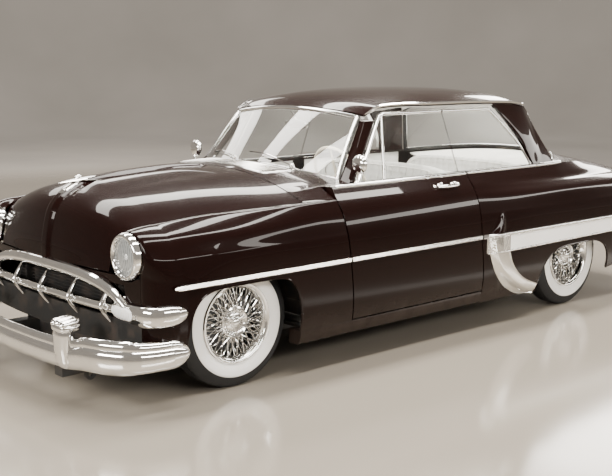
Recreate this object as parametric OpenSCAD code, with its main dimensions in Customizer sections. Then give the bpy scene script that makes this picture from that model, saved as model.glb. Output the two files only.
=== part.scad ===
// Two-door hardtop saloon of the middle 1950s, lowered, on wire wheels.
// Millimetres. +X forward, +Y to the car's left, +Z up; the origin is on the ground, mid-length.
// The outer panels are lofts: a few key sections, joined by smooth curves, with a wall behind.

/* [Overall] */
// Overall length over the bumpers
car_length = 4990; // [4700:10:5300]
// Distance between the axles
wheelbase = 2921; // [2750:1:3100]
// Front axle to the front of the bumper
front_overhang = 900; // [860:5:960]
// Half width of the body at the side strip
body_half = 930; // [900:5:980]
// Height of the roof's crown
roof_top = 1515; // [1480:5:1600]
// Height of the window sill, the belt
belt_z = 1000; // [985:5:1015]

/* [Panels] */
// Wall of the fenders, hood, trunk lid and cowl
skin = 18; // [12:1:24]
// Thickness of a whole door
door_wall = 60; // [45:1:70]
// Thickness of the roof and its pillars
roof_wall = 30; // [22:1:40]
// Gap round the doors, hood and trunk lid
panel_gap = 9; // [8:0.5:12]
// Gap between fixed panels
seam = 0.4; // [0.3:0.05:0.8]
// Thickness of the glass
glass_wall = 6; // [4:0.5:8]
// How far the inside of a swinging edge stands back
edge_taper = 16; // [12:1:20]

/* [Wheels] */
// Outside radius of the tyre
tyre_r = 345; // [320:1:370]
// Width of the tyre
tyre_w = 166; // [150:1:185]
// Radius of the wheel's rim
rim_r = 205; // [190:1:215]
// Half of the front track
front_track = 715; // [690:1:720]
// Half of the rear track
rear_track = 730; // [700:1:740]
// Radius of the stub axle
stub_r = 16; // [14:0.5:20]
// Running clearance on the stub axle
stub_clear = 0.3; // [0.2:0.05:0.5]

/* [Chassis] */
// Outer side of the frame rails
rail_y = 470; // [440:5:480]
// Width of a frame rail
rail_w = 75; // [60:1:90]
// Underside of the frame rails
rail_z = 150; // [140:1:170]
// Top of the frame rails and underside of the floor
floor_z = 240; // [230:1:250]
// Thickness of the floor
floor_t = 20; // [15:1:25]

/* [Steering] */
// Radius of the steering wheel
helm_r = 215; // [190:1:225]
// Distance of the steering column from the centre line
helm_y = 370; // [340:5:400]

/* [Hidden] */
$fn = 64;

// Axle places: stations ahead are written from F, stations behind from R
F = car_length / 2 - front_overhang;
R = F - wheelbase;
nose_x = F + 600;
tail_x = R - 1099;

// ---- Curves ----
function mix(a, b, t) = a + (b - a) * t;
function limit(x, a, b) = min(max(x, a), b);
function ease(t) = let (s = limit(t, 0, 1)) s * s * (3 - 2 * s);
function flat(rows) = [for (row = rows) each row];

// The part of the key table that holds x: the keys rise with their first number
function part_of(keys, x, i = 0) =
  i >= len(keys) - 2 || x <= keys[i + 1][0] ? i : part_of(keys, x, i + 1);

function rise(keys, i) =
  let (a = max(i - 1, 0), b = min(i + 1, len(keys) - 1))
  (keys[b][1] - keys[a][1]) / (keys[b][0] - keys[a][0]);

// Smooth curve through keys [[x, value], ...], where a value may be a list; level beyond the ends
function along(keys, x) =
  let (i = part_of(keys, x), h = keys[i + 1][0] - keys[i][0], t = limit((x - keys[i][0]) / h, 0, 1))
  keys[i][1] * (1 + 2 * t) * (1 - t) * (1 - t) + keys[i + 1][1] * t * t * (3 - 2 * t)
  + rise(keys, i) * h * t * (1 - t) * (1 - t) - rise(keys, i + 1) * h * t * t * (1 - t);

// Smooth curve through evenly spaced points, t from 0 to 1
function through(points, t) =
  along([for (i = [0:len(points) - 1]) [i / (len(points) - 1), points[i]]], t);

function steps(n) = [for (i = [0:n]) i / n];

// ---- Lofted walls ----
// Unit normal of a grid of points at row i, column j
function normal_at(g, i, j) =
  let (
    du = g[min(i + 1, len(g) - 1)][j] - g[max(i - 1, 0)][j],
    dv = g[i][min(j + 1, len(g[0]) - 1)] - g[i][max(j - 1, 0)],
    n = cross(du, dv)
  ) n / norm(n);

// The same grid moved inwards along its normals
function inward(g, wall) =
  [for (i = [0:len(g) - 1]) [for (j = [0:len(g[0]) - 1]) g[i][j] - wall * normal_at(g, i, j)]];

// The inner grid with its first or last rows, or its first columns, set off by a step instead
function square_first_rows(inner, outer, count, step) =
  [for (i = [0:len(outer) - 1]) i < count ? [for (p = outer[i]) p - step] : inner[i]];
function square_last_rows(inner, outer, count, step) =
  [for (i = [0:len(outer) - 1]) i >= len(outer) - count ? [for (p = outer[i]) p - step] : inner[i]];
function square_first_cols(inner, outer, count, step) =
  [for (i = [0:len(outer) - 1])
    [for (j = [0:len(outer[0]) - 1]) j < count ? outer[i][j] - step : inner[i][j]]];

// Closed wall between an outer and an inner grid of the same size
module wall_between(outer, inner) {
  rows = len(outer);
  cols = len(outer[0]);
  last = rows * cols;
  at = function(i, j) i * cols + j;
  quad = function(a, b, c, d) [[a, b, c], [a, c, d]];
  outside = [for (i = [0:rows - 2]) for (j = [0:cols - 2])
    each quad(at(i, j), at(i, j + 1), at(i + 1, j + 1), at(i + 1, j))];
  inside = [for (face = outside) [face[2] + last, face[1] + last, face[0] + last]];
  rim_rows = [for (i = [0:rows - 2]) each concat(
    quad(at(i, 0), at(i + 1, 0), at(i + 1, 0) + last, at(i, 0) + last),
    quad(at(i + 1, cols - 1), at(i, cols - 1), at(i, cols - 1) + last, at(i + 1, cols - 1) + last))];
  rim_cols = [for (j = [0:cols - 2]) each concat(
    quad(at(0, j + 1), at(0, j), at(0, j) + last, at(0, j + 1) + last),
    quad(at(rows - 1, j), at(rows - 1, j + 1), at(rows - 1, j + 1) + last, at(rows - 1, j) + last))];
  polyhedron(concat(flat(outer), flat(inner)), concat(outside, inside, rim_rows, rim_cols));
}

// Closed bar through rings of points, each ring in the same order
module bar_through(rings) {
  n = len(rings[0]);
  m = len(rings);
  sides = [for (i = [0:m - 2]) for (j = [0:n - 1]) let (k = (j + 1) % n)
    each [[i * n + j, i * n + k, (i + 1) * n + k], [i * n + j, (i + 1) * n + k, (i + 1) * n + j]]];
  first = [for (j = [1:n - 2]) [0, j + 1, j]];
  final = [for (j = [1:n - 2]) [(m - 1) * n, (m - 1) * n + j, (m - 1) * n + j + 1]];
  polyhedron(flat(rings), concat(sides, first, final));
}

// ---- Body side ----
// How far the side stands in from body_half, by height
side_keys = [[175, 52], [270, 26], [400, 4], [600, 0], [750, 6], [850, 30], [915, 62], [belt_z, 130]];
// How far the plan draws in towards the tail
plan_keys = [[R - 1130, 150], [R - 1029, 72], [R - 850, 34], [R - 600, 8], [R - 300, 0], [F, 0]];
// Leading edge of the rear fender's raised panel, by height, ahead of the rear axle
raise_keys = [[175, 581], [250, 761], [350, 931], [450, 1021], [600, 1061], [750, 961], [860, 871]];
raise_out = 22;
raise_run = 240;

function raised(x, z) =
  raise_out * ease((R + along(raise_keys, z) - x) / raise_run) * ease((900 - z) / 60);
function side_y(x, z) = body_half - along(side_keys, z) - along(plan_keys, x) + raised(x, z);

// Door openings: x of the two gaps by height
front_gap_keys = [[267, -723], [604, -686], [933, -645], [belt_z, -655]];
rear_gap_keys = [[290, 1071], [600, 1111], [917, 1131], [belt_z, 1128]];
function front_gap(z) = F + along(front_gap_keys, z);
function rear_gap(z) = R + along(rear_gap_keys, z);
door_low = 268;
sill_top = 260;

// ---- Door ----
function door_face(drop, inset_rear, inset_front) =
  [for (s = steps(12)) let (z = mix(door_low, belt_z, s))
    [for (t = steps(8)) let (
      x = mix(rear_gap(z) + panel_gap / 2 + inset_rear, front_gap(z) - panel_gap / 2 - inset_front, t))
      [x, side_y(x, z) - drop, z]]];

module door_shell() wall_between(door_face(0, 0, 0), door_face(door_wall, edge_taper, 0));

module door_left() color("#2a1512") door_shell();
module door_right() color("#2a1512") mirror([0, 1, 0]) door_shell();

// ---- Greenhouse side ----
glass_low_y = body_half - 185;
lean = 0.40;
// y of the side glass plane
function glass_y(x, z) =
  glass_low_y - lean * (z - belt_z) - along([[R + 150, 42], [R + 500, 18], [R + 1000, 0]], x);
glass_top = roof_top - 137;

// Outline of the door's glass: front pillar, rail, open rear edge
glass_front_low = F - 915;
glass_front_high = F - 1232;
glass_split = R + 1140;

function side_glass(x_low_rear, x_high_rear, drop) =
  [for (s = steps(6)) let (z = mix(belt_z + seam, glass_top, s))
    [for (t = steps(8)) let (
      x = mix(mix(x_low_rear, x_high_rear, s), mix(glass_front_low, glass_front_high, s), t))
      [x, glass_y(x, z) - drop, z]]];

module door_glass_shell()
  wall_between(side_glass(glass_split, glass_split, 0), side_glass(glass_split, glass_split, glass_wall));

module door_glass_left() color("#b9c8c4", 0.4) door_glass_shell();
module door_glass_right() color("#b9c8c4", 0.4) mirror([0, 1, 0]) door_glass_shell();

// ---- Front fender ----
// Key sections: seam at the hood, crown, shoulder, side
fender_keys = [
  [F - 690, [[855, 935], [862, 926], [900, 850], [924, 750]]],
  [F - 410, [[840, 938], [862, 925], [902, 850], [924, 750]]],
  [F - 100, [[778, 928], [830, 922], [895, 850], [924, 750]]],
  [F + 170, [[722, 912], [782, 920], [880, 850], [920, 750]]],
  [F + 440, [[674, 884], [735, 896], [840, 850], [900, 750]]]
];
lamp_y = 710;
lamp_z = 755;
lamp_r = 100;
lamp_ring = 120;

// Lower edge of the fender, with the wheel opening
arch_top = 580;
arch_front = 400;
arch_back = 345;
fender_low = sill_top + seam;
front_low = 300;
function arch(x, reach, low, high, power) = low + (high - low) * sqrt(max(0, 1 - pow(x / reach, power)));
function fender_edge(x) =
  let (d = x - F)
  d > arch_front ? front_low
  : d > 0 ? arch(d, arch_front, front_low, arch_top, 6)
  : d > -arch_back ? arch(-d, arch_back, fender_low, arch_top, 6) : fender_low;

half_shift = body_half - 930;

// Lower part of a side section: from z 750 down to the edge, s from 0 to 1
function lower_side(x, y_upper, z_edge, s) =
  let (z = mix(750, z_edge, s)) [side_y(x, z) + (y_upper - side_y(x, 750)) * (1 - s), z];

// One fender section at x: from the seam to the lower edge, s from 0 to 1
function fender_section(x, s) =
  let (keys = [for (p = along(fender_keys, x)) p + [half_shift, 0]])
  s <= 0.5 ? through(keys, s * 2) : lower_side(x, keys[3][0], fender_edge(x), s * 2 - 1);

// The rim that the fender's nose closes to, round the headlamp and down the corner
ring_from = 160;
ring_to = -35;
fender_cols = 16;
ring_share = 10 / fender_cols;
function ring_point(a) = [lamp_y + lamp_ring * cos(a), lamp_z + lamp_ring * sin(a)];
corner_y = lamp_y + 95;
function nose_rim(s) =
  s <= ring_share ? ring_point(mix(ring_from, ring_to, s / ring_share))
  : mix(ring_point(ring_to), [corner_y, front_low], (s - ring_share) / (1 - ring_share));

hood_back = F - 414;
cowl_corner_x = F - 640;
cowl_front_x = hood_back - panel_gap;
loft_start = F + 440;
rim_x = nose_x - 12;
fender_back = front_gap(933) + panel_gap / 2;
fender_stations = concat(
  [fender_back], [for (k = [1:4]) mix(cowl_corner_x, cowl_front_x, k / 4)],
  [for (i = [0:10]) F + mix(-arch_back, arch_front, (1 - cos(18 * i)) / 2)],
  [loft_start]);

function fender_row(x) =
  [for (s = steps(fender_cols)) let (
    p = fender_section(x, s),
    fade = pow(limit((F - 400 - x) / (F - 400 - fender_back), 0, 1), 2),
    skew = (front_gap(limit(p[1], door_low, 933)) - front_gap(933)) * fade)
    [x + skew, p[0], p[1]]];

function fender_nose_row(a) =
  [for (s = steps(fender_cols)) let (p = fender_section(loft_start, s), q = nose_rim(s), k = 1 - cos(a))
    [mix(loft_start, rim_x, sin(a)), mix(p[0], q[0], k), mix(p[1], q[1], k)]];

fender_grid = concat(
  [for (x = fender_stations) fender_row(x)], [for (i = [1:5]) fender_nose_row(18 * i)]);

fender_inner = square_last_rows(
  square_first_cols(inward(fender_grid, skin), fender_grid, 4, [0, 0, skin]),
  fender_grid, 2, [skin, 0, 0]);
module fender_shell() wall_between(fender_grid, fender_inner);

module fender_left() color("#2a1512") fender_shell();
module fender_right() color("#2a1512") mirror([0, 1, 0]) fender_shell();

// ---- Hood ----
crown_keys = [[0, [hood_back, 0, 1082]], [0.25, [F - 150, 0, 1076]], [0.5, [F + 150, 0, 1060]],
  [0.7, [F + 400, 0, 1034]], [0.8, [F + 512, 0, 1002]], [0.88, [F + 600, 0, 920]],
  [0.95, [F + 641, 0, 773]], [1, [F + 650, 0, 664]]];
seam_keys = [[0, [hood_back, 832, 938]], [0.25, [F - 150, 780, 930]], [0.5, [F + 110, 724, 914]],
  [0.7, [F + 350, 680, 894]], [0.8, [F + 492, 656, 870]], [0.86, [F + 545, 626, 844]],
  [0.9, [F + 572, 594, 812]], [0.95, [F + 600, 578, 745]], [1, [F + 618, 570, 664]]];

function hood_point(u, v) =
  let (c = along(crown_keys, u), e = along(seam_keys, u) + [0, half_shift, 0], w = pow(abs(v), 2.4))
  [mix(c[0], e[0], pow(abs(v), 2)), e[1] * v, mix(c[2], e[2], w)];

hood_rows = concat([for (i = [0:9]) 0.7 * i / 10], [for (i = [0:8]) 0.7 + 0.3 * i / 8]);
function hood_grid(rows) = [for (u = rows) [for (v = [-6:6]) hood_point(u, v / 6)]];
hood_taper = edge_taper * 0.25 / (F - 150 - hood_back);

module hood() color("#2a1512")
  wall_between(
    hood_grid(hood_rows), inward(hood_grid([for (u = hood_rows) u == 0 ? hood_taper : u]), skin));

// ---- Windshield, cowl and front pillars ----
function fan(center, corner, u, px, pz) =
  [mix(center[0], corner[0], pow(abs(u), px)), corner[1] * u, mix(center[2], corner[2], pow(abs(u), pz))];
function wind_base(u) = fan([F - 665, 0, 1098], [F - 852, 640 + half_shift, 1022], u, 2.2, 2);
function wind_head(u) = fan([F - 1040, 0, 1400], [F - 1092, 560 + half_shift, 1357], u, 2, 2);
glass_sink = 12;

function sheet_grid(low, high, n, m, bulge) =
  [for (s = steps(n)) [for (v = [m:-1:-m]) let (p = mix(low(v / m), high(v / m), s))
    p + [bulge * s * (1 - s) * 4, 0, 0]]];

windshield_grid = sheet_grid(
  function(u) wind_base(u) - [0, 0, glass_sink], function(u) wind_head(u), 5, 7, 10);
module windshield() wall_between(windshield_grid, inward(windshield_grid, glass_wall));

cowl_wall = skin + 7;
door_inner_y = body_half - 130 - door_wall;
foot_y = door_inner_y - 18;
// The cowl's back edge: along the glass, along the door's inside, out to the fender
function cowl_back(v) =
  let (a = abs(v), side = v < 0 ? -1 : 1)
  a <= 0.7 ? wind_base(v / 0.7) + [seam, 0, 0]
  : a <= 0.8 ? [F - 851.6, side * mix(640 + half_shift, foot_y, (a - 0.7) / 0.1), mix(1022, 1000, (a - 0.7) / 0.1)]
  : a <= 0.9 ? [mix(F - 851.6, cowl_corner_x, (a - 0.8) / 0.1), side * foot_y, 1000]
  : let (e = fender_section(cowl_corner_x, 0), k = (a - 0.9) / 0.1)
    [cowl_corner_x, side * mix(foot_y, e[0] - 2 * seam, k), mix(belt_z, e[1], k)];
function cowl_front(v) =
  let (a = abs(v), e = fender_section(cowl_front_x, 0),
    y = a <= 0.9 ? foot_y * a / 0.9 : mix(foot_y, e[0] - 2 * seam, (a - 0.9) / 0.1))
  [cowl_front_x, sign(v) * y, hood_point(0, y / seam_keys[0][1][1])[2]];
function cowl_point(v, t) =
  let (p = mix(cowl_back(v), cowl_front(v), t), e = fender_section(p[0], 0))
  abs(v) < 0.99 ? p : [p[0], sign(v) * (e[0] - 2 * seam), e[1]];
cowl_grid = [for (t = steps(4)) [for (j = [-10:10]) cowl_point(j / 10, t)]];
cowl_under = [for (row = cowl_grid) [for (p = row) p - [0, 0, cowl_wall]]];
module cowl() color("#2a1512") wall_between(cowl_grid, cowl_under);

module firewall()
  translate([F - 452, 0, 0]) rotate([90, 0, 90]) linear_extrude(12)
    polygon(concat(
      [[640, floor_z + floor_t + seam], [-640, floor_z + floor_t + seam]],
      [for (v = [-8:8]) let (p = hood_point(0, v / 10)) [p[1], p[2] - cowl_wall - 12]]));

// ---- Roof ----
roof_edge_keys = [
  [R + 235, [592, 1336]], [R + 330, [606, 1396]], [R + 620, [614, 1420]],
  [F - 1700, [618, 1424]], [F - 1215, [606, 1418]], [F - 1097, [594, 1368]]];
crown_line = [
  [R + 161, 1446], [R + 420, 1486], [R + 720, roof_top - 6], [F - 1800, roof_top],
  [F - 1500, roof_top - 9], [F - 1300, roof_top - 29], [F - 1150, roof_top - 63], [F - 1045, 1410]];
function roof_edge(x) = along(roof_edge_keys, x) + [half_shift, 0];

deck_corner_x = R + 81;
function rear_base(u) = fan([R - 349, 0, 1046], [deck_corner_x, 688 + half_shift, 1001 + seam], u, 3, 2.2);
function rear_head(u) = fan([R + 161, 0, 1436], [R + 221, 570 + half_shift, 1326], u, 3, 2.6);
head_clear = 6.4;

function roof_edge_x(t) = mix(R + 239, F - 1107, t);
function roof_point(t, v) =
  let (
    xc = mix(R + 161 + head_clear, F - 1040 - head_clear, t),
    xe = roof_edge_x(t),
    e = roof_edge(xe)
  ) [mix(xc, xe, pow(abs(v), mix(3, 2, t))), e[0] * v, mix(along(crown_line, xc), e[1], pow(abs(v), 2.6))];
pillar_rows = [0.01, 0.06, 0.11, 0.16, 0.21, 0.26];
roof_rows = concat([0], pillar_rows, [for (i = [5:12]) i / 13], [0.96, 1]);
roof_grid = [for (t = roof_rows) [for (v = [-8:8]) roof_point(t, sin(v * 90 / 8))]];
roof_under = [for (row = roof_grid) [for (p = row) p - [0, 0, roof_wall]]];

module front_pillar()
  bar_through([
    for (ring = [
      [900, -852.4, -898, 652, foot_y], [1000, -852.4, -905, 652, foot_y],
      [1330, -1090, -1183, 570, 604], [1336, -1094, -1187, 568, 602]])
      [for (c = [[2, 3], [2, 4], [1, 4], [1, 3]]) [F + ring[c[0]], ring[c[1]] + half_shift, ring[0]]]]);

// Broad rear pillar between the side glass and the rear window
function rear_pillar_face(drop) =
  [for (s = steps(8)) [for (t = [0:5]) let (
    front = along([[0, R + 344], [0.4, R + 425], [1, roof_edge_x(pillar_rows[5])]], s),
    x = mix(mix(R + 101, roof_edge_x(pillar_rows[0]), s), front, t / 5),
    e = roof_edge(x))
    [x, mix(glass_low_y - 8 - along([[R + 100, 14], [R + 400, 0]], x), e[0] - 1, s) - drop,
      mix(belt_z + 1 + seam, e[1] - roof_wall - seam, s)]]];
module rear_pillar() wall_between(rear_pillar_face(0), rear_pillar_face(roof_wall));

module roof() color("#2a1512") wall_between(roof_grid, roof_under);
module roof_pillars() color("#2a1512") for (side = [0, 1]) mirror([0, side, 0]) {
  front_pillar();
  rear_pillar();
}

// ---- Rear quarter ----
// Key sections: inner edge, belt, slope, crease, crown, shoulder, side
quarter_keys = [
  [R - 1000, [[580, 858], [625, 863], [680, 868], [735, 868], [785, 858], [842, 822], [880, 750]]],
  [R - 700, [[585, 922], [640, 915], [705, 900], [770, 888], [830, 878], [892, 838], [929, 750]]],
  [R - 440, [[592, 975], [655, 962], [720, 930], [785, 900], [848, 886], [908, 843], [942, 750]]],
  [R - 150, [[650, 1002], [728, 990], [775, 945], [815, 905], [865, 890], [918, 846], [946, 750]]],
  [R + 81, [[692, 1001], [770, 1001], [803, 952], [835, 909], [875, 890], [924, 846], [946, 750]]],
  [R + 200, [[698, 1000], [785, 1000], [815, 955], [842, 912], [880, 890], [925, 846], [946, 750]]],
  [R + 700, [[698, 1000], [798, 1000], [828, 960], [852, 925], [880, 895], [920, 848], [946, 750]]],
  [R + 1125, [[698, 1000], [800, 1000], [832, 962], [855, 935], [872, 905], [900, 850], [924, 750]]]];
rear_low = 182;
rear_arch_top = 466;
rear_arch_front = 520;
rear_arch_back = 300;
rear_tail_low = 240;
function quarter_edge(x) =
  let (d = x - R)
  d > rear_arch_front ? rear_low
  : d > 0 ? arch(d, rear_arch_front, rear_low, rear_arch_top, 5)
  : d > -rear_arch_back ? arch(-d, rear_arch_back, rear_tail_low, rear_arch_top, 3)
  : mix(rear_tail_low, rear_tail_low + 60, (-rear_arch_back - d) / 700);

function quarter_section(x, s) =
  let (keys = [for (p = along(quarter_keys, x)) p + [half_shift, 0]])
  s <= 0.1 ? mix(keys[0], keys[1], s / 0.1)
  : s <= 0.6 ? through([for (k = [1:6]) keys[k]], (s - 0.1) / 0.5) : lower_side(x, keys[6][0], quarter_edge(x), (s - 0.6) / 0.4);

tail_rim_keys = [
  [572, 800], [612, 820], [655, 830], [700, 832], [745, 822], [785, 790], [808, 730],
  [815, 640], [818, 540], [815, 420]];
function tail_rim(s) = through(tail_rim_keys, s) + [half_shift, 0];
tail_loft = R - 1000;
quarter_front = rear_gap(917) - panel_gap / 2;
quarter_stations = concat(
  [for (i = [5:-1:1]) R - rear_arch_back - 140 * i],
  [for (i = [0:5]) R - rear_arch_back * cos(18 * i)],
  [deck_corner_x], [for (i = [2:7]) R + rear_arch_front * sin(90 * i / 7)],
  [R + 640, R + 760, R + 880, R + 1000, quarter_front]);

function quarter_row(x) =
  [for (s = steps(20)) let (
    p = quarter_section(x, s),
    fade = pow(limit((x - R - 760) / (quarter_front - R - 760), 0, 1), 2),
    skew = (rear_gap(limit(p[1], rear_low, 917)) - rear_gap(917)) * fade)
    [x + skew, p[0], p[1]]];
function tail_row(a) =
  [for (s = steps(20)) let (p = quarter_section(tail_loft, s), q = tail_rim(s), k = 1 - cos(a))
    [mix(tail_loft, tail_x, sin(a)), mix(p[0], q[0], k), mix(p[1], q[1], k)]];
quarter_grid = concat(
  [for (i = [5:-1:1]) tail_row(18 * i)], [for (x = quarter_stations) quarter_row(x)]);

quarter_wall = square_first_rows(
  square_first_cols(inward(quarter_grid, skin), quarter_grid, 1, [0, 0, skin]),
  quarter_grid, 1, [-skin, 0, 0]);
module quarter_shell() wall_between(quarter_grid, quarter_wall);
module quarter_left() color("#2a1512") quarter_shell();
module quarter_right() color("#2a1512") mirror([0, 1, 0]) quarter_shell();

// ---- Rear deck, trunk lid and tail ----
function quarter_inner(x) = let (p = quarter_section(x, 0)) [x, p[0], p[1]];
deck_end = R - 439;
lid_start = deck_end - panel_gap - 2;
function deck_point(t, v) =
  let (e = quarter_inner(mix(deck_corner_x, deck_end, t)), c = [mix(R - 349, deck_end, t), 0, mix(1045.6, 1004, t)])
  [mix(c[0], e[0], pow(abs(v), 3)) + (1 - t) * -seam, (e[1] - 2 * seam) * v,
    mix(c[2], e[2], pow(abs(v), 2.2))];
deck_grid = [for (t = [6:-1:0]) [for (v = [-8:8]) deck_point(t / 6, v / 8)]];
deck_under = [for (row = deck_grid) [for (p = row) p - [0, 0, skin]]];
module rear_deck() color("#2a1512") wall_between(deck_grid, deck_under);

rear_window_grid = [for (s = steps(6)) [for (v = [-8:8]) let (p = mix(rear_base(v / 8), rear_head(v / 8), s))
  p + [-26 * s * (1 - s) * (1 - pow(v / 8, 2)), 0, 0]]];
module rear_window() wall_between(rear_window_grid, inward(rear_window_grid, glass_wall));

lid_low = 508;
lid_crown = [[0, [lid_start, 0, 1003]], [0.3, [R - 640, 0, 962]], [0.6, [R - 880, 0, 902]],
  [0.75, [R - 990, 0, 858]], [0.85, [R - 1062, 0, 790]], [1, [tail_x - 6, 0, lid_low]]];
function lid_edge(u) =
  u <= 0.75 ? quarter_inner(lid_crown_x(u)) - [0, panel_gap, 0]
  : let (k = (u - 0.75) / 0.25, a = quarter_inner(lid_crown_x(0.75)) - [0, panel_gap, 0])
    [mix(a[0], tail_x - 2, sin(90 * k)), mix(a[1], 560 + half_shift, k), mix(a[2], lid_low, 1 - cos(90 * k))];
function lid_crown_x(u) = along(lid_crown, u)[0];
function lid_point(u, v) =
  let (c = along(lid_crown, u), e = lid_edge(u))
  [mix(c[0], e[0], pow(v, 2)), e[1] * v, mix(c[2], e[2], pow(abs(v), 2.4))];
lid_grid = [for (i = [14:-1:0]) [for (v = [-6:6]) lid_point(i / 14, v / 6)]];
module trunk_lid() color("#2a1512") wall_between(lid_grid, inward(lid_grid, skin));

tail_plate = 16;
plate_hole_y = 89;
plate_hole_z = 465;
module tail_panel() color("#2a1512")
  translate([tail_x, 0, 0]) rotate([90, 0, 90]) linear_extrude(tail_plate)
    difference() {
      polygon(concat(
        [for (s = steps(20)) let (p = tail_rim(s)) p - [0.5, 0.5]],
        [for (s = [20:-1:0]) let (p = tail_rim(s / 20)) [0.5 - p[0], p[1] - 0.5]]));
      translate([-572 - half_shift, lid_low - panel_gap]) square([1144 + 2 * half_shift, 400]);
      translate([-body_half, 0]) square([2 * body_half, rear_floor_z + 2]);
      for (side = [-1, 1]) translate([side * plate_hole_y, plate_hole_z]) circle(3.5);
    }

// ---- Nose ----
grille_w = 1120;
grille_low = 440;
grille_high = 612;
function nose_face_x(y) = rim_x + 52 * (1 - pow(abs(y) / corner_y, 2.2));
function nose_top(y) =
  let (a = abs(y) - lamp_y)
  abs(y) < lamp_y - 108 ? 654 : min(654, lamp_z - sqrt(max(0, pow(lamp_ring + 3, 2) - a * a)));
nose_cols = [for (j = [-14:14]) (corner_y - 0.5) * j / 14];
nose_grid = [for (s = [6:-1:0]) [for (y = nose_cols) [nose_face_x(y), y, mix(front_low, nose_top(y), s / 6)]]];
nose_inner = [for (row = nose_grid) [for (p = row) p - [skin, 0, 0]]];
module nose_panel() color("#2a1512")
  difference() {
    wall_between(nose_grid, nose_inner);
    translate([rim_x - 100, -grille_w / 2, grille_low]) cube([300, grille_w, grille_high - grille_low]);
  }

// Convex bar section swept through a plan curve; points are [depth, height]
function swept(path, section) =
  [for (i = [0:len(path) - 1]) let (
    d = path[min(i + 1, len(path) - 1)] - path[max(i - 1, 0)], n = [d[1], -d[0], 0] / norm([d[0], d[1]]))
    [for (q = section) path[i] + q[0] * n + [0, 0, q[1]]]];

grille_bar_z = 492;
bar_path = [for (v = [-14:14]) let (y = 800 * sin(v * 90 / 14)) [nose_face_x(y) + seam + 6, y, grille_bar_z]];
bar_section = [for (a = [0:30:330]) [20 + 20 * cos(a), 26 * sin(a)]];
module grille() color("#d9dadb") {
  bar_through(swept(bar_path, [for (q = bar_section) [q[0] - 6 + seam, q[1]]]));
  for (y = [-480, -240, 0, 240, 480]) translate([nose_face_x(y) + 26, y, 446]) {
    cylinder(h = 96, r = 25);
    translate([0, 0, 96]) sphere(25);
  }
}

module headlights() color("#e6e8ea") for (side = [-1, 1])
  translate([rim_x - 16, side * lamp_y, lamp_z]) rotate([0, 90, 0]) {
    cylinder(h = 22, r = lamp_ring * cos((ring_from - ring_to) / (2 * ring_share * fender_cols)) - seam);
    translate([0, 0, 21]) cylinder(h = 12, r1 = lamp_r, r2 = lamp_r - 12);
  }

module taillights() color("#7c1210") for (side = [-1, 1])
  translate([tail_x - seam, side * 752, 700]) rotate([0, -90, 0]) {
    cylinder(h = 22, r = 48);
    translate([0, 0, 22]) cylinder(h = 16, r1 = 40, r2 = 26);
  }

// ---- Bumpers ----
bumper_wall = 26;
bumper_section = [
  [0, -74], [bumper_wall - 10, -64], [bumper_wall, -24], [bumper_wall, 24], [bumper_wall - 10, 64], [0, 74]];
front_bumper_z = 286;
rear_bumper_z = 368;
front_bumper_keys = [
  [867, 0], [860, 240], [838, 470], [800, 670], [742, 800], [660, 884], [540, 922], [400, 926]];
rear_bumper_keys = [
  [1143, 0], [1140, 300], [1130, 560], [1118, 720], [1100, 830], [1062, 892], [1000, 918], [920, 934], [850, 938]];
function bumper_path(keys, at, way, z) =
  let (half = [for (s = steps(12)) through(keys, s)])
  concat(
    [for (i = [12:-1:1]) [at + way * half[i][0], -half[i][1] - half_shift * min(1, half[i][1] / 600), z]],
    [for (i = [0:12]) [at + way * half[i][0], half[i][1] + half_shift * min(1, half[i][1] / 600), z]]);
front_path = bumper_path(front_bumper_keys, F, 1, front_bumper_z);
rear_path = bumper_path(rear_bumper_keys, R, -1, rear_bumper_z);
guard_y = 425;
guard_r = 30;

module guard(x, z) translate([x, 0, z]) {
  cylinder(h = 190, r = guard_r);
  translate([0, 0, 190]) sphere(guard_r);
}

module front_bumper() color("#d9dadb") {
  bar_through(swept(front_path, bumper_section));
  for (side = [-1, 1]) translate([0, side * guard_y, 0]) guard(F + 866, 222);
}
module rear_bumper() color("#d9dadb") {
  bar_through(swept([for (i = [len(rear_path) - 1:-1:0]) rear_path[i]], bumper_section));
  for (side = [-1, 1]) translate([0, side * guard_y, 0]) guard(R - 1142, 302);
}

// ---- Floor ----
kick_x = R + 560;
rear_floor_z = 450;
sill_inner = 800 + half_shift;
module floor_pan() color("#3a3a3a") {
  translate([kick_x, -sill_inner + seam, floor_z])
    cube([F - 440 - kick_x, 2 * (sill_inner - seam), floor_t]);
  translate([kick_x - floor_t, -house_inner + seam, floor_z])
    cube([floor_t, 2 * (house_inner - seam), rear_floor_z + floor_t - floor_z]);
  translate([tail_x + tail_plate + seam, -house_inner + seam, rear_floor_z])
    cube([kick_x - tail_x - tail_plate - seam, 2 * (house_inner - seam), floor_t]);
}

module rocker()
  rotate([90, 0, 90]) translate([0, 0, R + 1067 + seam])
    linear_extrude(F - arch_back - R - 1067 - seam)
      polygon([
        [sill_inner, rear_low], [body_half - 54, rear_low], [body_half - 30, sill_top - 2],
        [body_half - 30, sill_top], [sill_inner, sill_top]]);
module rockers() color("#2a1512") for (side = [0, 1]) mirror([0, side, 0]) rocker();

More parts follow.
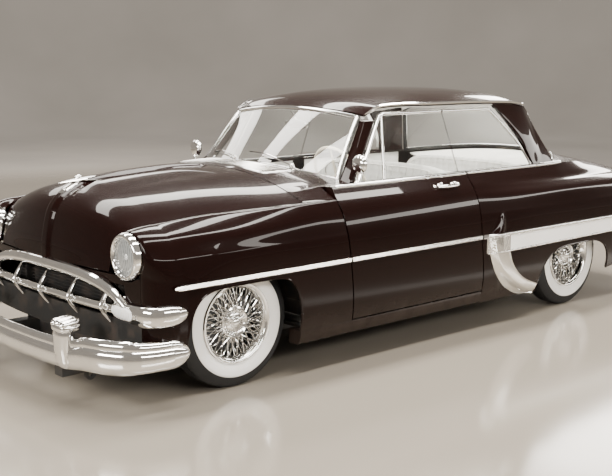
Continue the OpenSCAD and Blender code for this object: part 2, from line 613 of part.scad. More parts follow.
house_r = 392;
house_inner = 592;
house_wall = 8;
apron_y = rail_y - 10;
module arch_band(r, y_from, y_to, cut)
  intersection() {
    translate([0, y_from, tyre_r]) rotate([-90, 0, 0]) difference() {
      cylinder(h = y_to - y_from, r = r + house_wall);
      translate([0, 0, -1]) cylinder(h = y_to - y_from + 2, r = r);
    }
    translate([-600, y_from, cut]) cube([1200, y_to - y_from, 600]);
  }
module wheelhouse() {
  translate([R, 0, 0]) {
    arch_band(house_r, house_inner, 895 + half_shift, 440);
    intersection() {
      translate([0, house_inner, tyre_r]) rotate([-90, 0, 0]) cylinder(h = house_wall, r = house_r + 4);
      translate([-600, house_inner, 440]) cube([1200, house_wall, 600]);
    }
  }
  translate([F, 0, 0]) {
    arch_band(408, apron_y - 2, 880 + half_shift, 520);
    difference() {
      translate([-440 + seam, apron_y - house_wall, floor_z + seam]) cube([980, house_wall, 520]);
      translate([-180, apron_y - 20, floor_z - 10]) cube([360, 40, 260]);
    }
  }
}
module inner_panels() color("#2c2c2b") {
  firewall();
  for (side = [0, 1]) mirror([0, side, 0]) wheelhouse();
}

// ---- Frame ----
rail_h = floor_z - rail_z;
rail_start = F + 866 - guard_r - seam;
rail_end = R - 1142 + guard_r + seam;
module rail()
  translate([0, rail_y, 0]) rotate([90, 0, 0]) linear_extrude(rail_w)
    polygon([
      [rail_start, rail_z], [rail_start, floor_z - seam], [kick_x - floor_t - 5, floor_z - seam],
      [kick_x - 205, rear_floor_z - seam], [rail_end, rear_floor_z - seam],
      [rail_end, rear_floor_z - 52], [kick_x - 180, rear_floor_z - 52], [kick_x - 60, rail_z]]);
module cross(x, w, low, high)
  translate([x - w / 2, -rail_y + rail_w / 2, low]) cube([w, 2 * rail_y - rail_w, high - low]);
tow_x = F + 660;
tow_z = rail_z - 24;
jack_x = F - 700;
jack_w = 60;
jack_t = 10;
tow_r = 14;
lug_w = 16;
spring_y = 525;
spring_w = 60;
spring_front = R + 640;
spring_back = R - 620;
module chassis_frame() color("#1d1d1e") {
  for (side = [0, 1]) mirror([0, side, 0]) {
    rail();
    translate([jack_x - jack_w / 2, rail_y - (rail_w + jack_w) / 2, rail_z - jack_t])
      cube([jack_w, jack_w, jack_t + 1]);
    difference() {
      union() {
        translate([tow_x - 30, rail_y - 45, tow_z]) cube([60, lug_w, 40]);
        translate([tow_x, rail_y - 45, tow_z]) rotate([-90, 0, 0]) cylinder(h = lug_w, r = 30);
      }
      translate([tow_x, rail_y - 60, tow_z]) rotate([-90, 0, 0]) cylinder(h = 60, r = tow_r);
    }
    translate([spring_front - 20, rail_y - 2, 180]) cube([40, spring_y - spring_w / 2 - rail_y + 2 - seam, 58]);
    translate([spring_back - 20, rail_y - 2, 300]) cube([40, spring_y - spring_w / 2 - rail_y + 2 - seam, 140]);
  }
  cross(F, 220, rail_z, floor_z - seam);
  cross(F + 455, 90, rail_z, floor_z - seam);
  cross(F - 1100, 90, rail_z, shaft_z - 33);
  cross(R + 680, 90, rail_z, shaft_z - 33);
  cross(R - 1000, 80, rear_floor_z - 50, rear_floor_z - seam);
}

module engine() color("#4b5052") {
  radiator();
  translate([F - 380, -170, floor_z]) cube([630, 340, 520]);
  translate([F - 430, -120, 172]) cube([60, 240, 280]);
  translate([shaft_start, -80, 172]) cube([F - 400 - shaft_start, 160, floor_z - 172 - seam]);
}
module radiator()
  translate([F + 430, -290, floor_z]) cube([50, 580, 440]);

kingpin_y = 600;
kingpin_r = 12;
arm_t = 30;
lower_arm_z = 225;
upper_arm_z = 440;
module front_suspension() color("#26282a") for (side = [0, 1]) mirror([0, side, 0]) translate([F, 0, 0]) {
  for (z = [lower_arm_z, upper_arm_z]) {
    translate([-70, rail_y + seam, z]) cube([140, kingpin_y - rail_y - 10, arm_t]);
    translate([0, kingpin_y, z]) cylinder(h = arm_t, r = 26);
  }
  translate([0, kingpin_y, lower_arm_z + 5]) cylinder(h = upper_arm_z - lower_arm_z, r = kingpin_r);
  translate([-60, rail_y + seam, lower_arm_z]) cube([120, 14, upper_arm_z - lower_arm_z + arm_t]);
}

knuckle_low = lower_arm_z + arm_t + 6;
knuckle_high = upper_arm_z - 6;
stub_end = front_track + 34;
module knuckle_shell() translate([F, 0, 0]) difference() {
  union() {
    translate([0, kingpin_y, knuckle_low]) cylinder(h = knuckle_high - knuckle_low, r = 24);
    translate([0, kingpin_y, tyre_r]) rotate([-90, 0, 0]) cylinder(h = 44, r = 34);
    translate([0, kingpin_y + 30, tyre_r]) rotate([-90, 0, 0]) cylinder(h = stub_end - kingpin_y - 30, r = stub_r);
  }
  translate([0, kingpin_y, knuckle_low - 5])
    cylinder(h = knuckle_high - knuckle_low + 10, r = kingpin_r + stub_clear);
}
module knuckle_left() color("#5c6063") knuckle_shell();
module knuckle_right() color("#5c6063") mirror([0, 1, 0]) knuckle_shell();

axle_tube = 38;
diff_r = 95;
module axle_casing() translate([R, 0, tyre_r]) {
  for (side = [0, 1]) mirror([0, side, 0]) {
    rotate([-90, 0, 0]) cylinder(h = rear_track - 71, r = axle_tube);
    translate([0, rear_track - 72, 0]) rotate([-90, 0, 0]) cylinder(h = 106, r = stub_r);
  }
  sphere(diff_r);
  rotate([0, 90, 0]) cylinder(h = 130, r = 45);
}
module leaf_springs() for (side = [-1, 1])
  translate([0, side * spring_y + spring_w / 2, 0]) rotate([90, 0, 0]) linear_extrude(spring_w)
    polygon([
      [spring_front + 20, 205], [spring_front + 20, 225], [R + 400, 234], [R + 60, tyre_r - axle_tube - seam],
      [R - 60, tyre_r - axle_tube - seam], [R - 330, 320], [spring_back - 20, 360], [spring_back - 20, 340],
      [R - 330, 300], [R - 60, 270], [R + 60, 270], [R + 400, 214]]);

module rear_suspension() color("#26282a") {
  axle_casing();
  leaf_springs();
}

shaft_start = F - 760;
shaft_z = 208;
shaft_bend = kick_x - 60;
shaft_rise = tyre_r - shaft_z;
module driveshaft() color("#2e3032") translate([shaft_bend, 0, shaft_z]) {
  rotate([0, 90, 0]) cylinder(h = shaft_start - shaft_bend - seam, r = 28);
  sphere(34);
  rotate([0, atan2(shaft_rise, shaft_bend - R - 130) - 90, 0])
    cylinder(h = norm([shaft_bend - R - 130, shaft_rise]) - 22, r = 26);
}
pipe_r = 22;
pipe_y = -250;
module exhaust() color("#6b6a66") {
  translate([R - 1060, pipe_y, rail_z - pipe_r - seam]) rotate([0, 90, 0])
    cylinder(h = F - 60 - R + 1060, r = pipe_r);
  translate([F - 2000, pipe_y, rail_z - pipe_r - seam]) rotate([0, 90, 0]) cylinder(h = 560, r = 52);
}
module fuel_tank() color("#333638")
  translate([R - 900, -340, 290]) cube([420, 680, rear_floor_z - 290 - seam]);

// ---- Wheels ----
module ring_of(points) rotate([-90, 0, 0]) rotate_extrude($fn = 96) polygon(points);
shoulder_r = tyre_r - 22;
module tyre() color("#1a1a1b") ring_of([
  [rim_r + 0.3, -62], [rim_r + 14, -70], [rim_r + 60, -tyre_w / 2], [shoulder_r - 25, -tyre_w / 2 + 3],
  [shoulder_r, -tyre_w / 2 + 16], [tyre_r - 4, -54], [tyre_r, -24], [tyre_r, 24], [tyre_r - 4, 54],
  [shoulder_r, tyre_w / 2 - 16], [shoulder_r - 25, tyre_w / 2 - 3], [rim_r + 60, tyre_w / 2],
  [rim_r + 14, 70], [rim_r + 0.3, 62]]);
hub_r = 52;
hub_bore = stub_r + stub_clear;
// Rim, dished wire disc and hub; positive y is outward
module wire_wheel() color("#d6d7d8") {
  ring_of([
    [rim_r - 12, -60], [rim_r, -62], [rim_r, 62], [rim_r + 12, 78], [rim_r + 4, 82], [rim_r - 16, 62],
    [rim_r - 26, 20], [rim_r - 26, -20]]);
  ring_of([
    [hub_r - 2, -30], [rim_r - 24, 8], [rim_r - 24, 16], [hub_r - 2, 40], [hub_r - 2, 32], [rim_r - 35, 12],
    [hub_r - 2, -20]]);
  ring_of([[hub_bore, -48], [hub_r, -48], [hub_r, 44], [34, 62], [0, 66], [0, 44], [hub_bore, 44]]);
}
module wheel_at(x, track) for_side(x, track) wire_wheel();
module for_side(x, y) translate([x, y, tyre_r]) mirror([0, y < 0 ? 1 : 0, 0]) children();
module tyre_front_left() for_side(F, front_track) tyre();
module tyre_front_right() for_side(F, -front_track) tyre();
module tyre_rear_left() for_side(R, rear_track) tyre();
module tyre_rear_right() for_side(R, -rear_track) tyre();
module wheel_front_left() wheel_at(F, front_track);
module wheel_front_right() wheel_at(F, -front_track);
module wheel_rear_left() wheel_at(R, rear_track);
module wheel_rear_right() wheel_at(R, -rear_track);

// ---- Cabin ----
module seat(x, low, cushion, back, depth, width)
  translate([x, width / 2, 0]) rotate([90, 0, 0]) linear_extrude(width)
    polygon([
      [20, low], [depth - 10, low], [depth + 20, cushion - 90], [depth + 8, cushion - 12], [depth - 30, cushion],
      [90, cushion - 26], [30, back - 12], [-10, back], [-70, back - 14], [-86, back - 50], [-10, cushion - 60]]);
front_seat_x = F - 1860;
rear_seat_x = R + 190;
module front_seat() color("#b9b8b3")
  seat(front_seat_x, floor_z + floor_t + seam, 560, 1010, 520, 1240);
module rear_seat() color("#b9b8b3")
  seat(rear_seat_x, rear_floor_z + floor_t + seam, 600, 985, 480, 2 * house_inner - 24);

dash_w = 2 * (652 - seam);
column_r = 22;
column_low = [F - 900, helm_y, 870];
helm_center = [F - 1130, helm_y, 985];
helm_tilt = atan2(helm_center[2] - column_low[2], column_low[0] - helm_center[0]);
column_len = norm(helm_center - column_low) - 40;
shaft_r = 10;
shaft_in = 70;
module along_column() translate(column_low) rotate([0, helm_tilt - 90, 0]) children();
module dashboard() color("#2a1512") difference() {
  union() {
    translate([0, dash_w / 2, 0]) rotate([90, 0, 0]) linear_extrude(dash_w)
      polygon([[F - 862, 830], [F - 862, 970], [F - 900, 985], [F - 950, 975], [F - 975, 930], [F - 960, 840]]);
    along_column() cylinder(h = column_len, r = column_r);
  }
  along_column() translate([0, 0, column_len - shaft_in - 5]) cylinder(h = shaft_in + 20, r = shaft_r + stub_clear);
}
helm_rim = 11;
module steering_wheel() color("#ddd7c8") translate(column_low) rotate([0, helm_tilt - 90, 0])
  translate([0, 0, column_len]) {
    translate([0, 0, -shaft_in]) cylinder(h = shaft_in + 20, r = shaft_r);
    translate([0, 0, 6]) cylinder(h = 34, r = 34);
    translate([0, 0, 44]) rotate_extrude() translate([helm_r - helm_rim, 0]) circle(helm_rim);
    for (a = [0, 120, 240]) rotate([0, 0, a + 90]) translate([0, -9, 24]) cube([helm_r - helm_rim, 18, 10]);
    for (a = [0, 120, 240]) rotate([0, 0, a + 90]) translate([helm_r - helm_rim - 10, -9, 24]) cube([16, 18, 20]);
  }

// ---- Quarter glass and mirrors ----
function quarter_glass_grid(drop) =
  [for (s = steps(6)) let (z = mix(belt_z + seam, glass_top, s))
    [for (t = steps(6)) let (
      rear = along([[0, R + 352], [0.4, R + 433], [1, roof_edge_x(pillar_rows[5]) + panel_gap]], s),
      x = mix(rear, glass_split - panel_gap, t))
      [x, glass_y(x, z) - drop, z]]];
module fixed_glass() color("#b9c8c4", 0.4) {
  windshield();
  rear_window();
  for (side = [0, 1]) mirror([0, side, 0])
    wall_between(quarter_glass_grid(0), quarter_glass_grid(glass_wall));
}

mirror_x = F - 880;
mirror_y = door_inner_y + 34;
mirror_r = 55;
module mirror_shell() translate([mirror_x, mirror_y, belt_z + seam]) {
  cylinder(h = 8, r = 22);
  cylinder(h = 72, r = 8);
  translate([-16, 6, 108]) rotate([0, 90, 0]) cylinder(h = 28, r = mirror_r);
}
module door_mirror_left() color("#d9dadb") mirror_shell();
module door_mirror_right() color("#d9dadb") mirror([0, 1, 0]) mirror_shell();

chassis_frame();
engine();
front_suspension();
rear_suspension();
driveshaft();
exhaust();
fuel_tank();
knuckle_left();
knuckle_right();
tyre_front_left();
tyre_front_right();
tyre_rear_left();
tyre_rear_right();
wheel_front_left();
wheel_front_right();
wheel_rear_left();
wheel_rear_right();
floor_pan();
rockers();
inner_panels();
cowl();
nose_panel();
fender_left();
fender_right();
quarter_left();
quarter_right();
roof();
roof_pillars();
rear_deck();
tail_panel();
hood();
trunk_lid();
door_left();
door_right();
door_glass_left();
door_glass_right();
fixed_glass();
grille();
headlights();
taillights();
front_bumper();
rear_bumper();
front_seat();
rear_seat();
dashboard();
steering_wheel();
door_mirror_left();
door_mirror_right();
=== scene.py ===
"""Fine surfaces, trim and finishes of a two-door hardtop of the middle 1950s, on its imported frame.

Everything is in metres: +X forward, +Y to the car's left, +Z up. The body's shape comes from a few
key sections joined by smooth curves, and stations are measured from the two axles.
"""

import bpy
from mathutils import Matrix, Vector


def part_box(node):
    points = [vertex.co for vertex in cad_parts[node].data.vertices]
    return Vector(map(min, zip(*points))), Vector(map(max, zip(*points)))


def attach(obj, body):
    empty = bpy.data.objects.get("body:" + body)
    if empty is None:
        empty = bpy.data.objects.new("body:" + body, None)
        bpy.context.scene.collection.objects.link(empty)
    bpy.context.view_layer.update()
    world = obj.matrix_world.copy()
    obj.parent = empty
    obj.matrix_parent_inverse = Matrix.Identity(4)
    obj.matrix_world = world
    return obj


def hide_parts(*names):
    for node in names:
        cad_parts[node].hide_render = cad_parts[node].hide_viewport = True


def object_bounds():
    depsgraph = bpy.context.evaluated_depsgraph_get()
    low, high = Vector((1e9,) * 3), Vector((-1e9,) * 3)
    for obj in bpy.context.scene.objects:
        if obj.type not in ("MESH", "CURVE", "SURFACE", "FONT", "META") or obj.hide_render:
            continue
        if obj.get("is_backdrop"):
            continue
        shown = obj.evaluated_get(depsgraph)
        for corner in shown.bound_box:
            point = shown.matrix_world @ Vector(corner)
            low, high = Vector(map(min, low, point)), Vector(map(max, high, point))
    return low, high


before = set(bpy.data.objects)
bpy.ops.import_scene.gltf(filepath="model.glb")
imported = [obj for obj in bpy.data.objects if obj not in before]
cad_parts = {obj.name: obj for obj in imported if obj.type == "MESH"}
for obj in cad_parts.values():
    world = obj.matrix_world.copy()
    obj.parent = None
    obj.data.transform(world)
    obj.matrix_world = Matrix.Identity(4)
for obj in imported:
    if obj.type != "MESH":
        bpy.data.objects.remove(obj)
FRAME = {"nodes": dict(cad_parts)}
CAD_BOX = [list(corner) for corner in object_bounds()]

import logging
import math
from dataclasses import dataclass, field
from enum import Enum
from typing import Iterable, Optional, Sequence, Union

import bmesh
import bpy
import numpy as np
from mathutils import Matrix, Vector

log = logging.getLogger("hardtop")
Array = np.ndarray
Number = Union[float, Array]


# ---------------------------------------------------------------- curves
def lerp(a: Number, b: Number, t: Number) -> Number:
    """Straight mix of a and b by t."""
    return a + (b - a) * t


def ease(t: Number) -> Number:
    """Smooth step from 0 to 1, held level outside."""
    s = np.clip(t, 0.0, 1.0)
    return s * s * (3 - 2 * s)


def span(n: int, start: float = 0.0, stop: float = 1.0) -> Array:
    """n + 1 even steps from start to stop."""
    return np.linspace(start, stop, n + 1)


def cluster(n: int, start: float, stop: float) -> Array:
    """n + 1 steps from start to stop, closer together near both ends."""
    return start + (stop - start) * (1 - np.cos(np.pi * span(n))) / 2


class Curve:
    """Smooth curve through keys, level beyond both ends."""

    def __init__(self, keys: Sequence[tuple]) -> None:
        """Keeps the keys and works out the slope at each.

        Args:
            keys: pairs of a place and a value, where the value may be a list.
        """
        self.place = np.array([key[0] for key in keys], float)
        self.value = np.array([key[1] for key in keys], float)
        last = len(keys) - 1
        before = np.maximum(np.arange(len(keys)) - 1, 0)
        after = np.minimum(np.arange(len(keys)) + 1, last)
        run = (self.place[after] - self.place[before]).reshape([-1] + [1] * (self.value.ndim - 1))
        self.slope = (self.value[after] - self.value[before]) / run

    @classmethod
    def even(cls, points: Sequence) -> "Curve":
        """Curve through evenly spaced points, from 0 to 1."""
        return cls([(i / (len(points) - 1), p) for i, p in enumerate(points)])

    def __call__(self, x: Number) -> Array:
        """Value at each place in x."""
        x = np.asarray(x, float)
        i = np.clip(np.searchsorted(self.place, x, side="left") - 1, 0, len(self.place) - 2)
        run = self.place[i + 1] - self.place[i]
        t = np.clip((x - self.place[i]) / run, 0, 1)
        wide = x.shape + (1,) * (self.value.ndim - 1)
        t, run = t.reshape(wide), run.reshape(wide)
        return (
            self.value[i] * (1 + 2 * t) * (1 - t) ** 2
            + self.value[i + 1] * t * t * (3 - 2 * t)
            + self.slope[i] * run * t * (1 - t) ** 2
            - self.slope[i + 1] * run * t * t * (1 - t)
        )


def stacked(*columns: Number) -> Array:
    """Points from their x, y and z, broadcast to one shape."""
    return np.stack(np.broadcast_arrays(*columns), axis=-1).astype(float)


def turns(n: int) -> Array:
    """n even angles round a circle."""
    return np.arange(n) * 2 * np.pi / n


def oval(depth: float, height: float, sides: int) -> list[tuple[float, float]]:
    """Oval bar section."""
    return [(depth * math.cos(a), height * math.sin(a)) for a in turns(sides)]


def round_section(r: float, sides: int = 8, flat: float = 1.0) -> list[tuple[float, float]]:
    """Round bar section, pressed flatter in depth by flat."""
    return oval(r * flat, r, sides)


def bead(radius: float, at: float, r: float, sides: int) -> list[tuple[float, float]]:
    """Profile of a thin round ring, to be turned about an axis."""
    return [(radius + r * math.cos(a), at + r * math.sin(a)) for a in turns(sides)]


def slab(low: float, wide: float, high: float, narrow: float) -> list[tuple[float, float]]:
    """Four-sided bar section, with half widths wide at its low face and narrow at its high one."""
    return [(low, -wide), (high, -narrow), (high, narrow), (low, wide)]


def squared(v: Array, power: float) -> Array:
    """Sines or cosines pushed outward, which square up the oval they draw."""
    return np.sign(v) * np.abs(v) ** power


def unit(v: Array) -> Array:
    """Vectors scaled to length 1."""
    return v / np.maximum(np.linalg.norm(v, axis=-1, keepdims=True), 1e-12)


def tangents(path: Array) -> Array:
    """Unit directions along a path of points."""
    return unit(np.gradient(path, axis=0))


# ---------------------------------------------------------------- shader tools
class Link:
    """One output socket. Arithmetic on it adds the Math nodes."""

    def __init__(self, tree: "Tree", socket: bpy.types.NodeSocket) -> None:
        """Keeps the tree that the socket belongs to, and the socket."""
        self.tree = tree
        self.socket = socket

    def math(self, operation: str, *others: Union["Link", float], first: Optional[float] = None) -> "Link":
        """Adds one Math node.

        Args:
            operation: the node's operation.
            others: what follows this socket in the node.
            first: a number to stand before this socket instead.

        Returns:
            The node's result.
        """
        values = [self, *others] if first is None else [first, self]
        node = self.tree.node("ShaderNodeMath", {"operation": operation}, dict(enumerate(values)))
        return Link(self.tree, node.outputs[0])

    def __add__(self, other: Union["Link", float]) -> "Link":
        """Sum."""
        return self.math("ADD", other)

    __radd__ = __add__

    def __sub__(self, other: Union["Link", float]) -> "Link":
        """Difference."""
        return self.math("SUBTRACT", other)

    def __rsub__(self, other: float) -> "Link":
        """Difference from a number."""
        return self.math("SUBTRACT", first=other)

    def __mul__(self, other: Union["Link", float]) -> "Link":
        """Product."""
        return self.math("MULTIPLY", other)

    __rmul__ = __mul__

    def step(self, low: float, high: float) -> "Link":
        """Smooth step from 0 at low to 1 at high."""
        node = self.tree.node(
            "ShaderNodeMapRange",
            {"interpolation_type": "SMOOTHSTEP"},
            {"Value": self, "From Min": low, "From Max": high},
        )
        return Link(self.tree, node.outputs["Result"])

    def blend(self, a: Sequence[float], b: Sequence[float]) -> "Link":
        """Colour a where this is 0 and b where it is 1."""
        node = self.tree.node("ShaderNodeMix", {"data_type": "RGBA", "clamp_factor": True},
                              {0: self, 6: a, 7: b})
        return Link(self.tree, node.outputs[2])


class Tree:
    """A material's nodes, with one Principled shader at the end."""

    def __init__(self, name: str) -> None:
        """Makes an empty material with its shader and output."""
        self.material = bpy.data.materials.new(name)
        self.material.use_nodes = True
        self.nodes = self.material.node_tree.nodes
        self.links = self.material.node_tree.links
        self.nodes.clear()
        self.output = self.nodes.new("ShaderNodeOutputMaterial")
        self.shader = self.nodes.new("ShaderNodeBsdfPrincipled")
        self.links.new(self.shader.outputs[0], self.output.inputs[0])

    def node(self, kind: str, settings: dict, inputs: dict) -> bpy.types.Node:
        """Adds any node.

        Args:
            kind: the node's type.
            settings: its own settings, set before the sockets. A ramp's stops go under "stops".
            inputs: values or links by socket name or number.

        Returns:
            The node.
        """
        node = self.nodes.new(kind)
        for key, value in settings.items():
            if key == "stops":
                ramp = node.color_ramp
                while len(ramp.elements) < len(value):
                    ramp.elements.new(0.5)
                for element, (place, colour) in zip(ramp.elements, value):
                    element.position, element.color = place, colour
            else:
                setattr(node, key, value)
        for key, value in inputs.items():
            socket = node.inputs[key]
            if isinstance(value, Link):
                self.links.new(value.socket, socket)
            else:
                socket.default_value = tuple(value) if isinstance(value, (list, tuple)) else value
        return node

    def place(self) -> Link:
        """Where the point is on the piece, in metres."""
        return Link(self, self.node("ShaderNodeTexCoord", {}, {}).outputs["Object"])

    def axis(self, name: str) -> Link:
        """One coordinate of the place: X, Y or Z."""
        node = self.node("ShaderNodeSeparateXYZ", {}, {0: self.place()})
        return Link(self, node.outputs[name])

    def noise(self, scale: float, detail: float = 3.0, stretch: Sequence[float] = (1, 1, 1)) -> Link:
        """Cloudy value round a half, stretched along the axes."""
        place = self.node("ShaderNodeMapping", {}, {"Vector": self.place(), "Scale": stretch})
        node = self.node(
            "ShaderNodeTexNoise",
            {},
            {"Vector": Link(self, place.outputs[0]), "Scale": scale, "Detail": detail, "Roughness": 0.55},
        )
        return Link(self, node.outputs[0])

    def cells(self, scale: float) -> Link:
        """Distance to the nearest cell centre, for grain and flakes."""
        node = self.node("ShaderNodeTexVoronoi", {}, {"Vector": self.place(), "Scale": scale})
        return Link(self, node.outputs["Distance"])

    def waves(self, scale: float, direction: str, distortion: float = 0.0) -> Link:
        """Even bands across one axis."""
        node = self.node(
            "ShaderNodeTexWave",
            {"bands_direction": direction},
            {"Vector": self.place(), "Scale": scale, "Distortion": distortion},
        )
        return Link(self, node.outputs["Fac"])

    def bump(self, height: Link, strength: float, distance: float) -> None:
        """Feeds the shader's normal from a height."""
        node = self.node(
            "ShaderNodeBump", {}, {"Strength": strength, "Distance": distance, "Height": height}
        )
        self.links.new(node.outputs[0], self.shader.inputs["Normal"])

    def set(self, **values: Union[Link, float, Sequence[float]]) -> None:
        """Sets the shader's sockets, named with _ for a space."""
        for key, value in values.items():
            socket = self.shader.inputs[key.replace("_", " ").title().replace("Ior", "IOR")]
            if isinstance(value, Link):
                self.links.new(value.socket, socket)
            else:
                socket.default_value = value


Colour = tuple[float, float, float, float]


def tone(r: float, g: float, b: float) -> Colour:
    """Opaque colour."""
    return (r, g, b, 1.0)


def scaled(colour: Colour, k: float) -> Colour:
    """The colour made lighter or darker."""
    return (min(colour[0] * k, 1), min(colour[1] * k, 1), min(colour[2] * k, 1), 1.0)


# ---------------------------------------------------------------- finishes
@dataclass(frozen=True)
class Finish:
    """What a piece is finished in. Each kind sets up its own shader."""

    name: str
    colour: Colour

    def build(self) -> bpy.types.Material:
        """Makes the material."""
        t = Tree(self.name)
        self.shade(t)
        return t.material

    def shade(self, t: Tree) -> None:
        """Sets up the shader in the new material's nodes."""
        raise NotImplementedError


@dataclass(frozen=True)
class Paint(Finish):
    """Gloss body enamel: deep colour, clear top and a little road dust low down."""

    slot: str = "body_paint"
    dust: float = 0.25

    def shade(self, t: Tree) -> None:
        """Sets up the shader."""
        low = (1 - t.axis("Z").step(0.16, 0.42)) * t.noise(9, 5) * self.dust
        cloud = t.noise(2.2, 2)
        t.set(
            base_color=Link(t, t.node("ShaderNodeMix", {"data_type": "RGBA"}, {
                0: low, 6: cloud.blend(scaled(self.colour, 0.86), scaled(self.colour, 1.16)),
                7: tone(0.16, 0.13, 0.11)}).outputs[2]),
            roughness=(t.noise(14, 4) * 0.06 + 0.2) + low * 0.5,
            coat_weight=1 - low,
            coat_roughness=0.02,
            coat_ior=1.24,
            specular_ior_level=0.02,
        )
        t.bump(t.noise(90, 2), 0.006, 0.0003)


@dataclass(frozen=True)
class Chrome(Finish):
    """Plated trim with faint wiping haze."""

    colour: Colour = tone(0.95, 0.95, 0.94)
    slot: str = "chrome"
    rough: float = 0.06

    def shade(self, t: Tree) -> None:
        """Sets up the shader."""
        haze = t.noise(18, 4).step(0.45, 0.75)
        t.set(
            base_color=haze.blend(self.colour, scaled(self.colour, 0.93)),
            metallic=1.0,
            roughness=haze * 0.05 + self.rough,
        )
        t.bump(t.noise(40, 2), 0.02, 0.0006)


@dataclass(frozen=True)
class Rubber(Finish):
    """Tyre rubber, dusty in its grooves."""

    colour: Colour = tone(0.018, 0.018, 0.019)
    slot: str = "whitewall_tyre"
    rough: float = 0.62

    def shade(self, t: Tree) -> None:
        """Sets up the shader."""
        dust = t.noise(24, 6).step(0.4, 0.8)
        t.set(
            base_color=dust.blend(self.colour, scaled(self.colour, 1.35)),
            roughness=dust * 0.14 + self.rough,
            specular_ior_level=0.35,
        )
        t.bump(t.noise(420, 4), 0.12, 0.0006)


@dataclass(frozen=True)
class Glass(Finish):
    """Clear sheet that lets lamps through to the cabin."""

    colour: Colour = tone(0.965, 0.975, 0.965)
    slot: str = "glass"
    rough: float = 0.0

    def shade(self, t: Tree) -> None:
        """Sets up the shader."""
        smear = t.noise(6, 4).step(0.5, 0.85)
        t.set(
            base_color=self.colour,
            transmission_weight=1.0,
            roughness=smear * 0.012 + self.rough,
            ior=1.45,
        )
        rays = t.node("ShaderNodeLightPath", {}, {})
        clear = t.node("ShaderNodeBsdfTransparent", {}, {0: self.colour})
        mix = t.node(
            "ShaderNodeMixShader",
            {},
            {0: Link(t, rays.outputs["Is Shadow Ray"]), 1: Link(t, t.shader.outputs[0]),
             2: Link(t, clear.outputs[0])},
        )
        t.links.new(mix.outputs[0], t.output.inputs[0])


@dataclass(frozen=True)
class Lens(Finish):
    """Moulded lamp lens: coloured, fluted and glossy, with a painted glow that stands in for light reflected
    from its reflector.
    """

    slot: str = "lamp_clear"
    flute: float = 26.0
    painted_glow: float = 0.25

    def shade(self, t: Tree) -> None:
        """Sets up the shader."""
        bands = t.waves(self.flute, "Y")
        t.set(
            base_color=bands.blend(scaled(self.colour, 0.8), scaled(self.colour, 1.15)),
            roughness=0.08 + bands * 0.04,
            coat_weight=1.0,
            coat_roughness=0.02,
            # The emission is a painted glow, standing in for light reflected inside the lamp.
            emission_color=bands.blend(scaled(self.colour, 0.6), self.colour),
            emission_strength=self.painted_glow,
        )
        t.bump(bands, 0.5, 0.004)


@dataclass(frozen=True)
class Cloth(Finish):
    """Woven seat cloth with a fine rib."""

    slot: str = "upholstery"
    threads: float = 190.0

    def shade(self, t: Tree) -> None:
        """Sets up the shader."""
        weave = t.waves(self.threads, "Y", 0.6) * t.waves(self.threads, "Z", 0.6)
        wear = t.noise(5, 5).step(0.35, 0.75)
        t.set(
            base_color=(weave * 0.5 + wear * 0.5).blend(scaled(self.colour, 0.8), scaled(self.colour, 1.08)),
            roughness=0.92 - wear * 0.1,
            sheen_weight=0.35,
            sheen_roughness=0.4,
        )
        t.bump(weave, 0.35, 0.0012)


@dataclass(frozen=True)
class Vinyl(Finish):
    """Grained vinyl or leathercloth."""

    slot: str = "upholstery"
    grain: float = 170.0

    def shade(self, t: Tree) -> None:
        """Sets up the shader."""
        grain = t.cells(self.grain)
        wear = t.noise(4, 5).step(0.4, 0.8)
        t.set(
            base_color=wear.blend(self.colour, scaled(self.colour, 0.86)),
            roughness=wear * 0.14 + 0.36,
            specular_ior_level=0.45,
        )
        t.bump(grain, 0.25, 0.0012)


@dataclass(frozen=True)
class Carpet(Finish):
    """Short looped floor carpet."""

    slot: str = "under_paint"

    def shade(self, t: Tree) -> None:
        """Sets up the shader."""
        loops = t.cells(260)
        t.set(
            base_color=(loops * 1.2 + t.noise(6, 4) * 0.4 - 0.3).blend(
                scaled(self.colour, 0.6), scaled(self.colour, 1.3)),
            roughness=0.97,
            sheen_weight=0.3,
        )
        t.bump(loops, 0.8, 0.004)


@dataclass(frozen=True)
class Metal(Finish):
    """Bare, cast or painted metal under the car, with grime and rust in the low spots."""

    slot: str
    metallic: float = 0.0
    rough: float = 0.5
    grime: float = 0.5
    grain: float = 90.0

    def shade(self, t: Tree) -> None:
        """Sets up the shader."""
        spots = t.noise(11, 6).step(0.45, 0.72)
        grain = t.noise(self.grain, 4)
        t.set(
            base_color=(spots * self.grime).blend(self.colour, tone(0.085, 0.062, 0.048)),
            metallic=(1 - spots * self.grime) * self.metallic,
            roughness=spots * 0.22 + (grain * 0.12 + self.rough),
        )
        t.bump(grain, 0.25, 0.0015)


@dataclass(frozen=True)
class Moulded(Finish):
    """Moulded gloss plastic, such as the steering wheel's rim."""

    slot: str = "wheel_ivory"
    rough: float = 0.22

    def shade(self, t: Tree) -> None:
        """Sets up the shader."""
        age = t.noise(9, 4).step(0.35, 0.8)
        t.set(
            base_color=age.blend(self.colour, scaled(self.colour, 0.84)),
            roughness=age * 0.12 + self.rough,
            coat_weight=0.4,
        )
        t.bump(t.noise(300, 2), 0.05, 0.0004)


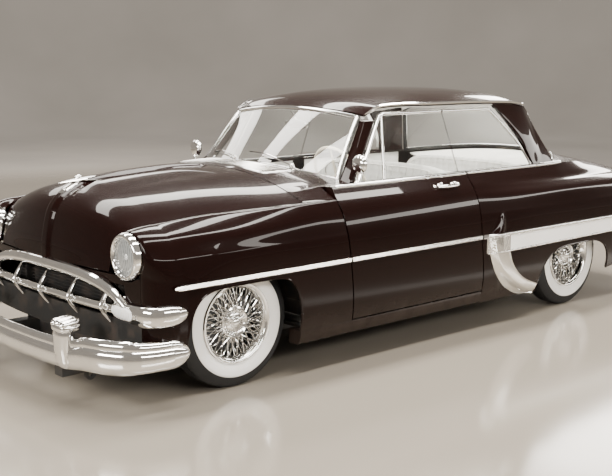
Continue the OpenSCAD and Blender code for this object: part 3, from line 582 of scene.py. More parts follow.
@dataclass(frozen=True)
class Studio(Finish):
    """Glossy pale floor paint that turns into a duller, softly glowing wall beyond it."""

    wall: Colour
    rough: float = 0.1
    blend: tuple[float, float] = (75.0, 130.0)

    def shade(self, t: Tree) -> None:
        """Sets up the shader."""
        high = (t.axis("X") * t.axis("X") + t.axis("Y") * t.axis("Y")).step(*self.blend)
        cloud = t.noise(0.35, 3)
        walls = cloud.blend(scaled(self.wall, 0.8), scaled(self.wall, 1.2))

        def blended(inner: Union[Link, Colour], outer: Link) -> Link:
            """The floor's value near the car and the wall's far from it."""
            return Link(t, t.node("ShaderNodeMix", {"data_type": "RGBA"},
                                  {0: high, 6: inner, 7: outer}).outputs[2])

        t.set(
            base_color=blended(cloud.blend(scaled(self.colour, 0.93), scaled(self.colour, 1.07)), walls),
            roughness=t.noise(2.5, 3) * 0.06 + self.rough + high * 0.6,
            specular_ior_level=0.5,
            emission_color=blended(tone(0, 0, 0), walls),
            emission_strength=1.0,
        )


class Coat(Enum):
    """The finishes that the car wears."""

    BODY = Paint("body enamel", tone(0.006, 0.0018, 0.0014))
    ROOF = Paint("roof enamel", tone(0.0064, 0.002, 0.0015), "roof_paint", 0.0)
    INSERT = Paint("cream side insert", tone(0.95, 0.93, 0.87), "body_paint", 0.05)
    DASH = Paint("dash enamel", tone(0.022, 0.008, 0.006), "dash_paint", 0.0)
    CHROME = Chrome("chrome plate")
    SATIN = Chrome("satin stainless trim", tone(0.86, 0.85, 0.82), rough=0.2)
    WIRE = Chrome("wheel chrome", tone(0.94, 0.94, 0.93), "wire_chrome", 0.07)
    # The headlamp bowls carry a painted glow that stands in for their bright reflection.
    REFLECTOR = Lens("lamp reflector", tone(0.78, 0.77, 0.74), flute=40.0, painted_glow=0.32)
    MIRROR = Chrome("mirror silver", tone(0.92, 0.92, 0.92), "chrome", 0.02)
    TYRE = Rubber("tyre rubber")
    WHITEWALL = Rubber("white sidewall", tone(0.97, 0.96, 0.93), rough=0.45)
    SEAL = Rubber("window rubber", tone(0.012, 0.012, 0.012), "glass", 0.5)
    GLASS = Glass("window glass")
    LENS = Glass("headlamp glass", tone(0.97, 0.98, 0.98), "lamp_clear", 0.03)
    # Parking, reversing and tail lamp lenses and the headlamp bulbs carry a painted glow, standing in for
    # reflected light.
    PARKING = Lens("parking lamp lens", tone(0.95, 0.94, 0.9), painted_glow=0.4)
    RED = Lens("tail lamp lens", tone(0.46, 0.012, 0.01), "lamp_red", 30, 0.12)
    CLOTH = Cloth("seat cloth", tone(0.74, 0.74, 0.72))
    BOLSTER = Vinyl("seat bolster", tone(0.84, 0.83, 0.8))
    LINER = Cloth("headliner", tone(0.66, 0.65, 0.62), threads=120)
    CARPET = Carpet("floor carpet", tone(0.1, 0.085, 0.075))
    FRAME = Metal("frame paint", tone(0.02, 0.02, 0.021), "chassis_black", rough=0.42)
    UNDER = Metal("underbody paint", tone(0.011, 0.011, 0.011), "under_paint", rough=0.6)
    CAST = Metal("cast iron", tone(0.075, 0.077, 0.08), "cast_grey", 0.75, 0.48, 0.45, 60)
    PIPE = Metal("exhaust steel", tone(0.34, 0.32, 0.29), "pipe_steel", 0.9, 0.42, 0.6)
    IVORY = Moulded("ivory rim plastic", tone(0.68, 0.63, 0.52))
    DARK = Moulded("dark dial plastic", tone(0.02, 0.02, 0.02), "dash_paint", 0.3)


MATERIALS: dict[str, bpy.types.Material] = {}


def material(finish: Finish) -> bpy.types.Material:
    """The finish's material, made once."""
    if finish.name not in MATERIALS:
        MATERIALS[finish.name] = finish.build()
    return MATERIALS[finish.name]


# ---------------------------------------------------------------- meshes
class Shape:
    """Points and faces that grow into one piece."""

    def __init__(self) -> None:
        """Starts empty."""
        self.points: list[Array] = []
        self.faces: list[tuple[int, ...]] = []
        self.count = 0

    def add(self, points: Array, faces: Iterable[Sequence[int]]) -> "Shape":
        """Adds points and the faces between them."""
        points = np.asarray(points, float).reshape(-1, 3)
        self.points.append(points)
        self.faces += [tuple(i + self.count for i in face) for face in faces]
        self.count += len(points)
        return self

    def grid(self, rows: Array, wrap: bool = False, back: bool = False) -> "Shape":
        """Adds an open sheet of quads.

        Args:
            rows: points by row and column.
            wrap: whether the last column joins the first.
            back: whether it faces the other way.
        """
        m, n = rows.shape[:2]
        i, j = np.meshgrid(np.arange(m - 1), np.arange(n if wrap else n - 1), indexing="ij")
        k = (j + 1) % n
        quads = np.stack([i * n + j, i * n + k, (i + 1) * n + k, (i + 1) * n + j], -1).reshape(-1, 4)
        return self.add(rows, (quads[:, ::-1] if back else quads).tolist())

    def wall(self, outer: Array, inner: Array) -> "Shape":
        """Adds a closed wall between two sheets of one size."""
        m, n = outer.shape[:2]
        at = np.arange(m * n).reshape(m, n)
        ring = np.concatenate([at[0, :], at[1:, -1], at[-1, -2::-1], at[-2:0:-1, 0]])
        after = np.roll(ring, -1)
        i, j = np.meshgrid(np.arange(m - 1), np.arange(n - 1), indexing="ij")
        quads = np.stack([at[i, j], at[i, j + 1], at[i + 1, j + 1], at[i + 1, j]], -1).reshape(-1, 4)
        rim = np.stack([after, ring, ring + m * n, after + m * n], -1)
        faces = quads.tolist() + (quads[:, ::-1] + m * n).tolist() + rim.tolist()
        return self.add(np.concatenate([outer.reshape(-1, 3), inner.reshape(-1, 3)]), faces)

    def bar(self, rings: Array, loop: bool = False) -> "Shape":
        """Adds a solid bar through rings of points, closed at its ends or joined into a loop."""
        m, n = rings.shape[:2]
        if loop:
            rings = np.concatenate([rings, rings[:1]])
            return self.grid(rings, wrap=True)
        start = self.count
        self.grid(rings, wrap=True)
        self.faces.append(tuple(start + i for i in range(n))[::-1])
        self.faces.append(tuple(start + (m - 1) * n + i for i in range(n)))
        return self

    def trim(
        self, path: Array, section: Sequence[tuple[float, float]], out: Array,
        size: Optional[Array] = None, loop: bool = False,
    ) -> "Shape":
        """Sweeps a section along a path.

        Args:
            path: points on the surface.
            section: points of depth out of the surface and height across the path.
            out: directions out of the surface.
            size: how much of the section stands at each point, for tapered ends.
            loop: whether the path closes on itself.
        """
        path = np.asarray(path, float)
        if loop:
            along = unit(np.roll(path, -1, 0) - np.roll(path, 1, 0))
        else:
            along = tangents(path)
        out = np.broadcast_to(np.asarray(out, float), path.shape)
        out = unit(out - (out * along).sum(-1, keepdims=True) * along)
        across = np.cross(along, out)
        size = np.ones(len(path)) if size is None else np.asarray(size, float)
        depth = np.array([p[0] for p in section])
        height = np.array([p[1] for p in section])
        rings = path[:, None] + size[:, None, None] * (
            depth[None, :, None] * out[:, None] + height[None, :, None] * across[:, None])
        return self.bar(rings, loop)

    def tube(self, path: Array, radius: Number, sides: int = 10, loop: bool = False) -> "Shape":
        """Adds a round bar along a path, whose radius may vary."""
        path = np.asarray(path, float)
        radius = np.broadcast_to(np.asarray(radius, float), (len(path),))
        along = tangents(path)
        least = np.eye(3)[np.argmin(np.abs(along).max(0))]
        return self.trim(path, oval(1, 1, sides), least, radius, loop)

    def lathe(
        self, profile: Sequence[tuple[float, float]], base: Sequence[float], axis: Sequence[float],
        sides: int = 64, loop: bool = False,
    ) -> "Shape":
        """Turns a profile of radius and distance about an axis.

        Args:
            profile: points of radius and distance along the axis.
            base: where distance is 0.
            axis: the axis's direction.
            sides: steps round it.
            loop: whether the profile closes on itself, as for a ring.
        """
        axis = unit(np.asarray(axis, float))
        side = unit(np.cross(axis, np.eye(3)[np.argmin(np.abs(axis))]))
        up = np.cross(axis, side)
        turn = turns(sides)
        round_ = np.cos(turn)[:, None] * side + np.sin(turn)[:, None] * up
        profile = list(profile) + ([profile[0]] if loop else [])
        rings = np.array([np.asarray(base) + r * round_ + a * axis for r, a in profile])
        if loop:
            return self.grid(rings, wrap=True)
        start, n = self.count, sides
        self.grid(rings, wrap=True)
        if profile[0][0] > 1e-6:
            self.faces.append(tuple(start + i for i in range(n))[::-1])
        if profile[-1][0] > 1e-6:
            self.faces.append(tuple(start + (len(rings) - 1) * n + i for i in range(n)))
        return self

    def merge(self, other: "Shape", matrix: Optional[Array] = None) -> "Shape":
        """Adds another shape, moved by a 4 by 4 matrix, turned inside out if that mirrors it."""
        points = np.concatenate(other.points)
        faces = other.faces
        if matrix is not None:
            points = points @ matrix[:3, :3].T + matrix[:3, 3]
            if np.linalg.det(matrix[:3, :3]) < 0:
                faces = [face[::-1] for face in faces]
        return self.add(points, faces)

    def mirrored(self) -> "Shape":
        """The same shape on the car's other side."""
        return Shape().merge(self, np.diag([1.0, -1.0, 1.0, 1.0]))

    def both(self) -> "Shape":
        """The shape with its mirror image."""
        return Shape().merge(self).merge(self.mirrored())

    def pair(self, name: str, node: str) -> None:
        """Makes a body panel and its mirror image.

        Args:
            name: the pieces' name, with a place for the side.
            node: the CAD node that each stands for, likewise.
        """
        for side, way in SIDES:
            shape = self if way > 0 else self.mirrored()
            shape.piece(name.format(side), Coat.BODY, replaces=[node.format(side)], bevel=PANEL_EDGE)

    def piece(
        self, name: str, finish: Coat, body: str = "body", replaces: Sequence[str] = (),
        bevel: float = 0.0, sharp: float = 32.0,
    ) -> bpy.types.Object:
        """Makes the Blender object.

        Args:
            name: the piece's name.
            finish: what it is finished in.
            body: the body it rides on.
            replaces: CAD nodes that it stands for.
            bevel: radius of its rounded edges.
            sharp: angle over which an edge stays crisp.

        Returns:
            The object.
        """
        mesh = bpy.data.meshes.new(name)
        mesh.from_pydata(np.concatenate(self.points).tolist(), [], self.faces)
        work = bmesh.new()
        work.from_mesh(mesh)
        bmesh.ops.remove_doubles(work, verts=work.verts, dist=WELD)
        bmesh.ops.dissolve_degenerate(work, edges=work.edges, dist=WELD)
        bmesh.ops.recalc_face_normals(work, faces=work.faces)
        work.to_mesh(mesh)
        work.free()
        mesh.shade_smooth()
        mesh.set_sharp_from_angle(angle=math.radians(sharp))
        mesh.materials.append(material(finish.value))
        obj = bpy.data.objects.new(name, mesh)
        bpy.context.scene.collection.objects.link(obj)
        if bevel:
            edge = obj.modifiers.new("rounded edges", "BEVEL")
            edge.width, edge.segments, edge.limit_method = bevel, 2, "ANGLE"
            edge.angle_limit, edge.harden_normals = math.radians(48), True
        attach(obj, body)
        if replaces:
            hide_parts(*replaces)
        log.info("%s: %d points", name, len(mesh.vertices))
        return obj


def inward(sheet: Array, wall: float) -> Array:
    """A sheet moved in along its normals by the wall."""
    down = np.gradient(sheet, axis=0)
    across = np.gradient(sheet, axis=1)
    return sheet - wall * unit(np.cross(down, across))


SIDES = (("left", 1), ("right", -1))
WELD = 2e-6
PANEL_EDGE = 0.0012
ROUNDED = 60.0


# ---------------------------------------------------------------- the body's shape
def centre_x(node: str) -> float:
    """Middle of a CAD node along the car."""
    low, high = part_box(node)
    return (low[0] + high[0]) / 2


F = centre_x("tyre_front_left")
R = centre_x("tyre_rear_left")
HALF = 0.93
BELT = 1.0
GAP = 0.009
SEAM = 0.0004
LID_GAP = 0.009
GLASS_TALL = 0.378
STRIP_Z = 0.612
TYRE_RADIUS = 0.345
FRONT_TRACK = 0.715
REAR_TRACK = 0.73
AXLE = ((0, 0, 0), (0, 1, 0))
UPRIGHT = ((0, 0, 0), (0, 0, 1))


@dataclass(frozen=True)
class BodyShape:
    """The outer surface of the body, worked out from its key sections."""

    rim_x: float = F + 0.588
    tail_x: float = R - 1.099
    lamp_y: float = 0.71
    lamp_z: float = 0.755
    lamp_ring: float = 0.12
    corner_y: float = 0.805
    raise_out: float = 0.022
    side: Curve = Curve([(0.175, 0.052), (0.27, 0.026), (0.4, 0.004), (0.6, 0), (0.75, 0.006),
                         (0.85, 0.03), (0.915, 0.062), (BELT, 0.13)])
    plan: Curve = Curve([(R - 1.13, 0.15), (R - 1.029, 0.072), (R - 0.85, 0.034), (R - 0.6, 0.008),
                         (R - 0.3, 0), (F, 0)])
    lead: Curve = Curve([(0.175, 0.581), (0.25, 0.761), (0.35, 0.931), (0.45, 1.021), (0.6, 1.061),
                         (0.651, 1.004), (0.727, 0.958), (0.787, 0.934), (0.839, 0.873), (0.864, 0.828),
                         (0.89, 0.7)])
    front_door: Curve = Curve([(0.267, -0.723), (0.604, -0.686), (0.933, -0.645), (BELT, -0.655)])
    rear_door: Curve = Curve([(0.29, 1.071), (0.6, 1.111), (0.917, 1.131), (BELT, 1.128)])
    fender: Curve = Curve([
        (F - 0.69, [[0.855, 0.935], [0.862, 0.926], [0.9, 0.85], [0.924, 0.75]]),
        (F - 0.41, [[0.84, 0.938], [0.862, 0.925], [0.902, 0.85], [0.924, 0.75]]),
        (F - 0.1, [[0.778, 0.928], [0.83, 0.922], [0.895, 0.85], [0.924, 0.75]]),
        (F + 0.17, [[0.722, 0.912], [0.782, 0.92], [0.88, 0.85], [0.92, 0.75]]),
        (F + 0.44, [[0.674, 0.884], [0.735, 0.896], [0.84, 0.85], [0.9, 0.75]])])
    quarter: Curve = Curve([
        (R - 1.0, [[0.58, 0.858], [0.625, 0.863], [0.68, 0.868], [0.735, 0.868], [0.785, 0.858],
                     [0.842, 0.822], [0.88, 0.75]]),
        (R - 0.7, [[0.585, 0.922], [0.64, 0.915], [0.705, 0.9], [0.77, 0.888], [0.83, 0.878],
                     [0.892, 0.838], [0.929, 0.75]]),
        (R - 0.44, [[0.592, 0.975], [0.655, 0.962], [0.72, 0.93], [0.785, 0.9], [0.848, 0.886],
                     [0.908, 0.843], [0.942, 0.75]]),
        (R - 0.15, [[0.65, 1.002], [0.728, 0.99], [0.775, 0.945], [0.815, 0.905], [0.865, 0.89],
                     [0.918, 0.846], [0.946, 0.75]]),
        (R + 0.081, [[0.692, 1.001], [0.77, 1.001], [0.803, 0.952], [0.835, 0.909], [0.875, 0.89],
                     [0.924, 0.846], [0.946, 0.75]]),
        (R + 0.2, [[0.698, 1.0], [0.785, 1.0], [0.815, 0.955], [0.842, 0.912], [0.88, 0.89],
                     [0.925, 0.846], [0.946, 0.75]]),
        (R + 0.7, [[0.698, 1.0], [0.798, 1.0], [0.828, 0.96], [0.852, 0.925], [0.88, 0.895],
                     [0.92, 0.848], [0.946, 0.75]]),
        (R + 1.125, [[0.698, 1.0], [0.8, 1.0], [0.832, 0.962], [0.855, 0.935], [0.872, 0.905],
                     [0.9, 0.85], [0.924, 0.75]])])
    crown: Curve = Curve([
        (0, [F - 0.414, 0, 1.082]), (0.25, [F - 0.15, 0, 1.076]), (0.5, [F + 0.15, 0, 1.06]),
        (0.7, [F + 0.4, 0, 1.034]), (0.8, [F + 0.512, 0, 1.002]), (0.88, [F + 0.6, 0, 0.92]),
        (0.95, [F + 0.641, 0, 0.773]), (1, [F + 0.65, 0, 0.664])])
    hood_edge: Curve = Curve([
        (0, [F - 0.414, 0.832, 0.938]), (0.25, [F - 0.15, 0.78, 0.93]), (0.5, [F + 0.11, 0.724, 0.914]),
        (0.7, [F + 0.35, 0.68, 0.894]), (0.8, [F + 0.492, 0.656, 0.87]), (0.86, [F + 0.545, 0.626, 0.844]),
        (0.9, [F + 0.572, 0.594, 0.812]), (0.95, [F + 0.6, 0.578, 0.745]), (1, [F + 0.618, 0.57, 0.664])])
    roof_edge: Curve = Curve([
        (R + 0.235, [0.592, 1.336]), (R + 0.33, [0.606, 1.396]), (R + 0.62, [0.614, 1.42]),
        (F - 1.7, [0.618, 1.424]), (F - 1.215, [0.606, 1.418]), (F - 1.097, [0.594, 1.368])])
    roof_crown: Curve = Curve([
        (R + 0.161, 1.446), (R + 0.42, 1.486), (R + 0.72, 1.509), (F - 1.8, 1.515),
        (F - 1.5, 1.506), (F - 1.3, 1.486), (F - 1.15, 1.452), (F - 1.045, 1.41)])
    lid_crown: Curve = Curve([
        (0, [R - 0.45, 0, 1.003]), (0.3, [R - 0.64, 0, 0.962]), (0.6, [R - 0.88, 0, 0.902]),
        (0.75, [R - 0.99, 0, 0.858]), (0.85, [R - 1.062, 0, 0.79]), (1, [R - 1.105, 0, 0.508])])
    tail_keys: Curve = Curve.even([
        [0.572, 0.8], [0.612, 0.82], [0.655, 0.83], [0.7, 0.832], [0.745, 0.822], [0.785, 0.79],
        [0.808, 0.73], [0.815, 0.64], [0.818, 0.54], [0.815, 0.42]])

    def raised(self, x: Number, z: Number) -> Array:
        """How far the rear fender's panel stands out, with a crisp leading edge."""
        return self.raise_out * ease((R + self.lead(z) - x) / 0.055) * ease((0.9 - z) / 0.055)

    def side_y(self, x: Number, z: Number) -> Array:
        """Half width of the body's side."""
        x, z = np.broadcast_arrays(x, z)
        return HALF - self.side(z) - self.plan(x) + self.raised(x, z)

    def side_point(self, x: Number, z: Number, proud: float = 0.0) -> Array:
        """Point on the left side, or a little proud of it."""
        return stacked(x, self.side_y(x, z) + proud, z)

    def side_out(self, x: Number, z: Number) -> Array:
        """Direction out of the left side."""
        step = 0.004
        dx = (self.side_y(x + step, z) - self.side_y(x - step, z)) / (2 * step)
        dz = (self.side_y(x, z + step) - self.side_y(x, z - step)) / (2 * step)
        return unit(stacked(-dx, 1.0, -dz))

    def front_gap(self, z: Number) -> Array:
        """Middle of the gap ahead of the door."""
        return F + self.front_door(z)

    def rear_gap(self, z: Number) -> Array:
        """Middle of the gap behind the door."""
        return R + self.rear_door(z)

    def lower_side(self, x: float, upper_y: float, low: float, s: Array) -> Array:
        """Side section from z 0.75 down to its lower edge."""
        z = lerp(0.75, low, s)
        y = self.side_y(x, z) + (upper_y - self.side_y(x, 0.75)) * (1 - s)
        return np.stack([y, z], -1)

    @staticmethod
    def arch(d: float, reach: float, low: float, high: float, power: float) -> float:
        """Height of a wheel opening at a distance from its middle."""
        return low + (high - low) * math.sqrt(max(0.0, 1 - (abs(d) / reach) ** power))

    def fender_low(self, x: float) -> float:
        """Lower edge of the front fender."""
        d = x - F
        if d > 0.4:
            return 0.3
        if d > 0:
            return self.arch(d, 0.4, 0.3, 0.58, 6)
        return self.arch(d, 0.345, 0.2604, 0.58, 6) if d > -0.345 else 0.2604

    def fender_section(self, x: float, s: Array) -> Array:
        """Front fender's section: half width and height from the hood seam down to its edge."""
        keys = self.fender(x)
        upper = Curve.even(keys)(np.clip(s * 2, 0, 1))
        lower = self.lower_side(x, keys[3][0], self.fender_low(x), np.clip(s * 2 - 1, 0, 1))
        return np.where((s <= 0.5)[..., None], upper, lower)

    def nose_rim(self, s: Array) -> Array:
        """Rim that the fender closes to, round the lamp and down the corner."""
        def ring(a: Array) -> Array:
            """Points on the lamp's ring."""
            return np.stack([self.lamp_y + self.lamp_ring * np.cos(a),
                             self.lamp_z + self.lamp_ring * np.sin(a)], -1)
        share = 0.625
        start, stop = math.radians(160), math.radians(-35)
        upper = ring(lerp(start, stop, np.clip(s / share, 0, 1)))
        lower = lerp(ring(np.array(stop)), np.array([self.corner_y, 0.3]),
                     np.clip((s - share) / (1 - share), 0, 1)[..., None])
        return np.where((s <= share)[..., None], upper, lower)

    def quarter_low(self, x: float) -> float:
        """Lower edge of the rear quarter."""
        d = x - R
        if d > 0.52:
            return 0.182
        if d > 0:
            return self.arch(d, 0.52, 0.182, 0.466, 5)
        if d > -0.3:
            return self.arch(d, 0.3, 0.24, 0.466, 3)
        return lerp(0.24, 0.3, (-0.3 - d) / 0.7)

    def quarter_section(self, x: float, s: Array) -> Array:
        """Rear quarter's section from its inner edge to its lower edge."""
        keys = self.quarter(x)
        sill = lerp(keys[0], keys[1], np.clip(s / 0.1, 0, 1)[..., None])
        upper = Curve.even(keys[1:7])(np.clip((s - 0.1) / 0.5, 0, 1))
        lower = self.lower_side(x, keys[6][0], self.quarter_low(x), np.clip((s - 0.6) / 0.4, 0, 1))
        s = s[..., None]
        return np.where(s <= 0.1, sill, np.where(s <= 0.6, upper, lower))

    def hood_point(self, u: Number, v: Number) -> Array:
        """Point of the hood: u from its back to the nose, v across."""
        u, v = np.broadcast_arrays(u, v)
        c, e, a = self.crown(u), self.hood_edge(u), np.abs(v)
        return stacked(lerp(c[..., 0], e[..., 0], a ** 2), e[..., 1] * v,
                       lerp(c[..., 2], e[..., 2], a ** 2.4))

    @staticmethod
    def fan(middle: Sequence[float], corner: Sequence[float], u: Number, px: float, pz: float) -> Array:
        """Bowed line from a middle point out to mirrored corners."""
        a = np.abs(u)
        return stacked(lerp(middle[0], corner[0], a ** px), corner[1] * u,
                       lerp(middle[2], corner[2], a ** pz))

    def wind_base(self, u: Number) -> Array:
        """Lower edge of the windshield."""
        return self.fan((F - 0.665, 0, 1.098), (F - 0.852, 0.64, 1.022), u, 2.2, 2)

    def wind_head(self, u: Number) -> Array:
        """Upper edge of the windshield."""
        return self.fan((F - 1.04, 0, 1.4), (F - 1.092, 0.56, 1.357), u, 2, 2)

    def rear_base(self, u: Number) -> Array:
        """Lower edge of the rear window."""
        return self.fan((R - 0.349, 0, 1.046), (R + 0.081, 0.688, 1.0014), u, 3, 2.2)

    def rear_head(self, u: Number) -> Array:
        """Upper edge of the rear window."""
        return self.fan((R + 0.161, 0, 1.436), (R + 0.221, 0.57, 1.326), u, 3, 2.6)

    def roof_x(self, t: Number) -> Number:
        """Place along the roof's side edge."""
        return lerp(R + 0.239, F - 1.107, t)

    def roof_point(self, t: Number, v: Number) -> Array:
        """Point of the roof: t from back to front, v across."""
        t, v = np.broadcast_arrays(t, v)
        a = np.abs(v)
        xc = lerp(R + 0.1674, F - 1.0464, t)
        xe = self.roof_x(t)
        e = self.roof_edge(xe)
        return stacked(lerp(xc, xe, a ** lerp(3, 2, t)), e[..., 0] * v,
                       lerp(self.roof_crown(xc), e[..., 1], a ** 2.6))

    def glass_y(self, x: Number, z: Number) -> Array:
        """Half width of the side glass."""
        draw = Curve([(R + 0.15, 0.042), (R + 0.5, 0.018), (R + 1.0, 0)])
        return 0.745 - 0.4 * (z - BELT) - draw(x)

    def glass_front(self, z: Number) -> Number:
        """Front edge of the door glass."""
        return lerp(F - 0.915, F - 1.232, (z - BELT) / GLASS_TALL)

    def glass_back(self, z: Number) -> Array:
        """Rounded rear edge of the quarter glass."""
        curve = Curve([(0, R + 0.352), (0.4, R + 0.433), (1, R + 0.6575)])
        return curve((np.asarray(z) - BELT) / GLASS_TALL)

    def nose_x(self, y: Number) -> Array:
        """Face of the nose panel."""
        return self.rim_x + 0.052 * (1 - (np.abs(y) / self.corner_y) ** 2.2)


BODY = BodyShape()
GLASS_TOP = 1.378
GLASS_SPLIT = R + 1.14


# ---------------------------------------------------------------- body panels
def eased_wall(sheet: Array, wall: float, square: Array, step: Sequence[float]) -> Array:
    """Inside of a panel: in along its normals, and along a fixed step where square is 1.

    Args:
        sheet: the outer surface.
        wall: its thickness.
        square: share of the fixed step, by column.
        step: the fixed direction, unit length.

    Returns:
        The inner surface.
    """
    inner = inward(sheet, wall)
    straight = sheet + wall * np.asarray(step, float)
    return lerp(inner, straight, square[None, :, None])


@dataclass
class Fenders:
    """Front fenders, closed round the headlamps, with a rolled lip at the wheel."""

    wall: float = 0.014
    cols: int = 96
    lip: float = 0.0055

    def row(self, x: float, s: Array) -> Array:
        """Section at x, slanted to follow the door's edge at its back."""
        back = BODY.front_gap(0.933) + GAP / 2
        p = BODY.fender_section(x, s)
        fade = np.clip((F - 0.4 - x) / (F - 0.4 - back), 0, 1) ** 2
        skew = (BODY.front_gap(np.clip(p[:, 1], 0.268, 0.933)) - BODY.front_gap(0.933)) * fade
        return stacked(x + skew, p[:, 0], p[:, 1])

    def nose_row(self, a: float, s: Array) -> Array:
        """Section of the nose at an angle of its roll forward."""
        start = F + 0.44
        p, q, k = BODY.fender_section(start, s), BODY.nose_rim(s), 1 - math.cos(a)
        return stacked(lerp(start, BODY.rim_x, math.sin(a)), lerp(p[:, 0], q[:, 0], k),
                       lerp(p[:, 1], q[:, 1], k))

    def sheet(self) -> Array:
        """The outer surface of the left fender."""
        s = span(self.cols)
        back = float(BODY.front_gap(0.933) + GAP / 2)
        places = np.concatenate([
            span(14, back, F - 0.423)[:-1], span(4, F - 0.423, F - 0.345)[:-1],
            cluster(64, F - 0.345, F + 0.4), [F + 0.42]])
        rows = [self.row(float(x), s) for x in places]
        rows += [self.nose_row(float(a), s) for a in span(30, 0, math.pi / 2)]
        return np.array(rows)

    def build(self) -> None:
        """Makes both fenders."""
        sheet = self.sheet()
        square = 1 - ease((span(self.cols) - 0.02) / 0.1)
        shell = Shape().wall(sheet, eased_wall(sheet, self.wall, square, (0, 0, -1)))
        shell.pair("front_fender_{}", "fender_{}")
        edge = sheet[18:18 + 65, -1]
        out = np.tile([0.0, 1.0, 0.0], (len(edge), 1))
        lips = Shape().trim(edge - [0, 0.004, 0], round_section(self.lip), out)
        lips.both().piece("fender_lips", Coat.BODY)


def half_round(height: float, depth: float, sides: int = 8) -> list[tuple[float, float]]:
    """Half-oval moulding that stands on a surface, sunk a little into it."""
    turn = [math.pi * (i / sides - 0.5) for i in range(sides + 1)]
    return [(-0.002, -height / 2)] + [(depth * math.cos(a), height / 2 * math.sin(a))
                                      for a in turn] + [(-0.002, height / 2)]


@dataclass
class Hood:
    """Hood with a raised spine down its middle, its ribs underneath, and the ornament."""

    wall: float = 0.014
    spine: float = 0.017
    spine_half: float = 0.046
    rows: int = 110
    cols: int = 96

    def sheet(self) -> Array:
        """The outer surface."""
        u = np.concatenate([span(60, 0, 0.7)[:-1], span(self.rows - 60, 0.7, 1.0)])[:, None]
        t = span(self.cols, -1, 1)[None, :]
        v = squared(t, 1.35)
        p = BODY.hood_point(u, v)
        rise = self.spine * ease((self.spine_half - np.abs(p[..., 1])) / 0.022) * ease(u / 0.1)
        wide = ease((0.3 - np.abs(p[..., 1])) / 0.2)
        rise = rise + 0.012 * wide * ease((u - 0.02) / 0.3) * ease((0.78 - u) / 0.1)
        return p - inward_normals(p) * rise[..., None]

    def build(self) -> None:
        """Makes the hood and what is on it."""
        sheet = self.sheet()
        Shape().wall(sheet, inward(sheet, self.wall)).piece(
            "hood_panel", Coat.BODY, "hood_body", ["hood"], bevel=PANEL_EDGE)
        self.ribs()
        self.ornament()

    def ribs(self) -> None:
        """Stamped frame under the hood."""
        frame = Shape()
        u = span(40, 0.06, 0.8)
        for v in (-0.72, -0.3, 0.3, 0.72):
            path = BODY.hood_point(u, v * (1 - 0.15 * u)) - [0, 0, 0.024]
            frame.trim(path, slab(-0.008, 0.035, 0.01, 0.022), (0, 0, -1))
        for u0 in (0.07, 0.4, 0.74):
            v = span(40, -0.8, 0.8)
            path = BODY.hood_point(u0, v) - [0, 0, 0.024]
            frame.trim(path, slab(-0.008, 0.04, 0.009, 0.026), (0, 0, -1))
        frame.piece("hood_ribs", Coat.UNDER, "hood_body")

    def ornament(self) -> None:
        """Chrome ornament: a swept upright fin on a broad base, with a low wing each side."""
        top = BODY.hood_point(span(30, 0.64, 0.835), 0.0)
        lift = top + [0, 0, self.spine]
        share = span(len(top) - 1)
        Shape().trim(lift - [0, 0, 0.002], half_round(0.062, 0.012, 12), (0.2, 0, 1),
                     np.interp(share, [0, 0.15, 0.55, 0.9, 1], [0.25, 0.6, 0.85, 1.0, 0.55])).piece(
            "ornament_base", Coat.CHROME, "hood_body")
        turn = turns(14)
        spear = stacked(span(24, F + 0.3, F + 0.56), 0.0, lerp(1.068, 1.046, span(24)))
        size = np.interp(span(24), [0, 0.2, 0.6, 0.85, 1], [0.35, 0.8, 1.0, 0.65, 0.08])
        body = Shape().trim(spear, oval(0.011, 0.024, 14), (0, 0, 1), size)
        for middle, tall, long in ((F + 0.455, 0.03, 0.042), (F + 0.335, 0.018, 0.04)):
            rings = []
            for t in span(8):
                k = math.sqrt(max(0.04, 1 - t ** 3))
                rings.append(stacked(middle - 0.016 * t + 0.5 * long * k * np.cos(turn),
                                     0.0075 * k * np.sin(turn), 1.054 + tall * t))
            body.bar(np.array(rings))
        body.piece("ornament_fin", Coat.CHROME, "hood_body")
        wings = Shape()
        for way in (1, -1):
            t = span(14)
            path = stacked(F + 0.43 - 0.1 * t, way * (0.012 + 0.058 * t), 1.056 - 0.004 * t)
            wings.trim(path, oval(0.0035, 0.022, 14), (0, 0, 1),
                       np.interp(t, [0, 0.3, 0.9, 1], [1.1, 0.9, 0.35, 0.08]))
        wings.piece("ornament_wings", Coat.CHROME, "hood_body")


def inward_normals(sheet: Array) -> Array:
    """Unit normals that point into the body."""
    return -unit(np.cross(np.gradient(sheet, axis=0), np.gradient(sheet, axis=1)))


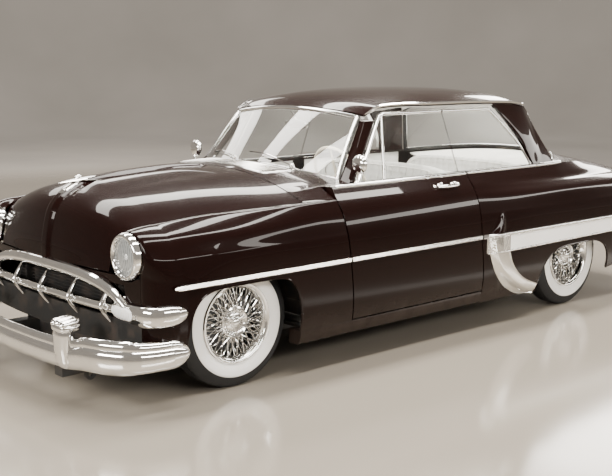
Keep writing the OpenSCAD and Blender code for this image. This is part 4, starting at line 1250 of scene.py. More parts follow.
@dataclass
class Cowl:
    """Scuttle under the windshield, with its air vent and the wipers."""

    wall: float = 0.02
    foot_y: float = 0.722
    corner_x: float = F - 0.64
    front_x: float = F - 0.423

    def back(self, v: float) -> Array:
        """Back edge, along the glass and out to the fender."""
        a, side = abs(v), math.copysign(1, v)
        seam_point = BODY.fender_section(self.corner_x, np.array([0.0]))[0]
        if a <= 0.7:
            return BODY.wind_base(v / 0.7) + [SEAM, 0, 0]
        if a <= 0.8:
            k = (a - 0.7) / 0.1
            return np.array([F - 0.8516, side * lerp(0.64, self.foot_y, k), lerp(1.022, 1.0, k)])
        if a <= 0.9:
            return np.array([lerp(F - 0.8516, self.corner_x, (a - 0.8) / 0.1), side * self.foot_y, 1.0])
        k = (a - 0.9) / 0.1
        return np.array([self.corner_x, side * lerp(self.foot_y, seam_point[0] - 2 * SEAM, k),
                         lerp(BELT, seam_point[1], k)])

    def front(self, v: float) -> Array:
        """Front edge, under the hood's."""
        a = abs(v)
        seam_y = BODY.fender_section(self.front_x, np.array([0.0]))[0][0] - 2 * SEAM
        y = self.foot_y * a / 0.9 if a <= 0.9 else lerp(self.foot_y, seam_y, (a - 0.9) / 0.1)
        return np.array([self.front_x, math.copysign(y, v), BODY.hood_point(0, y / 0.832)[2]])

    def point(self, v: float, t: float) -> Array:
        """Point of the top: v across, t forward."""
        p = lerp(self.back(v), self.front(v), t)
        if abs(v) < 0.99:
            return p + [0, 0, 0.006 * math.sin(math.pi * t) * (1 - abs(v) ** 4)]
        e = BODY.fender_section(p[0], np.array([0.0]))[0]
        return np.array([p[0], math.copysign(e[0] - 2 * SEAM, v), e[1]])

    def build(self) -> None:
        """Makes the cowl, its vent and the wipers."""
        across = np.concatenate([span(44, -1.0, -0.7)[:-1], span(60, -0.7, 0.7), span(44, 0.7, 1.0)[1:]])
        sheet = np.array([[self.point(float(v), float(t)) for v in across] for t in span(16)])
        Shape().wall(sheet, sheet - [0, 0, self.wall]).piece("cowl_top", Coat.BODY, replaces=["cowl"],
                                                             bevel=0.0015)
        self.vent()
        self.wipers()

    def vent(self) -> None:
        """Slotted air inlet across the cowl."""
        slats = Shape()
        for t in np.linspace(0.3, 0.74, 7):
            v = span(40, -0.46, 0.46)
            path = np.array([self.point(float(a), float(t)) for a in v]) + [0, 0, 0.0015]
            slats.trim(path, half_round(0.0085, 0.005, 5), (0, 0, 1))
        slats.piece("cowl_vent_slats", Coat.SATIN)
        rim = [(float(v), 0.24) for v in span(30, -0.5, 0.5)] + [(0.51, float(t)) for t in span(5, 0.3, 0.76)]
        rim += [(float(v), 0.8) for v in span(30, 0.5,
                                              -0.5)] + [(-0.51, float(t)) for t in span(5, 0.76, 0.3)]
        path = np.array([self.point(v, t) for v, t in rim])
        Shape().trim(path, half_round(0.011, 0.005, 6), (0, 0, 1),
                     loop=True).piece("cowl_vent_frame", Coat.CHROME)

    def wipers(self) -> None:
        """Two chrome wipers, parked along the glass."""
        arms, rubbers = Shape(), Shape()
        for root_u, tip_u in ((0.62, 0.04), (-0.1, -0.66)):
            path = []
            for t in span(16):
                u = lerp(root_u, tip_u, t)
                low, high = BODY.wind_base(u), BODY.wind_head(u)
                s = 0.035 + 0.1 * math.sin(t * 1.9) ** 1.2
                p = lerp(low, high, s)
                path.append(p + [0.01 + 0.012 * (1 - t), 0, 0.008])
            path = np.array(path)
            arms.tube(path[:12], 0.0038, 8)
            arms.lathe([(0.001, 0.014), (0.012, 0.012), (0.016, 0.0), (0.018, -0.02)],
                       path[0] - [0, 0, 0.004], (0.35, 0, 1), 20)
            arms.tube(path[5:] + [0, 0, 0.003], 0.003, 8)
            rubbers.tube(path[5:] - [0.006, 0, 0.001], 0.0035, 6)
        arms.piece("wiper_arms", Coat.CHROME)
        rubbers.piece("wiper_rubbers", Coat.SEAL)


@dataclass
class Roof:
    """Roof panel, headliner, drip rails and the pillars."""

    wall: float = 0.012
    liner: float = 0.014

    def sheet(self, rows: int = 90, cols: int = 64) -> Array:
        """The outer surface."""
        t = cluster(rows, 0, 1)[:, None]
        v = np.sin(span(cols, -90, 90) * math.pi / 180)[None, :]
        return BODY.roof_point(t, v) - [0, 0, 0.0004]

    def build(self) -> None:
        """Makes the roof and pillars."""
        sheet = self.sheet()
        Shape().wall(sheet, sheet - [0, 0, self.wall]).piece("roof_panel", Coat.ROOF, replaces=["roof"],
                                                             bevel=0.003)
        low = self.sheet(60, 40) - [0, 0, self.wall + 0.001]
        bow = 0.006 * np.abs(np.sin(span(60) * math.pi * 5))[:, None] * np.ones(41)[None, :]
        low = low * [1, 0.985, 1] + bow[..., None] * [0, 0, 0.4]
        Shape().wall(low, low - [0, 0, self.liner]
                     + bow[..., None] * [0, 0, 0.8]).piece("headliner", Coat.LINER)
        self.rails()
        self.front_pillars()
        self.rear_pillars()

    def rails(self) -> None:
        """Chrome drip rails along the roof's sides."""
        x = span(70, R + 0.3, F - 1.106)
        e = BODY.roof_edge(x)
        path = stacked(x, e[:, 0] + 0.003, e[:, 1] + 0.003)
        drip = Shape().trim(path, [(0, -0.007), (0.012, -0.008), (0.014, 0.002), (0.01, 0.008),
                                   (0.007, -0.001), (0, 0.001)],
                            (0, 1, 0), np.interp(span(70), [0, 0.03, 0.97, 1], [0.3, 1, 1, 0.3]))
        drip.both().piece("drip_rails", Coat.CHROME)

    def front_pillars(self) -> None:
        """Slim pillars beside the windshield."""
        keys = Curve([(0.9, [-0.8524, -0.898, 0.652, 0.722]), (1.0, [-0.8524, -0.905, 0.652, 0.722]),
                      (1.33, [-1.09, -1.183, 0.57, 0.604]), (1.336, [-1.094, -1.187, 0.568, 0.602])])
        rings = []
        for z in np.concatenate([span(3, 0.9, 1.0)[:-1], span(16, 1.0, 1.336)]):
            front, back, low, high = np.array([
                np.interp(z, keys.place, keys.value[:, k]) for k in range(4)])
            corners = [(front, low), (lerp(front, back, 0.12), lerp(low, high, 0.9)),
                       (lerp(front, back, 0.3), high), (back, high), (back, low)]
            rings.append([[F + a, b, z] for a, b in corners])
        part = Shape().bar(np.array(rings))
        part.both().piece("front_pillars", Coat.ROOF, bevel=0.002)

    def rear_pillars(self) -> None:
        """Broad rear pillars that run from the deck into the roof."""
        s = span(40)[:, None]
        t = span(24)[None, :]
        front = Curve([(0, R + 0.344), (0.4, R + 0.425), (1, R + 0.6485)])(s)
        x = lerp(lerp(R + 0.101, R + 0.25475, s), front, t)
        e = BODY.roof_edge(x)
        draw = Curve([(R + 0.1, 0.014), (R + 0.4, 0)])(x)
        foot = 0.737 - draw
        y = lerp(foot, e[..., 0] - 0.001,
                 s) + 0.01 * np.sin(math.pi * s) * np.sin(math.pi * np.clip(t, 0, 1)) ** 0.5
        z = lerp(1.0014, e[..., 1] - 0.004, s)
        sheet = stacked(x, y, z)
        inner = sheet - [0, 0.028, 0] - np.where(s[..., None] > 0.92, [0, 0, 0.01], [0, 0, 0])
        part = Shape().wall(sheet, inner)
        part.both().piece("rear_pillars", Coat.ROOF, replaces=["roof_pillars"], bevel=0.003)


@dataclass
class Quarters:
    """Rear quarters with the raised, creased fender and a lipped wheel opening."""

    wall: float = 0.014
    cols: int = 120
    lip: float = 0.0055

    def row(self, x: float, s: Array) -> Array:
        """Section at x, slanted to follow the door's edge at its front."""
        front = BODY.rear_gap(0.917) - GAP / 2
        p = BODY.quarter_section(x, s)
        fade = np.clip((x - R - 0.76) / (front - R - 0.76), 0, 1) ** 2
        skew = (BODY.rear_gap(np.clip(p[:, 1], 0.182, 0.917)) - BODY.rear_gap(0.917)) * fade
        return stacked(x + skew, p[:, 0], p[:, 1])

    def tail_row(self, a: float, s: Array) -> Array:
        """Section of the tail at an angle of its roll backward."""
        start = R - 1.0
        p, q, k = BODY.quarter_section(start, s), BODY.tail_keys(s), 1 - math.cos(a)
        return stacked(lerp(start, BODY.tail_x, math.sin(a)), lerp(p[:, 0], q[:, 0], k),
                       lerp(p[:, 1], q[:, 1], k))

    def sheet(self) -> Array:
        """The outer surface of the left quarter."""
        s = span(self.cols)
        front = float(BODY.rear_gap(0.917) - GAP / 2)
        rows = [self.tail_row(float(a), s) for a in span(24, math.pi / 2, 0)[:-1]]
        places = np.concatenate([
            span(36, R - 1.0, R - 0.3)[:-1], R - 0.3 * np.cos(span(26, 0, math.pi / 2))[:-1],
            R + 0.52 * np.sin(span(44, 0, math.pi / 2)), span(60, R + 0.52, front)[1:]])
        rows += [self.row(float(x), s) for x in places]
        return np.array(rows)

    def build(self) -> None:
        """Makes both quarters."""
        sheet = self.sheet()
        square = 1 - ease((span(self.cols) - 0.004) / 0.03)
        shell = Shape().wall(sheet, eased_wall(sheet, self.wall, square, (0, 0, -1)))
        shell.pair("rear_quarter_{}", "quarter_{}")
        edge = sheet[24 + 36 - 1:24 + 36 + 26 + 45, -1]
        lips = Shape().trim(edge - [0, 0.004, 0], round_section(self.lip), (0, 1, 0))
        lips.both().piece("quarter_lips", Coat.BODY)


def quarter_inner(x: Number) -> Array:
    """Inner edge of the quarter, where the deck and the lid meet it."""
    keys = BODY.quarter(x)
    return stacked(x, keys[..., 0, 0], keys[..., 0, 1])


@dataclass
class Tail:
    """Rear deck, trunk lid and tail panel."""

    wall: float = 0.014

    def deck(self) -> Array:
        """Surface between the rear window and the lid."""
        end = R - 0.439
        t = span(24, 1, 0)[:, None]
        v = np.sin(span(72, -90, 90) * math.pi / 180)[None, :]
        e = quarter_inner(lerp(R + 0.081, end, t))
        c = stacked(lerp(R - 0.349, end, t), 0, lerp(1.0456, 1.004, t))
        a = np.abs(v)
        return stacked(lerp(c[..., 0], e[..., 0], a ** 3) - (1 - t) * SEAM, (e[..., 1] - 2 * SEAM) * v,
                       lerp(c[..., 2], e[..., 2], a ** 2.2))

    @staticmethod
    def lid_edge(u: Array) -> Array:
        """Edge of the lid, along the quarters and then round its lower corners."""
        upper = quarter_inner(BODY.lid_crown(np.minimum(u, 0.75))[..., 0]) - [0, LID_GAP, 0]
        k = np.clip((u - 0.75) / 0.25, 0, 1)
        turn = k * math.pi / 2
        lower = stacked(lerp(upper[..., 0], BODY.tail_x - 0.002, np.sin(turn)), lerp(upper[..., 1], 0.56, k),
                        lerp(upper[..., 2], 0.508, 1 - np.cos(turn)))
        return np.where((u <= 0.75)[..., None], upper, lower)

    def lid_point(self, u: Number, v: Number) -> Array:
        """Point of the lid: u from its front to its lower edge, v across."""
        u, v = np.broadcast_arrays(u, v)
        c, e, a = BODY.lid_crown(u), self.lid_edge(u), np.abs(v)
        return stacked(lerp(c[..., 0], e[..., 0], a ** 2), e[..., 1] * v,
                       lerp(c[..., 2], e[..., 2], a ** 2.4))

    def build(self) -> None:
        """Makes the panels."""
        deck = self.deck()
        Shape().wall(deck, deck - [0, 0, self.wall]).piece("deck_panel", Coat.BODY, replaces=["rear_deck"],
                                                           bevel=PANEL_EDGE)
        u = np.concatenate([span(50, 1.0, 0.6)[:-1], span(40, 0.6, 0.0)])[:, None]
        lid = self.lid_point(u, span(72, -1, 1)[None, :])
        spine = 0.006 * ease((0.03 - np.abs(lid[..., 1])) / 0.02) * ease((u - 0.02) / 0.1)
        lid = lid - inward_normals(lid) * spine[..., None]
        Shape().wall(lid, inward(lid, self.wall)).piece("lid_panel", Coat.BODY, "trunk_body", ["trunk_lid"],
                                                        bevel=PANEL_EDGE)
        self.lid_ribs()
        self.panel()

    def lid_ribs(self) -> None:
        """Stamped frame under the lid."""
        frame = Shape()
        rib = slab(-0.006, 0.03, 0.01, 0.02)
        for v in (-0.62, 0.0, 0.62):
            path = self.lid_point(span(40, 0.05, 0.92), v) - [0, 0, 0.024]
            frame.trim(path, rib, (0.3, 0, -1))
        for u0 in (0.06, 0.5):
            path = self.lid_point(u0, span(30, -0.8, 0.8)) - [0, 0, 0.024]
            frame.trim(path, rib, (0, 0, -1))
        frame.piece("lid_ribs", Coat.UNDER, "trunk_body")

    def panel(self) -> None:
        """Tail panel under and beside the lid."""
        s = span(60)
        rim = BODY.tail_keys(s) - 0.0005
        lid_y, lid_z, floor_z = 0.572, 0.499, 0.452
        part = Shape()
        keep = rim[:, 1] >= lid_z
        outer = rim[keep]
        inner = stacked(np.full(len(outer), lid_y), np.clip(outer[:, 1], lid_z, 0.83))
        thick = 0.014
        rows_a = np.stack([stacked(BODY.tail_x, outer[:, 0], outer[:, 1]),
                           stacked(BODY.tail_x, inner[:, 0], inner[:, 1])], 0)
        cheek = Shape().wall(rows_a, rows_a + [thick, 0, 0])
        part.merge(cheek).merge(cheek.mirrored())
        edge = np.interp(span(8, floor_z, lid_z), rim[::-1, 1], rim[::-1, 0])
        band = np.array([[[BODY.tail_x, y * w, z] for w in span(40, -1, 1)] for y,
                         z in zip(edge, span(8, floor_z, lid_z))])
        part.merge(Shape().wall(band, band + [thick, 0, 0]))
        part.piece("tail_skin", Coat.BODY, replaces=["tail_panel"], bevel=0.001)


@dataclass
class Nose:
    """Panel across the front, with the oval mouth cut out of it."""

    wall: float = 0.016
    mouth_y: float = 0.69
    mouth_z: tuple[float, float] = (0.44, 0.612)

    def top(self, y: Array) -> Array:
        """Upper edge, dipping under the lamps."""
        a = np.abs(y) - BODY.lamp_y
        ring = BODY.lamp_z - np.sqrt(np.clip((BODY.lamp_ring + 0.003) ** 2 - a * a, 0, None))
        return np.where(np.abs(y) < BODY.lamp_y - 0.108, 0.654, np.minimum(0.654, ring))

    def build(self) -> None:
        """Makes the panel in three strips round the mouth, and the dark valance below it."""
        low, high = self.mouth_z
        y = np.unique(np.concatenate([span(96, -0.8045, 0.8045), [-self.mouth_y, self.mouth_y]]))
        part = Shape()
        top = self.top(y)
        strips = [(y, np.full_like(y, high), top)]
        for side in (y <= -self.mouth_y, y >= self.mouth_y):
            strips.append((y[side], np.full(side.sum(), low), np.full(side.sum(), high)))
        for yy, z0, z1 in strips:
            rows = np.array([stacked(BODY.nose_x(yy), yy, lerp(z1, z0, t)) for t in span(10)])
            part.merge(Shape().wall(rows, rows - [self.wall, 0, 0]))
        part.piece("nose_skin", Coat.BODY, replaces=["nose_panel"])
        rows = np.array([stacked(BODY.nose_x(y) - 0.001, y, lerp(low, 0.3, t)) for t in span(10)])
        Shape().wall(rows, rows - [self.wall, 0, 0]).piece("nose_valance", Coat.UNDER)


@dataclass
class Rockers:
    """Sills under the doors."""

    start: float = R + 1.0674
    end: float = F - 0.3454

    def build(self) -> None:
        """Makes both sills."""
        x = span(60, self.start, self.end)
        section = [(0.8, 0.182), (0.868, 0.182), (0.884, 0.192), (0.893, 0.215), (0.899, 0.245), (0.9, 0.26),
                   (0.8, 0.26)]
        part = Shape().bar(np.array([[[a, y, z] for y, z in section] for a in x]))
        for side, way in SIDES:
            shape = part if way > 0 else part.mirrored()
            shape.piece(f"rocker_{side}", Coat.BODY, replaces=["rockers"] if way > 0 else (), bevel=0.002)


# ---------------------------------------------------------------- glass and doors
@dataclass
class FixedGlass:
    """Windshield, rear window and quarter glass, with their bright mouldings."""

    wall: float = 0.005

    @staticmethod
    def between(low: Array, high: Array, rows: int, bulge: Array) -> Array:
        """Sheet from a lower to an upper edge, bulged forward."""
        s = span(rows)[:, None, None]
        sheet = lerp(low[None], high[None], s)
        sheet[..., 0] += bulge[None, :] * (s * (1 - s))[..., 0]
        return sheet

    def windshield(self) -> Array:
        """The windshield's outer surface."""
        u = span(56, 1, -1)
        return self.between(BODY.wind_base(u) - [0, 0, 0.012], BODY.wind_head(u), 24, np.full(len(u), 0.04))

    def rear_window(self) -> Array:
        """The rear window's outer surface."""
        u = span(64, -1, 1)
        return self.between(BODY.rear_base(u), BODY.rear_head(u), 28, -0.026 * (1 - u ** 2))

    def quarter(self) -> Array:
        """The left quarter glass."""
        z = span(24, BELT + SEAM, GLASS_TOP)[:, None]
        x = lerp(BODY.glass_back(z), GLASS_SPLIT - GAP, span(20)[None, :])
        return stacked(x, BODY.glass_y(x, z), z)

    def build(self) -> None:
        """Makes the glass and mouldings."""
        wind, rear, side = self.windshield(), self.rear_window(), self.quarter()
        glass = Shape().wall(wind, inward(wind, self.wall)).wall(rear, inward(rear, self.wall))
        panes = Shape().wall(side, side - [0, self.wall, 0])
        glass.merge(panes.both()).piece("fixed_windows", Coat.GLASS, replaces=["fixed_glass"])
        self.surround("windshield", wind, 0.026, 0.013)
        self.surround("rear_window", rear, 0.024, 0.012)
        seal = Shape()
        for sheet in (wind, rear):
            loop = self.edge(sheet)
            seal.trim(loop, slab(-0.008, 0.013, 0.004, 0.013), self.edge(-inward_normals(sheet)), loop=True)
        seal.piece("window_rubbers", Coat.SEAL)

    @staticmethod
    def edge(sheet: Array) -> Array:
        """Points round a sheet's rim."""
        return np.concatenate([sheet[0, :-1], sheet[:-1, -1], sheet[-1, :0:-1], sheet[:0:-1, 0]])

    def surround(self, name: str, sheet: Array, width: float, depth: float) -> None:
        """Bright moulding round a window."""
        out = self.edge(-inward_normals(sheet))
        loop = self.edge(sheet)
        middle = loop.mean(0)
        loop = lerp(middle, loop, 1 - 0.006 / 0.7)
        Shape().trim(loop, half_round(width, depth, 8), out, loop=True).piece(f"{name}_moulding", Coat.CHROME)


@dataclass
class Doors:
    """Doors with their cards, glass, vent windows, handles, side strips and mirrors."""

    wall: float = 0.06
    low: float = 0.268
    taper: float = 0.016
    pull_x: float = F - 1.556
    pull_z: float = 0.945

    def face(self, rows: Array, cols: Array, drop: float, rear: float = 0.0) -> Array:
        """Surface over the door's opening, set in by drop."""
        z = lerp(self.low, BELT, rows)[:, None]
        x = lerp(BODY.rear_gap(z) + GAP / 2 + rear, BODY.front_gap(z) - GAP / 2, cols[None, :])
        return stacked(x, BODY.side_y(x, z) - drop, z)

    def build(self) -> None:
        """Makes the left parts and mirrors them for the right."""
        rows, cols = span(60), span(70)
        shell = Shape().wall(self.face(rows, cols, 0), self.face(rows, cols, self.wall, self.taper))
        card_rows, card_cols = span(48, 0.1, 0.965), span(60, 0.045, 0.955)
        card = self.face(card_rows, card_cols, self.wall - 0.002)
        up = card_rows[:, None]
        puff = 0.004 * np.abs(np.sin(card_cols * math.pi * 9))[None, :]
        puff = puff * ease((0.55 - up) / 0.08) * ease((up - 0.22) / 0.05)
        trim = Shape().wall(card, card - [0, 0.0035, 0] - puff[..., None] * [0, 1, 0])
        parts = {
            "shell": (shell, Coat.BODY, 0.0012, ["door_{}"]),
            "card": (trim, Coat.BOLSTER, 0.0015, []),
            "glass": (self.glass(), Coat.GLASS, 0, ["door_glass_{}"]),
            "window_rail": (self.window_rail(), Coat.CHROME, 0, []),
            "window_rubber": (self.window_rubber(), Coat.SEAL, 0, []),
            "belt_strip": (self.belt(), Coat.CHROME, 0, []),
            "handle": (self.handle(), Coat.CHROME, 0, []),
            "lock": (self.lock(), Coat.CHROME, 0, []),
            "side_strip": (self.strip(), Coat.SATIN, 0, []),
            "mirror_case": (self.mirror(), Coat.CHROME, 0, ["door_mirror_{}"]),
            "mirror_glass": (self.mirror_glass(), Coat.MIRROR, 0, []),
            "card_trim": (self.card_trim(), Coat.CHROME, 0, []),
            "armrest": (self.armrest(), Coat.BOLSTER, 0.004, []),
        }
        for side, way in SIDES:
            for name, (shape, coat, bevel, nodes) in parts.items():
                shape = shape if way > 0 else shape.mirrored()
                shape.piece(f"door_{side}_{name}", coat, f"door_{side}_body", [n.format(side) for n in nodes],
                            bevel=bevel)

    def glass(self) -> Shape:
        """The wound window and the vent pane, one sheet."""
        z = span(20, BELT + SEAM, GLASS_TOP)[:, None]
        x = lerp(GLASS_SPLIT, BODY.glass_front(z), span(30)[None, :])
        sheet = stacked(x, BODY.glass_y(x, z), z)
        return Shape().wall(sheet, sheet - [0, 0.005, 0])

    def edge_path(self) -> Array:
        """Up the front edge of the glass, and back along its top."""
        z = span(16, BELT + 0.004, GLASS_TOP - 0.018)
        up = stacked(BODY.glass_front(z) - 0.004, 0, z)
        corner = [[BODY.glass_front(GLASS_TOP) - 0.01 - 0.018 * math.sin(a), 0, GLASS_TOP - 0.004
                   - 0.012 * (1 - math.sin(a))]
                  for a in span(4, 0.2, math.pi / 2)]
        x = span(30, BODY.glass_front(GLASS_TOP) - 0.04, GLASS_SPLIT + 0.004)
        top = stacked(x, 0, GLASS_TOP - 0.004)
        path = np.concatenate([up, np.array(corner), top])
        path[:, 1] = BODY.glass_y(path[:, 0], path[:, 2]) - 0.001
        return path

    def window_rail(self) -> Shape:
        """Bright frame along the glass and the vent window's bar."""
        rail = Shape().trim(self.edge_path(), half_round(0.024, 0.01, 6), (0, 1, 0.4))
        z = span(12, BELT + 0.004, GLASS_TOP - 0.01)
        x = lerp(F - 1.115, F - 1.239, (z - BELT) / GLASS_TALL) - 0.012
        bar = stacked(x, BODY.glass_y(x, z), z)
        rail.trim(bar, half_round(0.018, 0.008, 6), (0, 1, 0.4))
        rail.trim(bar - [0, 0.005, 0], half_round(0.018, 0.006, 6), (0, -1, -0.4))
        return rail

    def window_rubber(self) -> Shape:
        """Rubber behind the rail, and the wiping strip at the belt."""
        rubber = Shape().trim(self.edge_path() - [0, 0.003, 0],
                              [(-0.006, -0.01), (0.003, -0.01), (0.003, 0.009), (-0.006, 0.009)], (0, 1, 0.4))
        x = span(40, GLASS_SPLIT + 0.002, F - 0.925)
        path = stacked(x, BODY.glass_y(x, BELT) + 0.006, BELT + 0.002)
        return rubber.tube(path, 0.0045, 6)

    def belt(self) -> Shape:
        """Bright strip along the top of the door."""
        x = span(70, BODY.rear_gap(BELT) + 0.006, BODY.front_gap(BELT) - 0.03)
        path = stacked(x, BODY.side_y(x, 0.999) - 0.002, BELT - 0.002)
        s = np.interp(span(70), [0, 0.012, 0.985, 1], [0.75, 1, 1, 0.5])
        return Shape().trim(path, half_round(0.024, 0.011, 8), (0, 1, 0.9), s)

    def strip(self) -> Shape:
        """The door's length of the side strip."""
        z = STRIP_Z
        x = span(70, float(BODY.rear_gap(z)) + GAP / 2 + 0.001, float(BODY.front_gap(z)) - GAP / 2 - 0.001)
        return SideStrip().run(x)

    def handle(self) -> Shape:
        """Curved pull on two feet."""
        x, z = self.pull_x, self.pull_z
        part = Shape()
        foot_out = BODY.side_out(np.array(x), np.array(z))
        for dx in (-0.062, 0.058):
            base = BODY.side_point(np.array(x + dx), np.array(z), -0.002)
            part.lathe([(0.001, 0), (0.017, 0), (0.016, 0.006), (0.01, 0.012), (0.0085, 0.026),
                        (0.001, 0.03)], base, foot_out, 24)
        t = span(24, -1, 1)
        path = np.array([BODY.side_point(np.array(x - 0.002 + 0.092 * a), np.array(z),
                                         0.0285 - 0.006 * a * a) for a in t])
        part.trim(path, round_section(0.0105, 12, 0.62), foot_out,
                  np.interp(t, [-1, -0.9, 0, 0.8, 1], [0.35, 0.85, 1, 0.8, 0.35]))
        return part

    def lock(self) -> Shape:
        """Push button and key plate beside the handle."""
        part = Shape()
        for dx, r in ((0.112, 0.01), (-0.1, 0.008)):
            base = BODY.side_point(np.array(self.pull_x - dx), np.array(self.pull_z), -0.001)
            part.lathe([(0.001, 0), (r + 0.003, 0), (r + 0.003, 0.003), (r, 0.005), (r - 0.002, 0.008),
                        (0.001, 0.009)],
                       base, BODY.side_out(np.array(self.pull_x), np.array(self.pull_z)), 24)
        return part

    @staticmethod
    def mirror_base() -> Array:
        """Where the mirror stands."""
        return np.array([F - 0.88, 0.774, BELT + SEAM])

    def mirror(self) -> Shape:
        """Round mirror's foot, curved stalk and case."""
        base = self.mirror_base()
        part = Shape().lathe([(0.001, 0), (0.022, 0), (0.021, 0.005), (0.013, 0.012), (0.009, 0.018),
                              (0.001, 0.018)], base, (0, 0, 1), 28)
        path = np.array([base + [0.004 * math.sin(t * 3), 0.008 * t * t, 0.01 + 0.062 * t] for t in span(14)])
        part.tube(path, np.interp(span(14), [0, 0.4, 1], [0.0085, 0.0062, 0.0078]), 14)
        case = [(0.001, 0.027), (0.018, 0.0265), (0.034, 0.0235), (0.046, 0.017), (0.0535, 0.008),
                (0.055, 0.0), (0.0545, -0.0035), (0.05, -0.0035), (0.049, 0.002), (0.001, 0.002)]
        return part.lathe(case, base + [-0.013, 0.006, 0.108], (1, 0, 0), 48)

    def mirror_glass(self) -> Shape:
        """The mirror's own glass."""
        return Shape().lathe([(0.001, -0.001), (0.0485, -0.001), (0.0485, -0.0025), (0.03, -0.002),
                              (0.001, -0.0018)], self.mirror_base() + [-0.013, 0.006, 0.108], (1, 0, 0), 48)

    def inner_point(self, x: float, z: float, in_by: float) -> Array:
        """Point inside the door card."""
        return np.array([x, float(BODY.side_y(x, z)) - self.wall - in_by, z])

    def card_trim(self) -> Shape:
        """Bright strips, crank and lever on the card."""
        part = Shape()
        for z in (0.655, 0.43):
            x = span(50, float(BODY.rear_gap(z)) + 0.075, float(BODY.front_gap(z)) - 0.055)
            part.trim(np.array([self.inner_point(a, z, 0.005) for a in x]), half_round(0.01, 0.005, 6),
                      (0, -1, 0))
        for x, z, long in ((F - 1.26, 0.78, 0.085), (F - 0.92, 0.76, 0.1)):
            base = self.inner_point(x, z, 0.004)
            part.lathe([(0.001, 0), (0.022, 0), (0.02, 0.006), (0.01, 0.014), (0.001, 0.016)], base,
                       (0, -1, 0), 24)
            path = np.array([base + [-long * t, -0.012 - 0.01 * math.sin(math.pi * t), -0.02 * t]
                             for t in span(10)])
            part.tube(path, np.interp(span(10), [0, 0.7, 1], [0.007, 0.005, 0.008]), 10)
        return part

    def armrest(self) -> Shape:
        """Padded armrest."""
        rings = []
        for t in span(24):
            x = lerp(F - 1.42, F - 1.06, t)
            k = math.sin(math.pi * t) ** 0.35 if 0 < t < 1 else 0.25
            y = float(BODY.side_y(x, 0.66)) - self.wall - 0.004
            a = turns(14)
            rings.append(stacked(x, y - 0.022 * k * (1 + np.cos(a)), 0.69 + 0.02 * k * np.sin(a)))
        return Shape().bar(np.array(rings))


@dataclass
class SideStrip:
    """Ribbed bright strip along the side at the widest line."""

    z: float = STRIP_Z
    height: float = 0.028
    depth: float = 0.011

    def section(self) -> list[tuple[float, float]]:
        """Section with fine lengthwise ribs."""
        ribs = 4
        points = [(-0.001, -self.height / 2), (self.depth * 0.75, -self.height / 2 + 0.002)]
        for i in range(ribs * 2 + 1):
            height = lerp(-self.height / 2 + 0.004, self.height / 2 - 0.004, i / (ribs * 2))
            points.append((self.depth - (0.0025 if i % 2 == 0 else 0), height))
        return points + [(self.depth * 0.75, self.height / 2 - 0.002), (-0.001, self.height / 2)]

    def run(self, x: Array, size: Optional[Array] = None) -> Shape:
        """Strip through the stations in x."""
        z = np.full_like(x, self.z)
        return Shape().trim(BODY.side_point(x, z), self.section(), BODY.side_out(x, z), size)

    def build(self) -> None:
        """Makes the front fender's length with its rounded tip."""
        tip = F + 0.478
        start = float(BODY.front_gap(self.z)) + GAP / 2 + 0.001
        x = np.concatenate([span(60, start, tip - 0.05)[:-1],
                            tip - 0.05 + 0.05 * np.sin(span(10, 0, math.pi / 2))])
        size = np.where(x < tip - 0.05, 1.0, np.sqrt(np.clip(1 - ((x - tip + 0.05) / 0.0505) ** 2, 0.01, 1)))
        front = self.run(x, size)
        front.both().piece("front_side_strip", Coat.SATIN)


